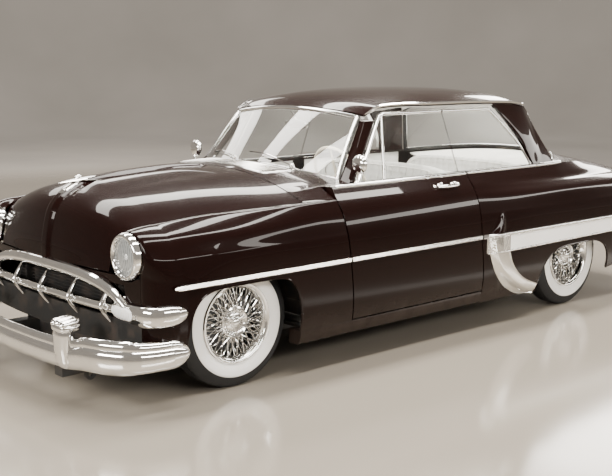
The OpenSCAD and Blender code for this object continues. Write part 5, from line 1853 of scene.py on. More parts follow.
@dataclass
class QuarterTrim:
    """Trim on the rear quarters: ribbed plate, cream band between bright ribs, gravel shield."""

    plate_start: float = F - 1.86
    plate_end: float = F - 2.052
    tail: float = R - 1.02

    def top(self, x: Number) -> Number:
        """Upper line of the band."""
        return 0.607 - 0.004 * (F - 1.86 - x) / 2.0

    def bottom(self, x: Number) -> Number:
        """Lower line of the band."""
        return 0.504 + 0.011 * (F - 1.86 - x) / 2.0

    def patch(self, x0: float, x1: float, inset: float, proud: float, n: int = 60) -> Array:
        """Sheet over the band from x0 to x1."""
        x = span(n, x0, x1)[None, :]
        s = span(12)[:, None]
        z = lerp(self.bottom(x) + inset, self.top(x) - inset, s)
        x, z = np.broadcast_arrays(x, z)
        return BODY.side_point(x, z) + BODY.side_out(x, z) * proud

    def build(self) -> None:
        """Makes every piece on both sides."""
        band = self.patch(self.tail, self.plate_end - 0.004, 0.004, 0.0035, 120)
        back = self.patch(self.tail, self.plate_end - 0.004, 0.004, -0.004, 120)
        Shape().wall(band, back).both().piece("cream_band", Coat.INSERT, bevel=0.001)
        ribs = Shape()
        plate = self.patch(self.plate_end, self.plate_start, 0.004, 0.004, 20)
        ribs.wall(plate, self.patch(self.plate_end, self.plate_start, 0.004, -0.004, 20))
        for i in range(9):
            share = (i + 0.5) / 9
            x = span(20, self.plate_end + 0.006, self.plate_start - 0.006)
            z = lerp(self.bottom(x), self.top(x), 0.06 + 0.88 * share)
            ribs.trim(BODY.side_point(x, z, 0.004), half_round(0.0072, 0.005, 5), BODY.side_out(x, z))
        ribs.both().piece("ribbed_plate", Coat.SATIN)
        rails = Shape()
        x = span(150, self.tail - 0.002, self.plate_start)
        for line, height in ((self.top(x) + 0.004, 0.024), (self.bottom(x) - 0.002, 0.015)):
            z = line * np.ones_like(x)
            rails.trim(BODY.side_point(x, z), half_round(height, 0.0095, 8), BODY.side_out(x, z))
        for x0 in (self.plate_start, self.plate_end):
            z = span(10, float(self.bottom(x0)), float(self.top(x0)))
            xs = np.full_like(z, x0)
            rails.trim(BODY.side_point(xs, z), half_round(0.012, 0.01, 6), BODY.side_out(xs, z))
        x = span(16, self.plate_start, float(BODY.rear_gap(0.61)) - GAP / 2 - 0.001)
        z = np.full_like(x, STRIP_Z)
        rails.trim(BODY.side_point(x, z), SideStrip().section(), BODY.side_out(x, z))
        rails.both().piece("band_rails", Coat.CHROME)
        self.gravel_shield()
        self.belt()

    def gravel_shield(self) -> None:
        """Satin crescent ahead of the rear wheel."""
        outer = Curve.even([[-1.867, 0.6], [-1.88, 0.52], [-1.916, 0.43], [-1.974, 0.347], [-2.05, 0.278],
                            [-2.147, 0.223], [-2.244, 0.19], [-2.37, 0.184]])
        inner = Curve.even([[-2.048, 0.5], [-2.062, 0.47], [-2.084, 0.425], [-2.126, 0.375], [-2.19, 0.325],
                            [-2.27, 0.285], [-2.345, 0.258], [-2.398, 0.24]])
        t = span(70)[:, None]
        a, b = outer(t[:, 0]), inner(t[:, 0])
        s = span(14)
        xz = lerp(a[:, None], b[:, None], s[None, :, None])
        x, z = F + xz[..., 0], xz[..., 1]
        crown = 0.0035 + 0.004 * np.sin(math.pi * s)[None, :] ** 0.5 * np.ones_like(x)
        face = BODY.side_point(x, z) + BODY.side_out(x, z) * crown[..., None]
        back = BODY.side_point(x, z) + BODY.side_out(x, z) * -0.005
        Shape().wall(face, back).both().piece("gravel_shield", Coat.SATIN, bevel=0.001)
        edge = Shape()
        for line in (a, b):
            xs, zs = F + line[:, 0], line[:, 1]
            edge.trim(BODY.side_point(xs, zs), half_round(0.01, 0.01, 6), BODY.side_out(xs, zs))
        edge.both().piece("gravel_shield_edge", Coat.CHROME)

    def belt(self) -> None:
        """Bright strip along the belt, from the door back round the deck."""
        x = span(80, R + 0.06, float(BODY.rear_gap(BELT)) - 0.01)
        keys = BODY.quarter(x)
        path = stacked(x, keys[:, 1, 0] - 0.002, keys[:, 1, 1] + 0.001)
        Shape().trim(path, half_round(0.024, 0.011, 8), (0, 1, 0.9),
                     np.interp(span(80), [0, 0.03, 1],
                               [0.2, 1, 1])).both().piece("quarter_belt_strip", Coat.CHROME)
        z = span(24, BELT + 0.004, GLASS_TOP - 0.006)
        back = stacked(BODY.glass_back(z) + 0.004, 0, z)
        xs = span(30, float(BODY.glass_back(GLASS_TOP)) + 0.02, GLASS_SPLIT - GAP)
        top = stacked(xs, 0, GLASS_TOP - 0.004)
        path = np.concatenate([back, top])
        path[:, 1] = BODY.glass_y(path[:, 0], path[:, 2]) - 0.001
        arch = Shape().trim(path, half_round(0.024, 0.01, 6), (0, 1, 0.4))
        arch.both().piece("quarter_window_rail", Coat.CHROME)


# ---------------------------------------------------------------- front and rear trim
@dataclass
class Bumper:
    """One chrome bumper: creased blade with wrapped ends, and its two guards."""

    name: str
    node: str
    keys: Sequence[tuple[float, float]]
    at: float
    way: int
    z: float
    section: Sequence[tuple[float, float]]
    guard: tuple[float, float, float]

    def path(self, n: int = 90) -> Array:
        """Middle line of the blade's back, from right to left."""
        half = Curve.even([list(k) for k in self.keys])(span(n))
        left = stacked(self.at + self.way * half[:, 0], half[:, 1], self.z + self.lift(half[:, 1]))
        right = left[::-1] * [1, -1, 1]
        return np.concatenate([right[:-1], left])

    def lift(self, y: Array) -> Array:
        """How the blade dips between the guards and rises outside them."""
        return 0.022 * (ease((np.abs(y) - 0.48) / 0.18) - 0.5)

    def build(self) -> None:
        """Makes the blade and the guards."""
        path = self.path()
        y = np.abs(path[:, 1])
        out = np.zeros_like(path)
        along = tangents(path)
        out[:, 0], out[:, 1] = self.way * along[:, 1], -self.way * along[:, 0]
        out = unit(out)
        end = np.abs(span(len(path) - 1, -1, 1))
        size = np.interp(y, [0, 0.44, 0.64, 0.84, 0.93], [0.94, 0.94, 1.1, 1.1, 0.92])
        size = size * np.sqrt(np.clip(1 - np.clip((end - 0.9) / 0.102, 0, 1) ** 2, 0.02, 1))
        rings = []
        for p, o, k in zip(path, out, size):
            rings.append([p + d * o * min(1.0, 0.3 + k) + np.array([0, 0, h * k]) for d, h in self.section])
        blade = Shape().bar(np.array(rings[::self.way]))
        blade.piece(f"{self.name}_blade", Coat.CHROME, replaces=[self.node], bevel=0.003)
        gx, gy, low = self.guard
        guards, ribs = Shape(), Shape()
        turn = turns(28)
        for side in (1, -1):
            rings = []
            for t in span(28):
                wide = float(np.interp(t, [0, 0.05, 0.15, 0.5, 0.85, 1],
                                       [0.03, 0.046, 0.054, 0.056, 0.061, 0.055]))
                deep = float(np.interp(t, [0, 0.05, 0.15, 0.5, 0.85, 1],
                                       [0.014, 0.026, 0.034, 0.042, 0.045, 0.04]))
                c, w = np.cos(turn), np.sin(turn)
                rings.append(stacked(
                    gx + self.way * deep * squared(c, 0.8),
                    side * gy + wide * squared(w, 0.8), low + 0.2 * t))
            guards.bar(np.array(rings))
            guards.merge(rounded_block((0.06, 0.068, 0.022), 3.5, (12, 12, 8)),
                         translated(gx - self.way * 0.014, side * gy, low + 0.204))
            for k in (-1, 0, 1):
                t = span(16)
                x = gx + self.way * lerp(-0.07, 0.043, t)
                ends = np.sqrt(np.clip(1 - np.abs(2 * t - 1) ** 4, 0.05, 1))
                spine = stacked(x, side * gy + k * 0.042 * (0.9 + 0.1 * t), low + 0.23 + 0.004 * (1 - k * k)
                                - 0.01 * t)
                ribs.tube(spine, (0.0235 * ends).tolist(), 14)
        guards.piece(f"{self.name}_guards", Coat.CHROME)
        ribs.piece(f"{self.name}_guard_ribs", Coat.CHROME)
        self.irons(gx, gy)

    def irons(self, gx: float, gy: float) -> None:
        """Brackets from the frame rails to the blade."""
        part = Shape()
        for side in (1, -1):
            a = np.array([gx - self.way * 0.02, side * gy, self.z])
            b = np.array([gx - self.way * 0.15, side * (gy + 0.005), self.z - 0.06])
            part.trim(np.array([lerp(a, b, t) for t in span(6)]), slab(-0.006, 0.03, 0.006, 0.03), (0, 1, 0))
        part.piece(f"{self.name}_irons", Coat.FRAME)


BLADE = [(-0.03, -0.06), (-0.014, -0.074), (0.004, -0.074), (0.016, -0.062), (0.0225, -0.042),
         (0.0258, -0.016), (0.024, 0.008), (0.017, 0.026), (0.0085, 0.034), (0.009, 0.04), (0.008, 0.054),
         (0.0, 0.068), (-0.013, 0.075), (-0.03, 0.068)]
FRONT_BUMPER = Bumper(
    "front_bumper", "front_bumper",
    [(0.867, 0), (0.86, 0.24), (0.838, 0.47), (0.8, 0.67), (0.742, 0.8), (0.66, 0.884), (0.54, 0.922),
     (0.4, 0.926)],
    F, 1, 0.286, BLADE, (F + 0.837, 0.5, 0.206))
REAR_BUMPER = Bumper(
    "rear_bumper", "rear_bumper",
    [(1.143, 0), (1.14, 0.3), (1.13, 0.56), (1.118, 0.72), (1.1, 0.83), (1.062, 0.892), (1.0, 0.918),
     (0.92, 0.934), (0.85, 0.938)],
    R, -1, 0.368, BLADE, (R - 1.119, 0.48, 0.292))


@dataclass
class Grille:
    """Dark mouth under a heavy chrome arch, with a cross bar, five teeth and wing lamps."""

    bar_z: float = 0.492
    half: float = 0.64
    arch: Curve = Curve([(0, 0.634), (0.25, 0.629), (0.45, 0.61), (0.58, 0.578), (0.66, 0.54), (0.715, 0.5)])

    def build(self) -> None:
        """Makes the parts of the mouth."""
        self.surround()
        self.bar()
        self.teeth()
        self.wings()
        self.backing()

    def face(self, y: Number, forward: float, z: Number) -> Array:
        """Point ahead of the nose panel."""
        return stacked(BODY.nose_x(np.asarray(y, float)) + forward, y, z)

    def surround(self) -> None:
        """Heavy arch over the mouth, which lands on the wing lamps."""
        y = 0.715 * np.sin(span(120, -math.pi / 2, math.pi / 2))
        path = self.face(y, 0.006, self.arch(np.abs(y)))
        size = np.interp(np.abs(y), [0, 0.45, 0.66, 0.715], [1.18, 1.15, 0.95, 0.8])
        section = [(-0.02, -0.026), (0.008, -0.029), (0.024, -0.02), (0.032, -0.004), (0.03, 0.01),
                   (0.018, 0.024), (0.002, 0.03), (-0.02, 0.028)]
        Shape().trim(path, section, (1, 0, 0), size).piece("grille_surround", Coat.CHROME, sharp=ROUNDED)

    def bar(self) -> None:
        """Tubular cross bar between the wing lamps."""
        y = self.half * np.sin(span(120, -math.pi / 2, math.pi / 2))
        path = self.face(y, 0.022, np.full_like(y, self.bar_z))
        Shape().trim(path, round_section(0.0235, 20), (1, 0, 0)).piece(
            "grille_bar", Coat.CHROME, replaces=["grille"], sharp=ROUNDED)

    def teeth(self) -> None:
        """Five slim blades over the bar, bowed forward and pointed at both ends."""
        part = Shape()
        turn = turns(16)
        bow = Curve([(0, 0.004), (0.45, 0.05), (0.55, 0.05), (1, 0.01)])
        for y in (-0.58, -0.295, 0.0, 0.295, 0.58):
            rings = []
            for t in span(30):
                k = max(0.1, math.sin(math.pi * (0.03 + 0.94 * t)) ** 0.6)
                x = float(BODY.nose_x(np.array(y))) + float(bow(np.array(t)))
                rings.append(stacked(x + 0.02 * k * np.cos(turn), y + 0.0125 * k * np.sin(turn),
                                     lerp(0.412, 0.59, t)))
            part.bar(np.array(rings))
        part.piece("grille_teeth", Coat.CHROME, sharp=ROUNDED)

    def wings(self) -> None:
        """Chrome pods at the bar's ends that wrap the corners, with oblong parking lamps."""
        y = span(26, 0.61, BODY.corner_y)
        a = span(30, 0, math.pi / 2)[1:]
        path = np.concatenate([
            stacked(BODY.nose_x(y) + 0.01, y, 0.0),
            stacked(F + 0.44 + 0.158 * np.cos(a), BODY.corner_y + 0.129 * np.sin(a), 0.0),
            stacked(span(5, F + 0.43, F + 0.404), BODY.corner_y + 0.129, 0.0)])
        share = np.concatenate([[0], np.cumsum(np.linalg.norm(np.diff(path, axis=0), axis=1))])
        share = share / share[-1]
        path[:, 2] = np.interp(share, [0, 0.35, 0.6, 1], [0.489, 0.478, 0.478, 0.49])
        along = tangents(path)
        out = unit(stacked(along[:, 1], -along[:, 0], 0))
        size = np.interp(share, [0, 0.05, 0.3, 0.55, 0.8, 0.9, 0.96, 1],
                         [0.55, 0.86, 1.0, 1.1, 1.0, 0.82, 0.52, 0.1])
        Shape().trim(path, oval(0.024, 0.049, 24), out, size).both(
        ).piece("wing_pods", Coat.CHROME, sharp=ROUNDED)
        lens = path[2:25] + out[2:25] * 0.0165
        taper = np.sqrt(np.clip(1 - np.abs(span(22, -1, 1)) ** 4, 0.03, 1))
        Shape().trim(lens, oval(0.0125, 0.031, 20), out[2:25], taper).both(
        ).piece("parking_lamps", Coat.PARKING, sharp=ROUNDED)
        across = np.cross(along[2:25], out[2:25]) * 0.032 * taper[:, None]
        edge = np.concatenate([lens + across, (lens - across)[::-1]])
        Shape().trim(edge, round_section(0.0035), np.concatenate([out[2:25], out[2:25][::-1]]),
                     loop=True).both(
        ).piece("parking_lamp_rims", Coat.CHROME, sharp=ROUNDED)

    def backing(self) -> None:
        """Dark tunnel and slats behind the mouth."""
        y = span(60, -0.69, 0.69)
        top = np.minimum(self.arch(np.abs(y)) + 0.01, 0.63)
        loop = np.concatenate([self.face(y, 0, top), self.face(y[::-1], 0, np.full_like(y, 0.434))])
        rings = np.array([loop - [d, 0, 0] for d in (0.006, 0.08, 0.15)])
        rings = np.concatenate([rings, rings[:, :1]], 1)
        part = Shape().wall(rings, rings * [1, 1.01, 1])
        back = stacked(F + 0.49, y, np.array([[0.43], [0.632]]))
        part.wall(back, back - [0.004, 0, 0])
        part.piece("mouth_tunnel", Coat.UNDER)
        mesh = Shape()
        for z in np.linspace(0.446, 0.61, 10):
            mesh.tube(stacked(F + 0.502, y, z), 0.0024, 6)
        mesh.piece("mouth_slats", Coat.FRAME)


@dataclass
class Lamps:
    """Headlamps with deep rings and fluted lenses, and the tail lamps."""

    z: float = 0.755
    y: float = 0.71
    face: float = F + 0.588

    def build(self) -> None:
        """Makes both ends' lamps."""
        rings, lenses, bowls, bulbs = Shape(), Shape(), Shape(), Shape()
        base = (self.face - 0.016, self.y, self.z)
        out = (1, 0, 0)
        ring = [(0.1165, 0.002), (0.1175, 0.022), (0.116, 0.038), (0.112, 0.048), (0.106, 0.0535),
                (0.0985, 0.054), (0.0935, 0.049), (0.09, 0.038), (0.0885, 0.02), (0.1, 0.002)]
        rings.lathe(ring, base, out, 96, loop=True)
        lens = [(0.001, 0.052), (0.022, 0.0515), (0.044, 0.0495), (0.064, 0.0455), (0.08, 0.04),
                (0.0885, 0.034), (0.0885, 0.031), (0.079, 0.036), (0.063, 0.0415), (0.043, 0.0455),
                (0.021, 0.0475), (0.001, 0.048)]
        lenses.lathe(lens, base, out, 72)
        bowl = [(0.0885, 0.03), (0.086, 0.018), (0.074, 0.002), (0.052, -0.014), (0.026, -0.024),
                (0.001, -0.026), (0.001, -0.028), (0.028, -0.026), (0.055, -0.016), (0.078, 0.0),
                (0.09, 0.018), (0.0915, 0.03)]
        bowls.lathe(bowl, base, out, 64)
        bulbs.lathe([(0.001, 0.026), (0.008, 0.024), (0.0115, 0.016), (0.011, 0.006), (0.008, -0.004),
                     (0.008, -0.02), (0.001, -0.02)], base, out, 24)
        flutes = Shape()
        for k in np.linspace(-0.066, 0.066, 10):
            reach = math.sqrt(0.082 ** 2 - k * k)
            path = []
            for w in span(18, -reach, reach):
                r = math.hypot(k, w)
                path.append([base[0] + 0.0505 - 5.0 * r * r * 0.42, self.y + k, self.z + w])
            flutes.tube(np.array(path), 0.0016, 5)
        housing = Shape().lathe([(0.001, -0.03), (0.095, -0.02), (0.1165, 0.0), (0.1165, 0.012), (0.1, 0.012),
                                 (0.09, 0.004), (0.001, -0.028)], base, out, 72)
        rings.both().piece("headlamp_rings", Coat.CHROME, sharp=50)
        lenses.both().piece("headlamp_lenses", Coat.LENS)
        flutes.both().piece("headlamp_flutes", Coat.LENS)
        bowls.both().piece("headlamp_bowls", Coat.REFLECTOR, replaces=["headlights"])
        for r, x in ((0.034, 0.02), (0.062, 0.014)):
            bulbs.lathe(bead(r, x, 0.0028, 8), base, out, 48, loop=True)
        bulbs.lathe([(0.001, 0.034), (0.01, 0.033), (0.018, 0.028), (0.021, 0.018), (0.02, 0.004),
                     (0.001, 0.0)], base, out, 32)
        bulbs.both().piece("headlamp_bulbs", Coat.PARKING)
        housing.both().piece("headlamp_housings", Coat.UNDER)
        self.tail()

    def tail(self) -> None:
        """Round tail lamps with domed lenses, and a small reversing lamp under each."""
        rings, lenses, clear = Shape(), Shape(), Shape()
        base, out = (BODY.tail_x, 0.752, 0.7), (-1, 0, 0)
        rings.lathe([(0.049, -0.002), (0.0495, 0.01), (0.046, 0.019), (0.041, 0.021), (0.0385, 0.017),
                     (0.0385, -0.002)], base, out, 64, loop=True)
        lenses.lathe([(0.001, 0.037), (0.012, 0.0355), (0.02, 0.032), (0.022, 0.029), (0.03, 0.026),
                      (0.0385, 0.016), (0.0385, 0.004), (0.001, 0.004)], base, out, 64)
        low = (BODY.tail_x, 0.775, 0.61)
        rings.lathe([(0.03, -0.002), (0.0305, 0.006), (0.027, 0.011), (0.023, 0.01), (0.023, -0.002)], low,
                    out, 48, loop=True)
        clear.lathe([(0.001, 0.014), (0.012, 0.013), (0.023, 0.008), (0.023, 0.002), (0.001, 0.002)], low,
                    out, 48)
        rings.both().piece("tail_lamp_rings", Coat.CHROME, sharp=50)
        lenses.both().piece("tail_lamp_lenses", Coat.RED, replaces=["taillights"])
        clear.both().piece("reversing_lamps", Coat.PARKING)


@dataclass
class RearTrim:
    """Lid handle with its lock, and the plate frame."""

    def build(self) -> None:
        """Makes the chrome pieces at the tail."""
        lid = Tail()
        part = Shape()
        base = lid.lid_point(0.88, 0.0)
        n = -inward_normals(lid.lid_point(span(2, 0.87, 0.89)[:, None], span(2, -0.01, 0.01)[None, :]))[1, 1]
        path = np.array([base + n * (0.012 + 0.014 * math.sin(math.pi * t)) + [0, 0, -0.1 * (t - 0.5)]
                         for t in span(20)])
        part.trim(path, round_section(0.012, 12, 0.7), n,
                  np.interp(span(20), [0, 0.1, 0.5, 0.9, 1], [0.5, 1.0, 1.1, 0.9, 0.4]))
        part.lathe([(0.001, 0.0), (0.02, 0.0), (0.019, 0.006), (0.012, 0.012), (0.001, 0.013)],
                   base + n * 0.002 + [0, 0, 0.045], n, 28)
        part.piece("lid_handle", Coat.CHROME, "trunk_body")
        plate = Shape()
        x = BODY.tail_x - 0.003
        loop = [[x, y, z] for y, z in ((-0.155, 0.488), (0.155, 0.488), (0.155, 0.442), (-0.155, 0.442))]
        path = np.concatenate([lerp(np.array(loop[i]), np.array(loop[(i + 1) % 4]), span(8)[:-1, None])
                               for i in range(4)])
        plate.trim(path, round_section(0.004), (-1, 0, 0), loop=True)
        plate.piece("plate_frame", Coat.CHROME)


# ---------------------------------------------------------------- wheels
@dataclass
class Wheel:
    """Chrome wire wheel with a wide whitewall tyre. Built round the origin, facing +Y."""

    name: str
    x: float
    y: float
    radius: float = TYRE_RADIUS
    half: float = 0.083
    spokes: int = 24

    def place(self) -> Array:
        """Matrix that puts it on its axle."""
        matrix = np.diag([1.0, 1.0 if self.y > 0 else -1.0, 1.0, 1.0])
        matrix[:3, 3] = (self.x, self.y, self.radius)
        return matrix

    def put(self, shape: Shape, part: str, coat: Coat, nodes: Sequence[str] = (), sharp: float = 40) -> None:
        """Places one piece on the wheel's body."""
        Shape().merge(shape, self.place()).piece(f"{self.name}_{part}", coat, f"wheel_{self.name}_body",
                                                 nodes, sharp=sharp)

    def build(self) -> None:
        """Makes the tyre, rim, spokes, drum and centre."""
        self.tyre()
        rim = Shape().lathe([
            (0.2165, 0.0785), (0.213, 0.0825), (0.206, 0.0835), (0.199, 0.08), (0.194, 0.07), (0.188, 0.056),
            (0.1825, 0.043), (0.1795, 0.03), (0.179, 0.01), (0.179, -0.04), (0.186, -0.056), (0.2, -0.062),
            (0.2049, -0.062), (0.2049, 0.06), (0.21, 0.07)], *AXLE, 128, loop=True)
        rim.lathe(bead(0.1935, 0.07, 0.0028, 8),
                  *AXLE, 128, loop=True)
        self.put(rim, "rim", Coat.WIRE, [f"wheel_{self.name}"])
        laces = Shape()
        for layer, (y_rim, y_hub, lean, offset) in enumerate((
                (0.046, 0.05, 0.3, 0.0), (0.046, 0.05, -0.3, 0.5), (0.004, 0.02, 0.34, 0.25),
                (0.004, 0.02, -0.34, 0.75))):
            for k in range(self.spokes):
                a = (k + offset) * 2 * math.pi / self.spokes
                lift = 0.0016 if layer % 2 else -0.0016
                start = np.array([0.082 * math.cos(a - lean / 2), y_hub + lift,
                                  0.082 * math.sin(a - lean / 2)])
                stop = np.array([0.1815 * math.cos(a + lean / 2), y_rim + lift,
                                 0.1815 * math.sin(a + lean / 2)])
                t = np.array([0, 0.06, 0.12, 0.5, 0.88, 0.94, 1.0])[:, None]
                laces.tube(lerp(start, stop, t), [0.0036, 0.0036, 0.0025, 0.0023, 0.0025, 0.0038, 0.0038], 6)
        self.put(laces, "spokes", Coat.WIRE)
        drum = Shape().lathe([
            (0.001, 0.048), (0.04, 0.048), (0.052, 0.05), (0.066, 0.054), (0.072, 0.059), (0.077, 0.062),
            (0.0825, 0.06), (0.0855, 0.054), (0.0855, 0.016), (0.082, 0.012), (0.06, 0.01), (0.001, 0.01)],
            *AXLE, 96)
        for k in range(24):
            a = k * 2 * math.pi / 24
            t = span(6)[:, None]
            start = np.array([0.052 * math.cos(a), 0.05, 0.052 * math.sin(a)])
            stop = np.array([0.07 * math.cos(a), 0.0565, 0.07 * math.sin(a)])
            drum.tube(lerp(start, stop, t), [0.0015, 0.003, 0.0034, 0.0034, 0.0034, 0.003, 0.0015], 8)
        self.put(drum, "drum", Coat.WIRE)
        centre = Shape().lathe([
            (0.001, 0.079), (0.008, 0.0786), (0.016, 0.0765), (0.0225, 0.0725), (0.025, 0.069), (0.03, 0.068),
            (0.033, 0.065), (0.0345, 0.06), (0.042, 0.0585), (0.048, 0.056), (0.05, 0.052), (0.05, 0.046),
            (0.001, 0.046)],
            *AXLE, 72)
        for k in range(3):
            a = k * 2 * math.pi / 3 + 0.5
            path = np.array([[r * math.cos(a), 0.0655 + 0.006 * math.sin((r - 0.02) * 38), r * math.sin(a)]
                             for r in span(12, 0.018, 0.06)])
            centre.trim(path, oval(0.005, 0.0105, 12), (0, 1, 0),
                        np.interp(span(12), [0, 0.3, 0.85, 1], [1.2, 1.0, 0.75, 0.25]))
        self.put(centre, "centre", Coat.WIRE)
        brake = Shape().lathe([
            (0.052, 0.006), (0.1, 0.004), (0.146, 0.0), (0.152, -0.006), (0.152, -0.025), (0.156, -0.027),
            (0.156, -0.033), (0.152, -0.035), (0.152, -0.044), (0.145, -0.047), (0.052, -0.047)], *AXLE, 72,
            loop=True)
        self.put(brake, "brake_drum", Coat.CAST)

    def tyre(self) -> None:
        """Ribbed, zigzag tread with a rounded sidewall and its white band."""
        r, h = self.radius, self.half
        side = [(0.2055, 0.06), (0.212, 0.07), (0.22, 0.074), (0.23, 0.0775), (0.245, 0.0812), (0.26, h),
                (0.275, h - 0.0004), (0.288, h - 0.002), (0.289, h - 0.0026), (0.3, h - 0.006),
                (0.312, h - 0.011), (0.322, h - 0.0165), (0.33, h - 0.021), (0.335, h - 0.025),
                (0.3385, h - 0.029)]
        tread = []
        ribs = 5
        edge = h - 0.03
        for i in range(ribs):
            y1 = edge - i * 2 * edge / ribs
            y0 = y1 - 2 * edge / ribs
            bow = [(r - 0.003 * ((y / edge) ** 2), y) for y in (y1 - 0.0022, y0 + 0.0022)]
            if i:
                tread.append((bow[0][0] - 0.006, y1 - 0.0016))
            tread += bow
            if i < ribs - 1:
                tread.append((bow[1][0] - 0.006, y0 + 0.0016))
        profile = np.array(side + tread + [(a, -b) for a, b in side[::-1]])
        sides = 216
        turn = turns(sides)
        zigzag = 0.002 * (1 - 2 * (np.arange(sides) % 2))
        on_tread = (profile[:, 0] > 0.33).astype(float)
        radius = profile[:, 0][:, None] * np.ones(sides)[None, :]
        shoulder = (profile[:, 0] > 0.329) & (profile[:, 0] < 0.3395)
        block = (np.arange(sides) % 6 == 0)[None, :] * shoulder[:, None]
        radius = radius - 0.003 * block
        rings = stacked(radius * np.cos(turn), profile[:, 1][:, None] + on_tread[:, None] * zigzag[None, :],
                        radius * np.sin(turn))
        shape = Shape().grid(np.concatenate([rings, rings[:1]]), wrap=True)
        for edge_r in (0.2975, 0.306):
            shape.lathe(bead(edge_r, self.half - 0.0072 - (edge_r - 0.2975) * 0.45, 0.0012, 6),
                        *AXLE, 128, loop=True)
        self.put(shape, "tyre", Coat.TYRE, [f"tyre_{self.name}"], sharp=50)
        band = [(0.212, 0.0704), (0.22, 0.0746), (0.23, 0.0781), (0.245, 0.0818), (0.26, h + 0.0006),
                (0.275, h + 0.0002), (0.285, h - 0.0008), (0.2865, h - 0.0022), (0.2865, h - 0.006),
                (0.26, h - 0.006), (0.23, 0.07), (0.212, 0.065)]
        self.put(Shape().lathe(band, *AXLE, 160, loop=True), "whitewall", Coat.WHITEWALL, sharp=50)


# ---------------------------------------------------------------- cabin
def rounded_block(half: Sequence[float], power: float, counts: tuple[int, int, int]) -> Shape:
    """Soft-cornered block round the origin, as a fine closed mesh.

    Args:
        half: half sizes along x, y and z.
        power: how square it is.
        counts: steps along each side.

    Returns:
        The block, with points on its surface only.
    """
    shape = Shape()
    for axis in range(3):
        u, v = (axis + 1) % 3, (axis + 2) % 3
        for way in (-1, 1):
            a, b = np.meshgrid(np.sin(span(counts[u], -1, 1) * math.pi / 2),
                               np.sin(span(counts[v], -1, 1) * math.pi / 2), indexing="ij")
            p = np.zeros(a.shape + (3,))
            p[..., axis], p[..., u], p[..., v] = way, a, b
            p = p / ((np.abs(p) ** power).sum(-1, keepdims=True) ** (1 / power))
            shape.grid(p * np.asarray(half), back=way < 0)
    return shape


def tipped(degrees: float) -> Array:
    """Turn that tips a piece back."""
    angle = math.radians(degrees)
    return np.array([[math.cos(angle), 0, -math.sin(angle)], [0, 1, 0],
                     [math.sin(angle), 0, math.cos(angle)]])


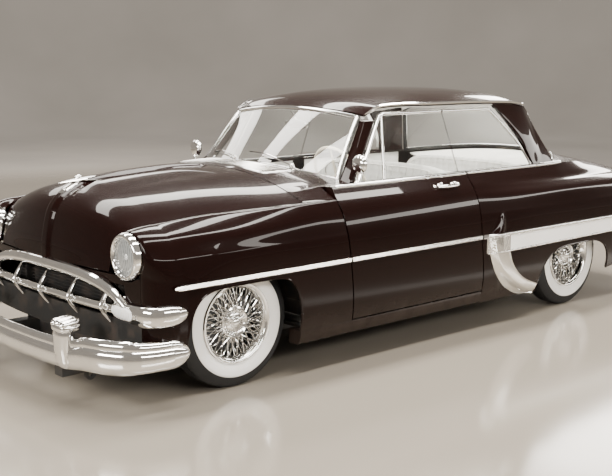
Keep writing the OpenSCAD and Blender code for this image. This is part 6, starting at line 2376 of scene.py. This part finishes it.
@dataclass
class Seat:
    """Bench seat: crowned cushion and leaning back, sewn in channels, with piped edges."""

    name: str
    node: str
    back_x: float
    low: float
    cushion: float
    top: float
    depth: float
    width: float
    lean: float = 7.5
    channels: int = 18

    def pad(self, part: str, centre: Array, half: Array, lean: float, face: int, coat: Coat,
            nodes: Sequence[str]) -> None:
        """One pad with sewn channels on its face.

        Args:
            part: what it is called.
            centre: its middle.
            half: its half sizes.
            lean: how far it is tipped back, in degrees.
            face: axis that the channels are sewn into: 2 for the top, 0 for the front.
            coat: what covers it.
            nodes: CAD nodes that it stands for.
        """
        block = rounded_block(half, 5.0, (36, 220, 30))
        points = np.concatenate(block.points)
        share = points / half
        on_face = ease((share[:, face] - 0.55) / 0.35) * ease((0.93 - np.abs(share[:, 1])) / 0.05)
        pitch = 2 * half[1] * 0.93 / self.channels
        away = np.abs((points[:, 1] / pitch + 0.5) % 1 - 0.5) * pitch
        groove = np.exp(-(away / 0.0045) ** 2)
        puff = np.cos(np.clip(away / (pitch / 2), 0, 1) * math.pi / 2)
        points[:, face] -= on_face * (0.0085 * groove + 0.004 * puff)
        seam_share = share[:, 0] if face == 2 else share[:, 2]
        band = np.exp(-((np.abs(seam_share - (0.7 if face == 2
                                              else 0.72)) * half[0 if face == 2 else 2]) / 0.005) ** 2)
        points[:, face] -= ease((share[:, face] - 0.5) / 0.4) * 0.006 * band
        wave = 0.0025 * np.sin(points[:, 1] * 9.0 + points[:, 0] * 14.0) * np.sin(points[:, 1] * 23.0)
        points[:, face] += ease(share[:, face]) * wave
        turn = tipped(lean)
        block.points = [points @ turn.T + centre]
        piece = block.piece(f"{self.name}_{part}", coat, "body", nodes, sharp=70)
        self.piping(part, centre, half, turn, face)

    def piping(self, part: str, centre: Array, half: Array, turn: Array, face: int) -> None:
        """Sewn cord round the pad's face."""
        t = span(160, 0, 2 * math.pi)[:-1]
        c, s = np.cos(t), np.sin(t)
        a = squared(c, 0.22)
        b = squared(s, 0.22)
        p = np.zeros((len(t), 3))
        other = 0 if face == 2 else 2
        p[:, face], p[:, 1], p[:, other] = 0.93, a, b
        p = p / ((np.abs(p) ** 5.0).sum(-1, keepdims=True) ** 0.2)
        path = (p * half * 1.002) @ turn.T + centre
        out = np.eye(3)[face] @ turn.T
        Shape().trim(path, oval(0.0035, 0.0035, 8), out, loop=True).piece(
            f"{self.name}_{part}_piping", Coat.BOLSTER)

    def build(self) -> None:
        """Makes both pads, the base and the back board."""
        thick = 0.165
        cushion_half = np.array([self.depth / 2 - 0.01, self.width / 2 - 0.004, thick / 2])
        centre = np.array([self.back_x + self.depth / 2 + 0.018, 0, self.cushion - thick / 2 - 0.004])
        self.pad("cushion", centre, cushion_half, 3.0, 2, Coat.CLOTH, [self.node])
        tall = self.top - self.cushion + 0.1
        back_half = np.array([0.066, self.width / 2 - 0.006, tall / 2])
        back_centre = np.array([self.back_x - 0.002, 0, self.cushion - 0.094 + tall / 2])
        self.pad("back", back_centre, back_half, self.lean, 0, Coat.CLOTH, [])
        base = rounded_block((self.depth / 2 - 0.03, self.width / 2 - 0.02,
                              (self.cushion - thick - self.low) / 2), 14.0, (20, 60, 10))
        Shape().merge(base, translated(self.back_x + self.depth / 2 + 0.012, 0,
                                       (self.cushion - thick + self.low) / 2)).piece(
            f"{self.name}_base", Coat.BOLSTER)
        board = rounded_block((0.01, self.width / 2 - 0.03, tall / 2 - 0.03), 12.0, (8, 60, 30))
        turn = np.eye(4)
        turn[:3, :3] = tipped(self.lean)
        turn[:3, 3] = back_centre - [0.06, 0, -0.002]
        Shape().merge(board, turn).piece(f"{self.name}_board", Coat.BOLSTER)


def translated(x: float, y: float, z: float) -> Array:
    """Matrix of a plain move."""
    matrix = np.eye(4)
    matrix[:3, 3] = (x, y, z)
    return matrix


COLUMN = (np.array([F - 0.9, 0.37, 0.87]), np.array([F - 1.13, 0.37, 0.985]))


@dataclass
class Dashboard:
    """Painted dash with a bright strip, dials, knobs, glovebox, column and column levers."""

    half: float = 0.6505
    profile: tuple[tuple[float, float], ...] = (
        (-0.863, 0.832), (-0.863, 0.962), (-0.87, 0.974), (-0.885, 0.982), (-0.902, 0.984),
        (-0.925, 0.981), (-0.946, 0.974), (-0.958, 0.964), (-0.966, 0.948), (-0.972, 0.932),
        (-0.97, 0.9), (-0.965, 0.868), (-0.96, 0.845), (-0.952, 0.838),
    )

    def face_x(self, z: float) -> float:
        """Front of the dash towards the seats."""
        return F + float(np.interp(z, [0.845, 0.868, 0.9, 0.932, 0.948],
                                   [-0.96, -0.965, -0.97, -0.972, -0.966]))

    def build(self) -> None:
        """Makes the panel and its fittings."""
        rings = np.array([[[F + x, y, z] for x, z in self.profile] for y in span(60, -self.half, self.half)])
        Shape().bar(rings).piece("dash_panel", Coat.DASH, replaces=["dashboard"], sharp=ROUNDED)
        strip = Shape()
        for z, tall in ((0.862, 0.01), (0.872, 0.004), (0.88, 0.004)):
            path = stacked(self.face_x(z) - 0.0005, span(60, -0.64, 0.64), z)
            strip.trim(path, half_round(tall, 0.005, 6), (-1, 0, 0))
        strip.piece("dash_strips", Coat.CHROME)
        self.dials()
        self.glovebox()
        self.column()

    def dials(self) -> None:
        """Speed dial and small gauges in bright bezels, with ticks and pointers."""
        bezels, faces, ticks = Shape(), Shape(), Shape()
        for y, z, r, marks in ((0.37, 0.918, 0.052, 13), (0.262, 0.916, 0.028, 7), (0.478, 0.916, 0.028, 7),
                               (0.0, 0.92, 0.036, 12)):
            base, out = (self.face_x(z), y, z), (-1, 0, 0)
            bezels.lathe([(r, -0.002), (r + 0.006, 0.002), (r + 0.005, 0.01), (r, 0.012), (r - 0.003, 0.006),
                          (r - 0.003, 0.0)], base, out, 56, loop=True)
            faces.lathe([(0.001, 0.0035), (r - 0.002, 0.0035), (r - 0.002, 0.001), (0.001, 0.001)], base, out,
                        48)
            for k in range(marks):
                a = math.radians(lerp(-130, 130, k / (marks - 1)) + 90)
                p = [[base[0] - 0.0045, y + rr * math.cos(a), z + rr * math.sin(a)]
                     for rr in (r * 0.74, r * 0.9)]
                ticks.tube(np.array(p), 0.0009, 5)
            p = [[base[0] - 0.006, y - 0.5 * r * t, z + 0.6 * r * t] for t in (-0.2, 0.5, 1.0)]
            ticks.tube(np.array(p), [0.0018, 0.0014, 0.0004], 6)
        for k, y in enumerate((-0.12, -0.06, 0.06, 0.12, 0.19, 0.55)):
            bezels.lathe([(0.001, 0.024), (0.008, 0.023), (0.01, 0.019), (0.009, 0.012), (0.005, 0.008),
                          (0.005, 0.0), (0.001, 0.0)],
                         (self.face_x(0.895), y, 0.893 + 0.004 * (k % 2)), (-1, 0, 0), 24)
        bezels.piece("dial_bezels", Coat.CHROME)
        faces.piece("dial_faces", Coat.DARK)
        ticks.piece("dial_marks", Coat.IVORY)

    def glovebox(self) -> None:
        """Lid of the glovebox with its catch, and a speaker grille."""
        part = Shape()
        loop = []
        for a in span(60, 0, 2 * math.pi)[:-1]:
            c, s = math.cos(a), math.sin(a)
            y = -0.37 + 0.15 * math.copysign(abs(c) ** 0.3, c)
            z = 0.915 + 0.03 * math.copysign(abs(s) ** 0.4, s)
            loop.append([self.face_x(z) - 0.0006, y, z])
        part.trim(np.array(loop), round_section(0.0022), (-1, 0, 0), loop=True)
        part.lathe([(0.001, 0.012), (0.008, 0.01), (0.009, 0.004), (0.009, -0.001), (0.001, -0.001)],
                   (self.face_x(0.915), -0.37, 0.93), (-1, 0, 0), 24)
        for k in range(9):
            y = (k - 4) * 0.011
            part.tube(stacked(self.face_x(0.85) - 0.001, y, (0.842, 0.85, 0.858)), 0.0018, 6)
        part.piece("glovebox_trim", Coat.CHROME)

    def column(self) -> None:
        """Steering column with its collar and two levers."""
        low, high = COLUMN
        way = unit(high - low)
        length = float(np.linalg.norm(high - low))
        part = Shape().lathe([(0.012, length - 0.041), (0.02, length - 0.042), (0.0245, length - 0.052),
                              (0.0245, length - 0.09), (0.0215, length - 0.1), (0.0215, 0.02), (0.03, 0.012),
                              (0.034, 0.0), (0.03, -0.02), (0.012, -0.02)],
                              low, way, 48, loop=True)
        part.piece("column_tube", Coat.DASH)
        levers = Shape()
        for side, lift in ((1, 0.01), (-1, 0.02)):
            root = lerp(low, high, 0.7)
            tip = root + np.array([-0.05, side * 0.15, 0.02 + lift])
            path = lerp(root, tip, span(10)[:, None]) + np.sin(span(10) * math.pi)[:, None] * [-0.01, 0, 0]
            levers.tube(path, np.interp(span(10), [0, 0.8, 0.85, 1], [0.005, 0.004, 0.0075, 0.0065]), 12)
        levers.piece("column_levers", Coat.CHROME)


@dataclass
class Helm:
    """Steering wheel: slim ivory rim, dished spokes, horn ring and boss."""

    radius: float = 0.204
    rim: float = 0.0108
    spokes: tuple[float, ...] = (10, 170, 270)

    def build(self) -> None:
        """Makes the wheel on its own axis and sets it on the column."""
        low, high = COLUMN
        way = unit(high - low)
        side = np.array([0.0, 1.0, 0.0])
        up = np.cross(way, side)
        base = low + way * (np.linalg.norm(high - low) - 0.04)
        matrix = np.eye(4)
        matrix[:3, 0], matrix[:3, 1], matrix[:3, 2], matrix[:3, 3] = side, up, way, base
        rim = Shape()
        turn = turns(120)
        ring = stacked(self.radius * np.cos(turn), self.radius * np.sin(turn), 0.044)
        size = 1 - 0.06 * (0.5 + 0.5 * np.cos(turn * 40)) * (np.sin(turn) < 0.2)
        rim.trim(ring, round_section(self.rim, 14), unit(ring - [0, 0, 0.044]), size, loop=True)
        for a in map(math.radians, self.spokes):
            path = np.array([[r * math.cos(a), r * math.sin(a), 0.024 + 0.02 * ease((r - 0.05) / 0.15)]
                             for r in span(20, 0.028, 0.198)])
            rim.trim(path, oval(0.0045, 0.012, 10), (0, 0, 1),
                     np.interp(span(20), [0, 0.25, 0.85, 1], [1.3, 0.9, 0.8, 1.1]))
        rim.lathe([(0.001, 0.006), (0.03, 0.006), (0.034, 0.012), (0.034, 0.03), (0.029, 0.037),
                   (0.001, 0.038)], *UPRIGHT, 48)
        rim.lathe([(0.001, -0.035), (0.0095, -0.035), (0.0095, 0.008), (0.001, 0.008)], *UPRIGHT, 24)
        Shape().merge(rim, matrix).piece("steering_wheel_rim", Coat.IVORY, "helm_body", ["steering_wheel"],
                                         sharp=ROUNDED)
        horn = Shape()
        ring = stacked(0.112 * np.cos(turn), 0.112 * np.sin(turn), 0.036)
        horn.trim(ring, round_section(0.0038, 10), unit(ring - [0, 0, 0.036]), loop=True)
        horn.lathe([(0.001, 0.0445), (0.01, 0.044), (0.02, 0.0415), (0.026, 0.0375), (0.027, 0.034),
                    (0.001, 0.034)], *UPRIGHT, 48)
        for a in map(math.radians, self.spokes):
            horn.tube(np.array([[r * math.cos(a), r * math.sin(a), 0.036] for r in span(8, 0.02, 0.112)]),
                      0.0032, 8)
        Shape().merge(horn, matrix).piece("horn_ring", Coat.CHROME, "helm_body", sharp=ROUNDED)


@dataclass
class Cabin:
    """Carpets, parcel shelf, side trim and the interior mirror."""

    def build(self) -> None:
        """Makes the cabin's linings."""
        kick = R + 0.56
        sheet = Shape()
        x, y = span(50, kick + 0.004, F - 0.47), span(50, -0.796, 0.796)
        ridge = 0.03 * ease((0.16 - np.abs(y)) / 0.08)
        top = stacked(x[:, None], y[None, :], 0.2665 + ridge[None, :])
        sheet.wall(top, top - [0, 0, 0.005])
        x2 = span(30, R + 0.1, kick - 0.024)
        y2 = span(40, -0.588, 0.588)
        top = stacked(x2[:, None], y2[None, :], 0.4765 * np.ones((1, 41)))
        sheet.wall(top, top - [0, 0, 0.005])
        riser = stacked(kick + 0.003, y2[None, :], span(10, 0.268, 0.476)[:, None])
        sheet.wall(riser, riser - [0.0025, 0, 0])
        sheet.piece("floor_carpet", Coat.CARPET)
        toe = Shape()
        s = span(14)[:, None]
        rows = stacked(F - 0.47 - 0.09 * (1 - s), span(30, -0.7, 0.7), 0.27 + 0.44 * s)
        toe.wall(rows, rows + [0.006, 0, 0]).piece("toe_board", Coat.CARPET)
        trunk = Shape()
        rows = stacked(span(30, BODY.tail_x + 0.03, R - 0.1)[:, None], span(40, -0.585, 0.585)[None, :],
                       0.4755 * np.ones((1, 1)))
        trunk.wall(rows, rows - [0, 0, 0.004]).piece("trunk_mat", Coat.CARPET)
        shelf = Shape()
        v = span(50, -1, 1)
        back = BODY.rear_base(v * 0.97) - [0, 0, 0.03]
        front = stacked(R + 0.085, 0.56 * v, 0.96)
        rows = lerp(front[None], back[None], span(16)[:, None, None])
        shelf.wall(rows, rows - [0, 0, 0.01]).piece("parcel_shelf", Coat.LINER)
        self.side_trim()
        self.mirror()

    def side_trim(self) -> None:
        """Trim beside the rear seat, and the garnish over the dash."""
        part = Shape()
        x = span(40, R + 0.11, R + 1.095)
        z = span(24, 0.47, 0.985)
        y = 0.735 - 0.06 * ease((0.62 - z) / 0.2)
        rows = stacked(x[None, :], y[:, None], z[:, None])
        puff = 0.003 * np.abs(np.sin(x * 34))[None, :] * np.ones((25, 1))
        part.wall(rows - puff[..., None] * [0, 1, 0], rows + [0, 0.008, 0])
        part.both().piece("rear_side_trim", Coat.BOLSTER)
        cap = Shape()
        v = span(60, -0.98, 0.98)
        front = BODY.wind_base(v) - [0.012, 0, 0.026]
        back = stacked(np.full_like(v, F - 0.89), 0.645 * v, 0.9835)
        rows = lerp(back[None], front[None], span(12)[:, None, None])
        cap.wall(rows, rows - [0, 0, 0.008]).piece("dash_cap", Coat.DASH)

    def mirror(self) -> None:
        """Interior mirror on its stalk."""
        top = BODY.wind_head(np.array(0.0)) + [-0.016, 0, -0.02]
        part = Shape()
        path = np.array([top + [-0.05 * t, 0, -0.05 * t - 0.02 * t * t] for t in span(10)])
        part.tube(path, 0.0048, 10)
        a = turns(40)
        c, s = np.cos(a), np.sin(a)
        rings = []
        for dx, k in ((0.012, 0.8), (0.009, 0.96), (0.0, 1.0), (-0.004, 0.99)):
            rings.append(stacked(path[-1][0] + dx, 0.105 * k * squared(c, 0.5), path[-1][2] - 0.018
                                 + 0.028 * k * squared(s, 0.7)))
        part.bar(np.array(rings)).piece("cabin_mirror", Coat.CHROME, sharp=ROUNDED)


# ---------------------------------------------------------------- under the body
@dataclass
class Running:
    """Finishes and small fittings of the frame, engine, axles, pipes and tank."""

    coats: dict[str, Coat] = field(default_factory=lambda: {
        "chassis_frame": Coat.FRAME, "front_suspension": Coat.FRAME, "rear_suspension": Coat.FRAME,
        "driveshaft": Coat.FRAME, "exhaust": Coat.PIPE, "fuel_tank": Coat.UNDER, "knuckle_left": Coat.CAST,
        "knuckle_right": Coat.CAST, "floor_pan": Coat.UNDER, "inner_panels": Coat.UNDER})

    def build(self) -> None:
        """Dresses the CAD nodes and adds the engine bay's pieces."""
        for node, coat in self.coats.items():
            obj = FRAME["nodes"][node]
            for slot in obj.material_slots:
                slot.material = material(coat.value)
            edge = obj.modifiers.new("rounded edges", "BEVEL")
            edge.width, edge.segments, edge.limit_method = 0.003, 2, "ANGLE"
            edge.angle_limit = math.radians(50)
        self.engine()
        self.springs()
        self.bay()
        self.exhaust()

    def engine(self) -> None:
        """Vee engine: block, heads, ribbed covers, air cleaner, fan and radiator."""
        part = Shape()
        body = [(-0.105, 0.242), (0.105, 0.242), (0.125, 0.33), (0.125, 0.4), (0.165, 0.55), (0.08, 0.64),
                (-0.08, 0.64), (-0.165, 0.55), (-0.125, 0.4), (-0.125, 0.33)]
        part.bar(np.array([[[x, y * k, z] for y, z in body] for x,
                           k in ((F - 0.375, 0.86), (F - 0.36, 1.0), (F + 0.19, 1.0), (F + 0.205, 0.9))]))
        part.lathe([(0.001, -0.02), (0.1, -0.02), (0.135, 0.01), (0.145, 0.1), (0.001, 0.1)],
                   (F - 0.43, 0, 0.335), (1, 0, 0), 48)
        gear = [(0.001, 0.0), (0.045, 0.0), (0.06, 0.08), (0.075, 0.26), (0.11, 0.34), (0.001, 0.34)]
        part.lathe(gear, (F - 0.757, 0, 0.252), (1, 0, 0), 36)
        part.piece("engine_block", Coat.CAST, replaces=["engine"], bevel=0.004)
        covers = Shape()
        for side in (1, -1):
            base = np.array([0, side * 0.132, 0.612])
            path = np.array([base + [x, 0, 0] for x in span(30, F - 0.34, F + 0.17)])
            out = unit(np.array([0.0, side * 0.6, 0.8]))
            size = np.interp(span(30), [0, 0.03, 0.97, 1], [0.8, 1, 1, 0.8])
            covers.trim(path, [(-0.02, -0.058), (0.028, -0.052), (0.044, -0.034), (0.05, 0.0), (0.044, 0.034),
                               (0.028, 0.052), (-0.02, 0.058)], out, size)
            for k in range(7):
                x = lerp(F - 0.3, F + 0.13, k / 6)
                covers.tube(np.array([base + [x, 0, 0] + out * 0.05 + np.cross(out, [1, 0, 0]) * w
                                      for w in span(8, -0.03, 0.03)]), 0.0042, 8)
        covers.piece("engine_covers", Coat.SATIN, bevel=0.003)
        cleaner = Shape().lathe([(0.001, 0.0), (0.11, 0.0), (0.16, 0.012), (0.168, 0.03), (0.168, 0.056),
                                 (0.16, 0.068), (0.1, 0.08), (0.06, 0.088), (0.02, 0.09), (0.016, 0.098),
                                 (0.001, 0.099)], (F - 0.08, 0, 0.69), (0, 0, 1), 72)
        cleaner.lathe([(0.05, 0.0), (0.055, 0.05), (0.001, 0.05)], (F - 0.08, 0, 0.64), (0, 0, 1), 32)
        cleaner.piece("air_cleaner", Coat.FRAME)
        manifold = Shape()
        for side in (1, -1):
            for k in range(4):
                x = lerp(F - 0.28, F + 0.1, k / 3)
                path = np.array([[x, side * (0.135 + 0.055 * t), 0.5 - 0.1 * t * t] for t in span(8)])
                manifold.tube(path, 0.018, 12)
            manifold.tube(np.array([[x, side * 0.19, 0.395 - 0.03 * (F + 0.1 - x)]
                                    for x in span(14, F + 0.12, F - 0.33)]), 0.024, 14)
        manifold.piece("exhaust_manifolds", Coat.PIPE)
        fan = Shape()
        for k in range(4):
            a = k * math.pi / 2 + 0.3
            rings = []
            for r in span(10, 0.025, 0.185):
                c = np.array([F + 0.285, r * math.cos(a), 0.5 + r * math.sin(a)])
                t = np.array([0.01, -0.03 * math.sin(a), 0.03 * math.cos(a)]) * (1 + 0.5 * r / 0.185)
                w = np.array([0.0015, 0, 0])
                rings.append([c - t - w, c + t - w, c + t + w, c - t + w])
            fan.bar(np.array(rings))
        fan.lathe([(0.001, 0.045), (0.03, 0.04), (0.034, 0.0), (0.06, -0.004), (0.062, -0.03),
                   (0.055, -0.034), (0.001, -0.034)], (F + 0.275, 0, 0.5), (1, 0, 0), 36)
        fan.lathe([(0.001, 0.01), (0.085, 0.01), (0.085, -0.012), (0.001, -0.012)], (F + 0.232, 0, 0.365),
                  (1, 0, 0), 36)
        fan.piece("engine_fan", Coat.FRAME)
        belt = Shape()
        loop = np.array([[F + 0.234, 0.064 * math.cos(a) if a < math.pi else 0.086 * math.cos(a),
                          0.5 + 0.064 * math.sin(a) if a < math.pi else 0.365 + 0.086 * math.sin(a)]
                         for a in span(48, 0, 2 * math.pi)[:-1]])
        belt.trim(loop, slab(-0.004, 0.006, 0.004, 0.006), unit(loop - [F + 0.234, 0, 0.43]), loop=True)
        belt.piece("fan_belt", Coat.SEAL)
        self.radiator()

    def radiator(self) -> None:
        """Finned core between two tanks, with its cap and hoses."""
        x = F + 0.455
        tank = Shape()
        for z0, z1 in ((0.62, 0.678), (0.242, 0.292)):
            rings = np.array([[[x + 0.024 * k, y, lerp(z0, z1, (s + 1) / 2)] for k,
                               s in ((-1, -0.9), (-0.8, -1), (0.8, -1), (1, -0.9), (1, 0.8), (0.7, 1),
                                     (-0.7, 1), (-1, 0.8))]
                              for y in span(20, -0.288, 0.288)])
            tank.bar(rings)
        for y in (-0.286, 0.286):
            tank.tube(stacked(x, y, span(8, 0.28, 0.63)), 0.012, 10)
        tank.lathe([(0.001, 0.03), (0.022, 0.028), (0.026, 0.02), (0.026, 0.006), (0.018, 0.0), (0.001, 0.0)],
                   (x, 0, 0.676), (0, 0, 1), 28)
        tank.piece("radiator_tanks", Coat.FRAME)
        core = Shape()
        for k in range(60):
            y = lerp(-0.272, 0.272, k / 59)
            core.tube(stacked(x + 0.01 * ((k % 2) * 2 - 1), y, span(4, 0.29, 0.622)), 0.0032, 6)
        for z in np.linspace(0.3, 0.61, 24):
            core.tube(stacked(x, span(6, -0.28, 0.28), z), 0.0016, 5)
        core.piece("radiator_core", Coat.UNDER)
        hoses = Shape()
        for y, z0, z1, r in ((0.1, 0.65, 0.61, 0.021), (-0.14, 0.27, 0.34, 0.023)):
            path = np.array([[lerp(x - 0.02, F + 0.205, t), lerp(y, y * 0.4, t),
                              lerp(z0, z1, t) + 0.02 * math.sin(math.pi * t)] for t in span(16)])
            hoses.tube(path, r, 16)
        hoses.piece("radiator_hoses", Coat.SEAL)

    def springs(self) -> None:
        """Front coils and dampers."""
        coils, dampers = Shape(), Shape()
        windings = 6.5
        path = []
        for t in span(200):
            a = t * windings * 2 * math.pi
            path.append([F + 0.046 * math.cos(a), 0.535 + 0.046 * math.sin(a), 0.262 + 0.17 * t])
        coils.tube(np.array(path), 0.0065, 8)
        dampers.lathe([(0.001, 0.0), (0.016, 0.0), (0.022, 0.01), (0.022, 0.09), (0.012, 0.1), (0.012, 0.165),
                       (0.001, 0.17)], (F, 0.535, 0.26), (0, 0, 1), 24)
        coils.both().piece("front_coils", Coat.FRAME)
        dampers.both().piece("front_dampers", Coat.PIPE)

    def bay(self) -> None:
        """Battery, heater box and wiring on the firewall."""
        part = Shape()
        block = rounded_block((0.085, 0.13, 0.09), 16.0, (10, 14, 10))
        part.merge(block, translated(F + 0.33, 0.3, 0.52))
        for y in (0.23, 0.37):
            part.lathe([(0.001, 0.018), (0.009, 0.017), (0.01, 0.0), (0.001, 0.0)], (F + 0.33, y, 0.607),
                       (0, 0, 1), 20)
        part.piece("battery", Coat.SEAL, bevel=0.002)
        box = rounded_block((0.05, 0.15, 0.11), 14.0, (10, 16, 14))
        Shape().merge(box, translated(F - 0.395, -0.33, 0.8)).piece("heater_box", Coat.FRAME)
        wires = Shape()
        for k in range(3):
            path = np.array([[F - 0.43 + 0.74 * t, 0.26 + 0.12 * t + 0.01 * k,
                              0.84 - 0.2 * t + 0.02 * math.sin(t * 7 + k)] for t in span(24)])
            wires.tube(path, 0.004, 7)
        wires.piece("engine_wiring", Coat.SEAL)

    def exhaust(self) -> None:
        """Rolled tip on the tailpipe and bands on the silencer."""
        y, z = -0.25, 0.15 - 0.022 - SEAM
        part = Shape()
        for x in (F - 2.0 + 0.05, F - 2.0 + 0.51):
            part.lathe(slab(0.0515, 0.012, 0.0545, 0.01), (x, y, z), (1, 0, 0), 40, loop=True)
        x = float(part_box("exhaust")[0][0])
        part.lathe([(0.0215, 0.0), (0.0245, 0.001), (0.0245, 0.06), (0.0222, 0.064), (0.0222, 0.066),
                    (0.02, 0.06), (0.02, 0.0)], (x + 0.0005, y, z), (1, 0, 0), 32, loop=True)
        part.piece("exhaust_bands", Coat.PIPE)


@dataclass
class Wells:
    """Dark inner panels behind the wheels."""

    def build(self) -> None:
        """Makes the four panels and the roofs over the tyres."""
        part = Shape()
        arch = 0.405
        for x, inner, outer, reach, low in ((R, 0.585, 0.9, 0.43, 0.33), (F, 0.52, 0.89, 0.425, 0.45)):
            turn = span(40, math.radians(172), math.radians(8))
            roof = np.array([stacked(x + reach * np.cos(turn), v, TYRE_RADIUS + arch * np.sin(turn))
                             for v in span(6, inner, outer)])
            part.wall(roof, roof + [0, 0, 0.004])
            plate = np.array([stacked(x + reach * np.cos(turn), inner,
                                      lerp(low, TYRE_RADIUS + arch * np.sin(turn), t)) for t in span(4)])
            plate[..., 2] = np.maximum(plate[..., 2], low)
            part.wall(plate, plate - [0, 0.004, 0])
        part.both().piece("wheel_wells", Coat.UNDER)


# ---------------------------------------------------------------- studio
LAMPS = (
    ("overhead", (0.0, 0.2, 4.6), (0, 0, 0.4), (7.5, 0.8), 700),
    ("overhead_left", (0.0, 2.4, 4.6), (0, 0, 0.6), (7.5, 0.5), 480),
    ("overhead_right", (0.0, -2.4, 4.4), (0, 0, 0.6), (7.5, 0.7), 380),
    ("left_bank", (1.2, 7.6, 3.4), (0, 0, 0.6), (7.0, 0.8), 460),
    ("front_bank", (8.2, 1.2, 3.0), (0.5, 0, 0.6), (4.0, 1.2), 420),
    ("side_band", (-8.5, 7.5, 3.5), (0, 0.9, 0.8), (12.0, 0.7), 420),
    ("cabin_fill", (-0.55, 0, 1.4), (-0.55, 0, 0), (1.3, 0.9), 16),
    ("far_floor", (-2.0, -9.0, 5.0), (-2.2, -8.6, 0), (8.0, 3.0), 520),
    ("rear_bank", (-7.5, -2.0, 3.4), (-0.5, 0, 0.8), (4.0, 1.4), 320),
)


@dataclass
class StudioSet:
    """Pale floor curving into a warm backdrop, large soft lamps and the camera."""

    floor: tuple[float, float, float] = (0.255, 0.228, 0.19)
    wall: tuple[float, float, float] = (0.215, 0.195, 0.172)
    spot: tuple[float, float, float] = (4.8373, 4.9627, 1.6676)
    yaw: float = 41.7223
    pitch: float = 9.4521
    lens: float = 61.65
    flat: float = 18.0
    bend: float = 4.0
    top: float = 12.0
    warm: tuple[float, float, float] = (1.0, 0.95, 0.88)
    air: tuple[float, float, float, float] = (0.6, 0.545, 0.48, 1)
    air_strength: float = 0.55

    def build(self) -> None:
        """Makes everything that isn't the car."""
        self.backdrop()
        self.lamps()
        self.camera()
        world = bpy.data.worlds.new("studio air")
        world.use_nodes = True
        back = world.node_tree.nodes["Background"]
        back.inputs[0].default_value = self.air
        back.inputs[1].default_value = self.air_strength
        bpy.context.scene.world = world

    def backdrop(self) -> None:
        """Floor and walls as one smooth sweep round the car."""
        rings = []
        turn = turns(128)
        profile = [(0.001, 0.0), (2.0, 0.0), (5.0, 0.0), (9.0, 0.0), (self.flat, 0.0)]
        profile += [(self.flat + self.bend * math.sin(a), self.bend - self.bend * math.cos(a))
                    for a in span(16, 0, math.pi / 2)[1:]]
        profile += [(self.flat + self.bend, 2 * self.bend), (self.flat + self.bend, self.top)]
        for r, z in profile:
            rings.append(stacked(r * np.cos(turn), r * np.sin(turn), z))
        mesh = bpy.data.meshes.new("studio_sweep")
        shape = Shape().grid(np.array(rings), wrap=True)
        mesh.from_pydata(np.concatenate(shape.points).tolist(), [], shape.faces)
        mesh.shade_smooth()
        mesh.materials.append(material(Studio("studio paint", tone(*self.floor), tone(*self.wall))))
        sweep = bpy.data.objects.new("studio_sweep", mesh)
        bpy.context.scene.collection.objects.link(sweep)
        sweep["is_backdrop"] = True

    def lamp(
        self, name: str, at: Sequence[float], aim: Sequence[float], size: tuple[float, float], power: float,
    ) -> None:
        """One large soft lamp.

        Args:
            name: what it is called.
            at: where it stands.
            aim: the point that it faces.
            size: its width and height.
            power: its strength, in watts.
        """
        light = bpy.data.lights.new(name, "AREA")
        light.shape, light.size, light.size_y = "RECTANGLE", size[0], size[1]
        light.energy, light.color = power, self.warm
        obj = bpy.data.objects.new(name, light)
        obj.location = at
        obj.rotation_euler = (Vector(aim) - Vector(at)).to_track_quat("-Z", "Y").to_euler()
        bpy.context.scene.collection.objects.link(obj)

    def lamps(self) -> None:
        """Sets the banks of lamps over and round the car."""
        for values in LAMPS:
            self.lamp(*values)

    def camera(self) -> None:
        """Camera at the front three-quarter view."""
        yaw, pitch = math.radians(self.yaw), math.radians(self.pitch)
        forward = Vector((-math.sin(yaw) * math.cos(pitch), -math.cos(yaw) * math.cos(pitch),
                          -math.sin(pitch)))
        right = Vector((-math.cos(yaw), math.sin(yaw), 0))
        up = right.cross(forward)
        data = bpy.data.cameras.new("camera")
        data.lens, data.sensor_width, data.sensor_fit = self.lens, 36.0, "HORIZONTAL"
        data.clip_start, data.clip_end = 0.05, 60
        camera = bpy.data.objects.new("camera", data)
        frame = Matrix((right, up, -forward)).transposed().to_4x4()
        frame.translation = Vector(self.spot)
        camera.matrix_world = frame
        bpy.context.scene.collection.objects.link(camera)
        bpy.context.scene.camera = camera


def main() -> None:
    """Builds every sub-assembly in order."""
    logging.basicConfig(level=logging.INFO, format="%(name)s: %(message)s")
    parts = [
        Fenders(), Hood(), Cowl(), Roof(), Quarters(), Tail(), Nose(), Rockers(), FixedGlass(), Doors(),
        SideStrip(), QuarterTrim(), FRONT_BUMPER, REAR_BUMPER, Grille(), Lamps(), RearTrim(),
        Wheel("front_left", F, FRONT_TRACK), Wheel("front_right", F, -FRONT_TRACK),
        Wheel("rear_left", R, REAR_TRACK), Wheel("rear_right", R, -REAR_TRACK),
        Seat("front_seat", "front_seat", F - 1.86, 0.262, 0.56, 1.008, 0.52, 1.24),
        Seat("rear_seat", "rear_seat", R + 0.19, 0.472, 0.6, 0.984, 0.48, 1.16),
        Dashboard(), Helm(), Cabin(), Running(), Wells(), StudioSet()]
    for part in parts:
        part.build()
    sizes = {"cad": CAD_BOX, "visual": [list(corner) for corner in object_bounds()]}
    ({key: [[round(float(v), 5) for v in corner] for corner in box] for key,
               box in sizes.items()})


if __name__ == "__main__":
    main()
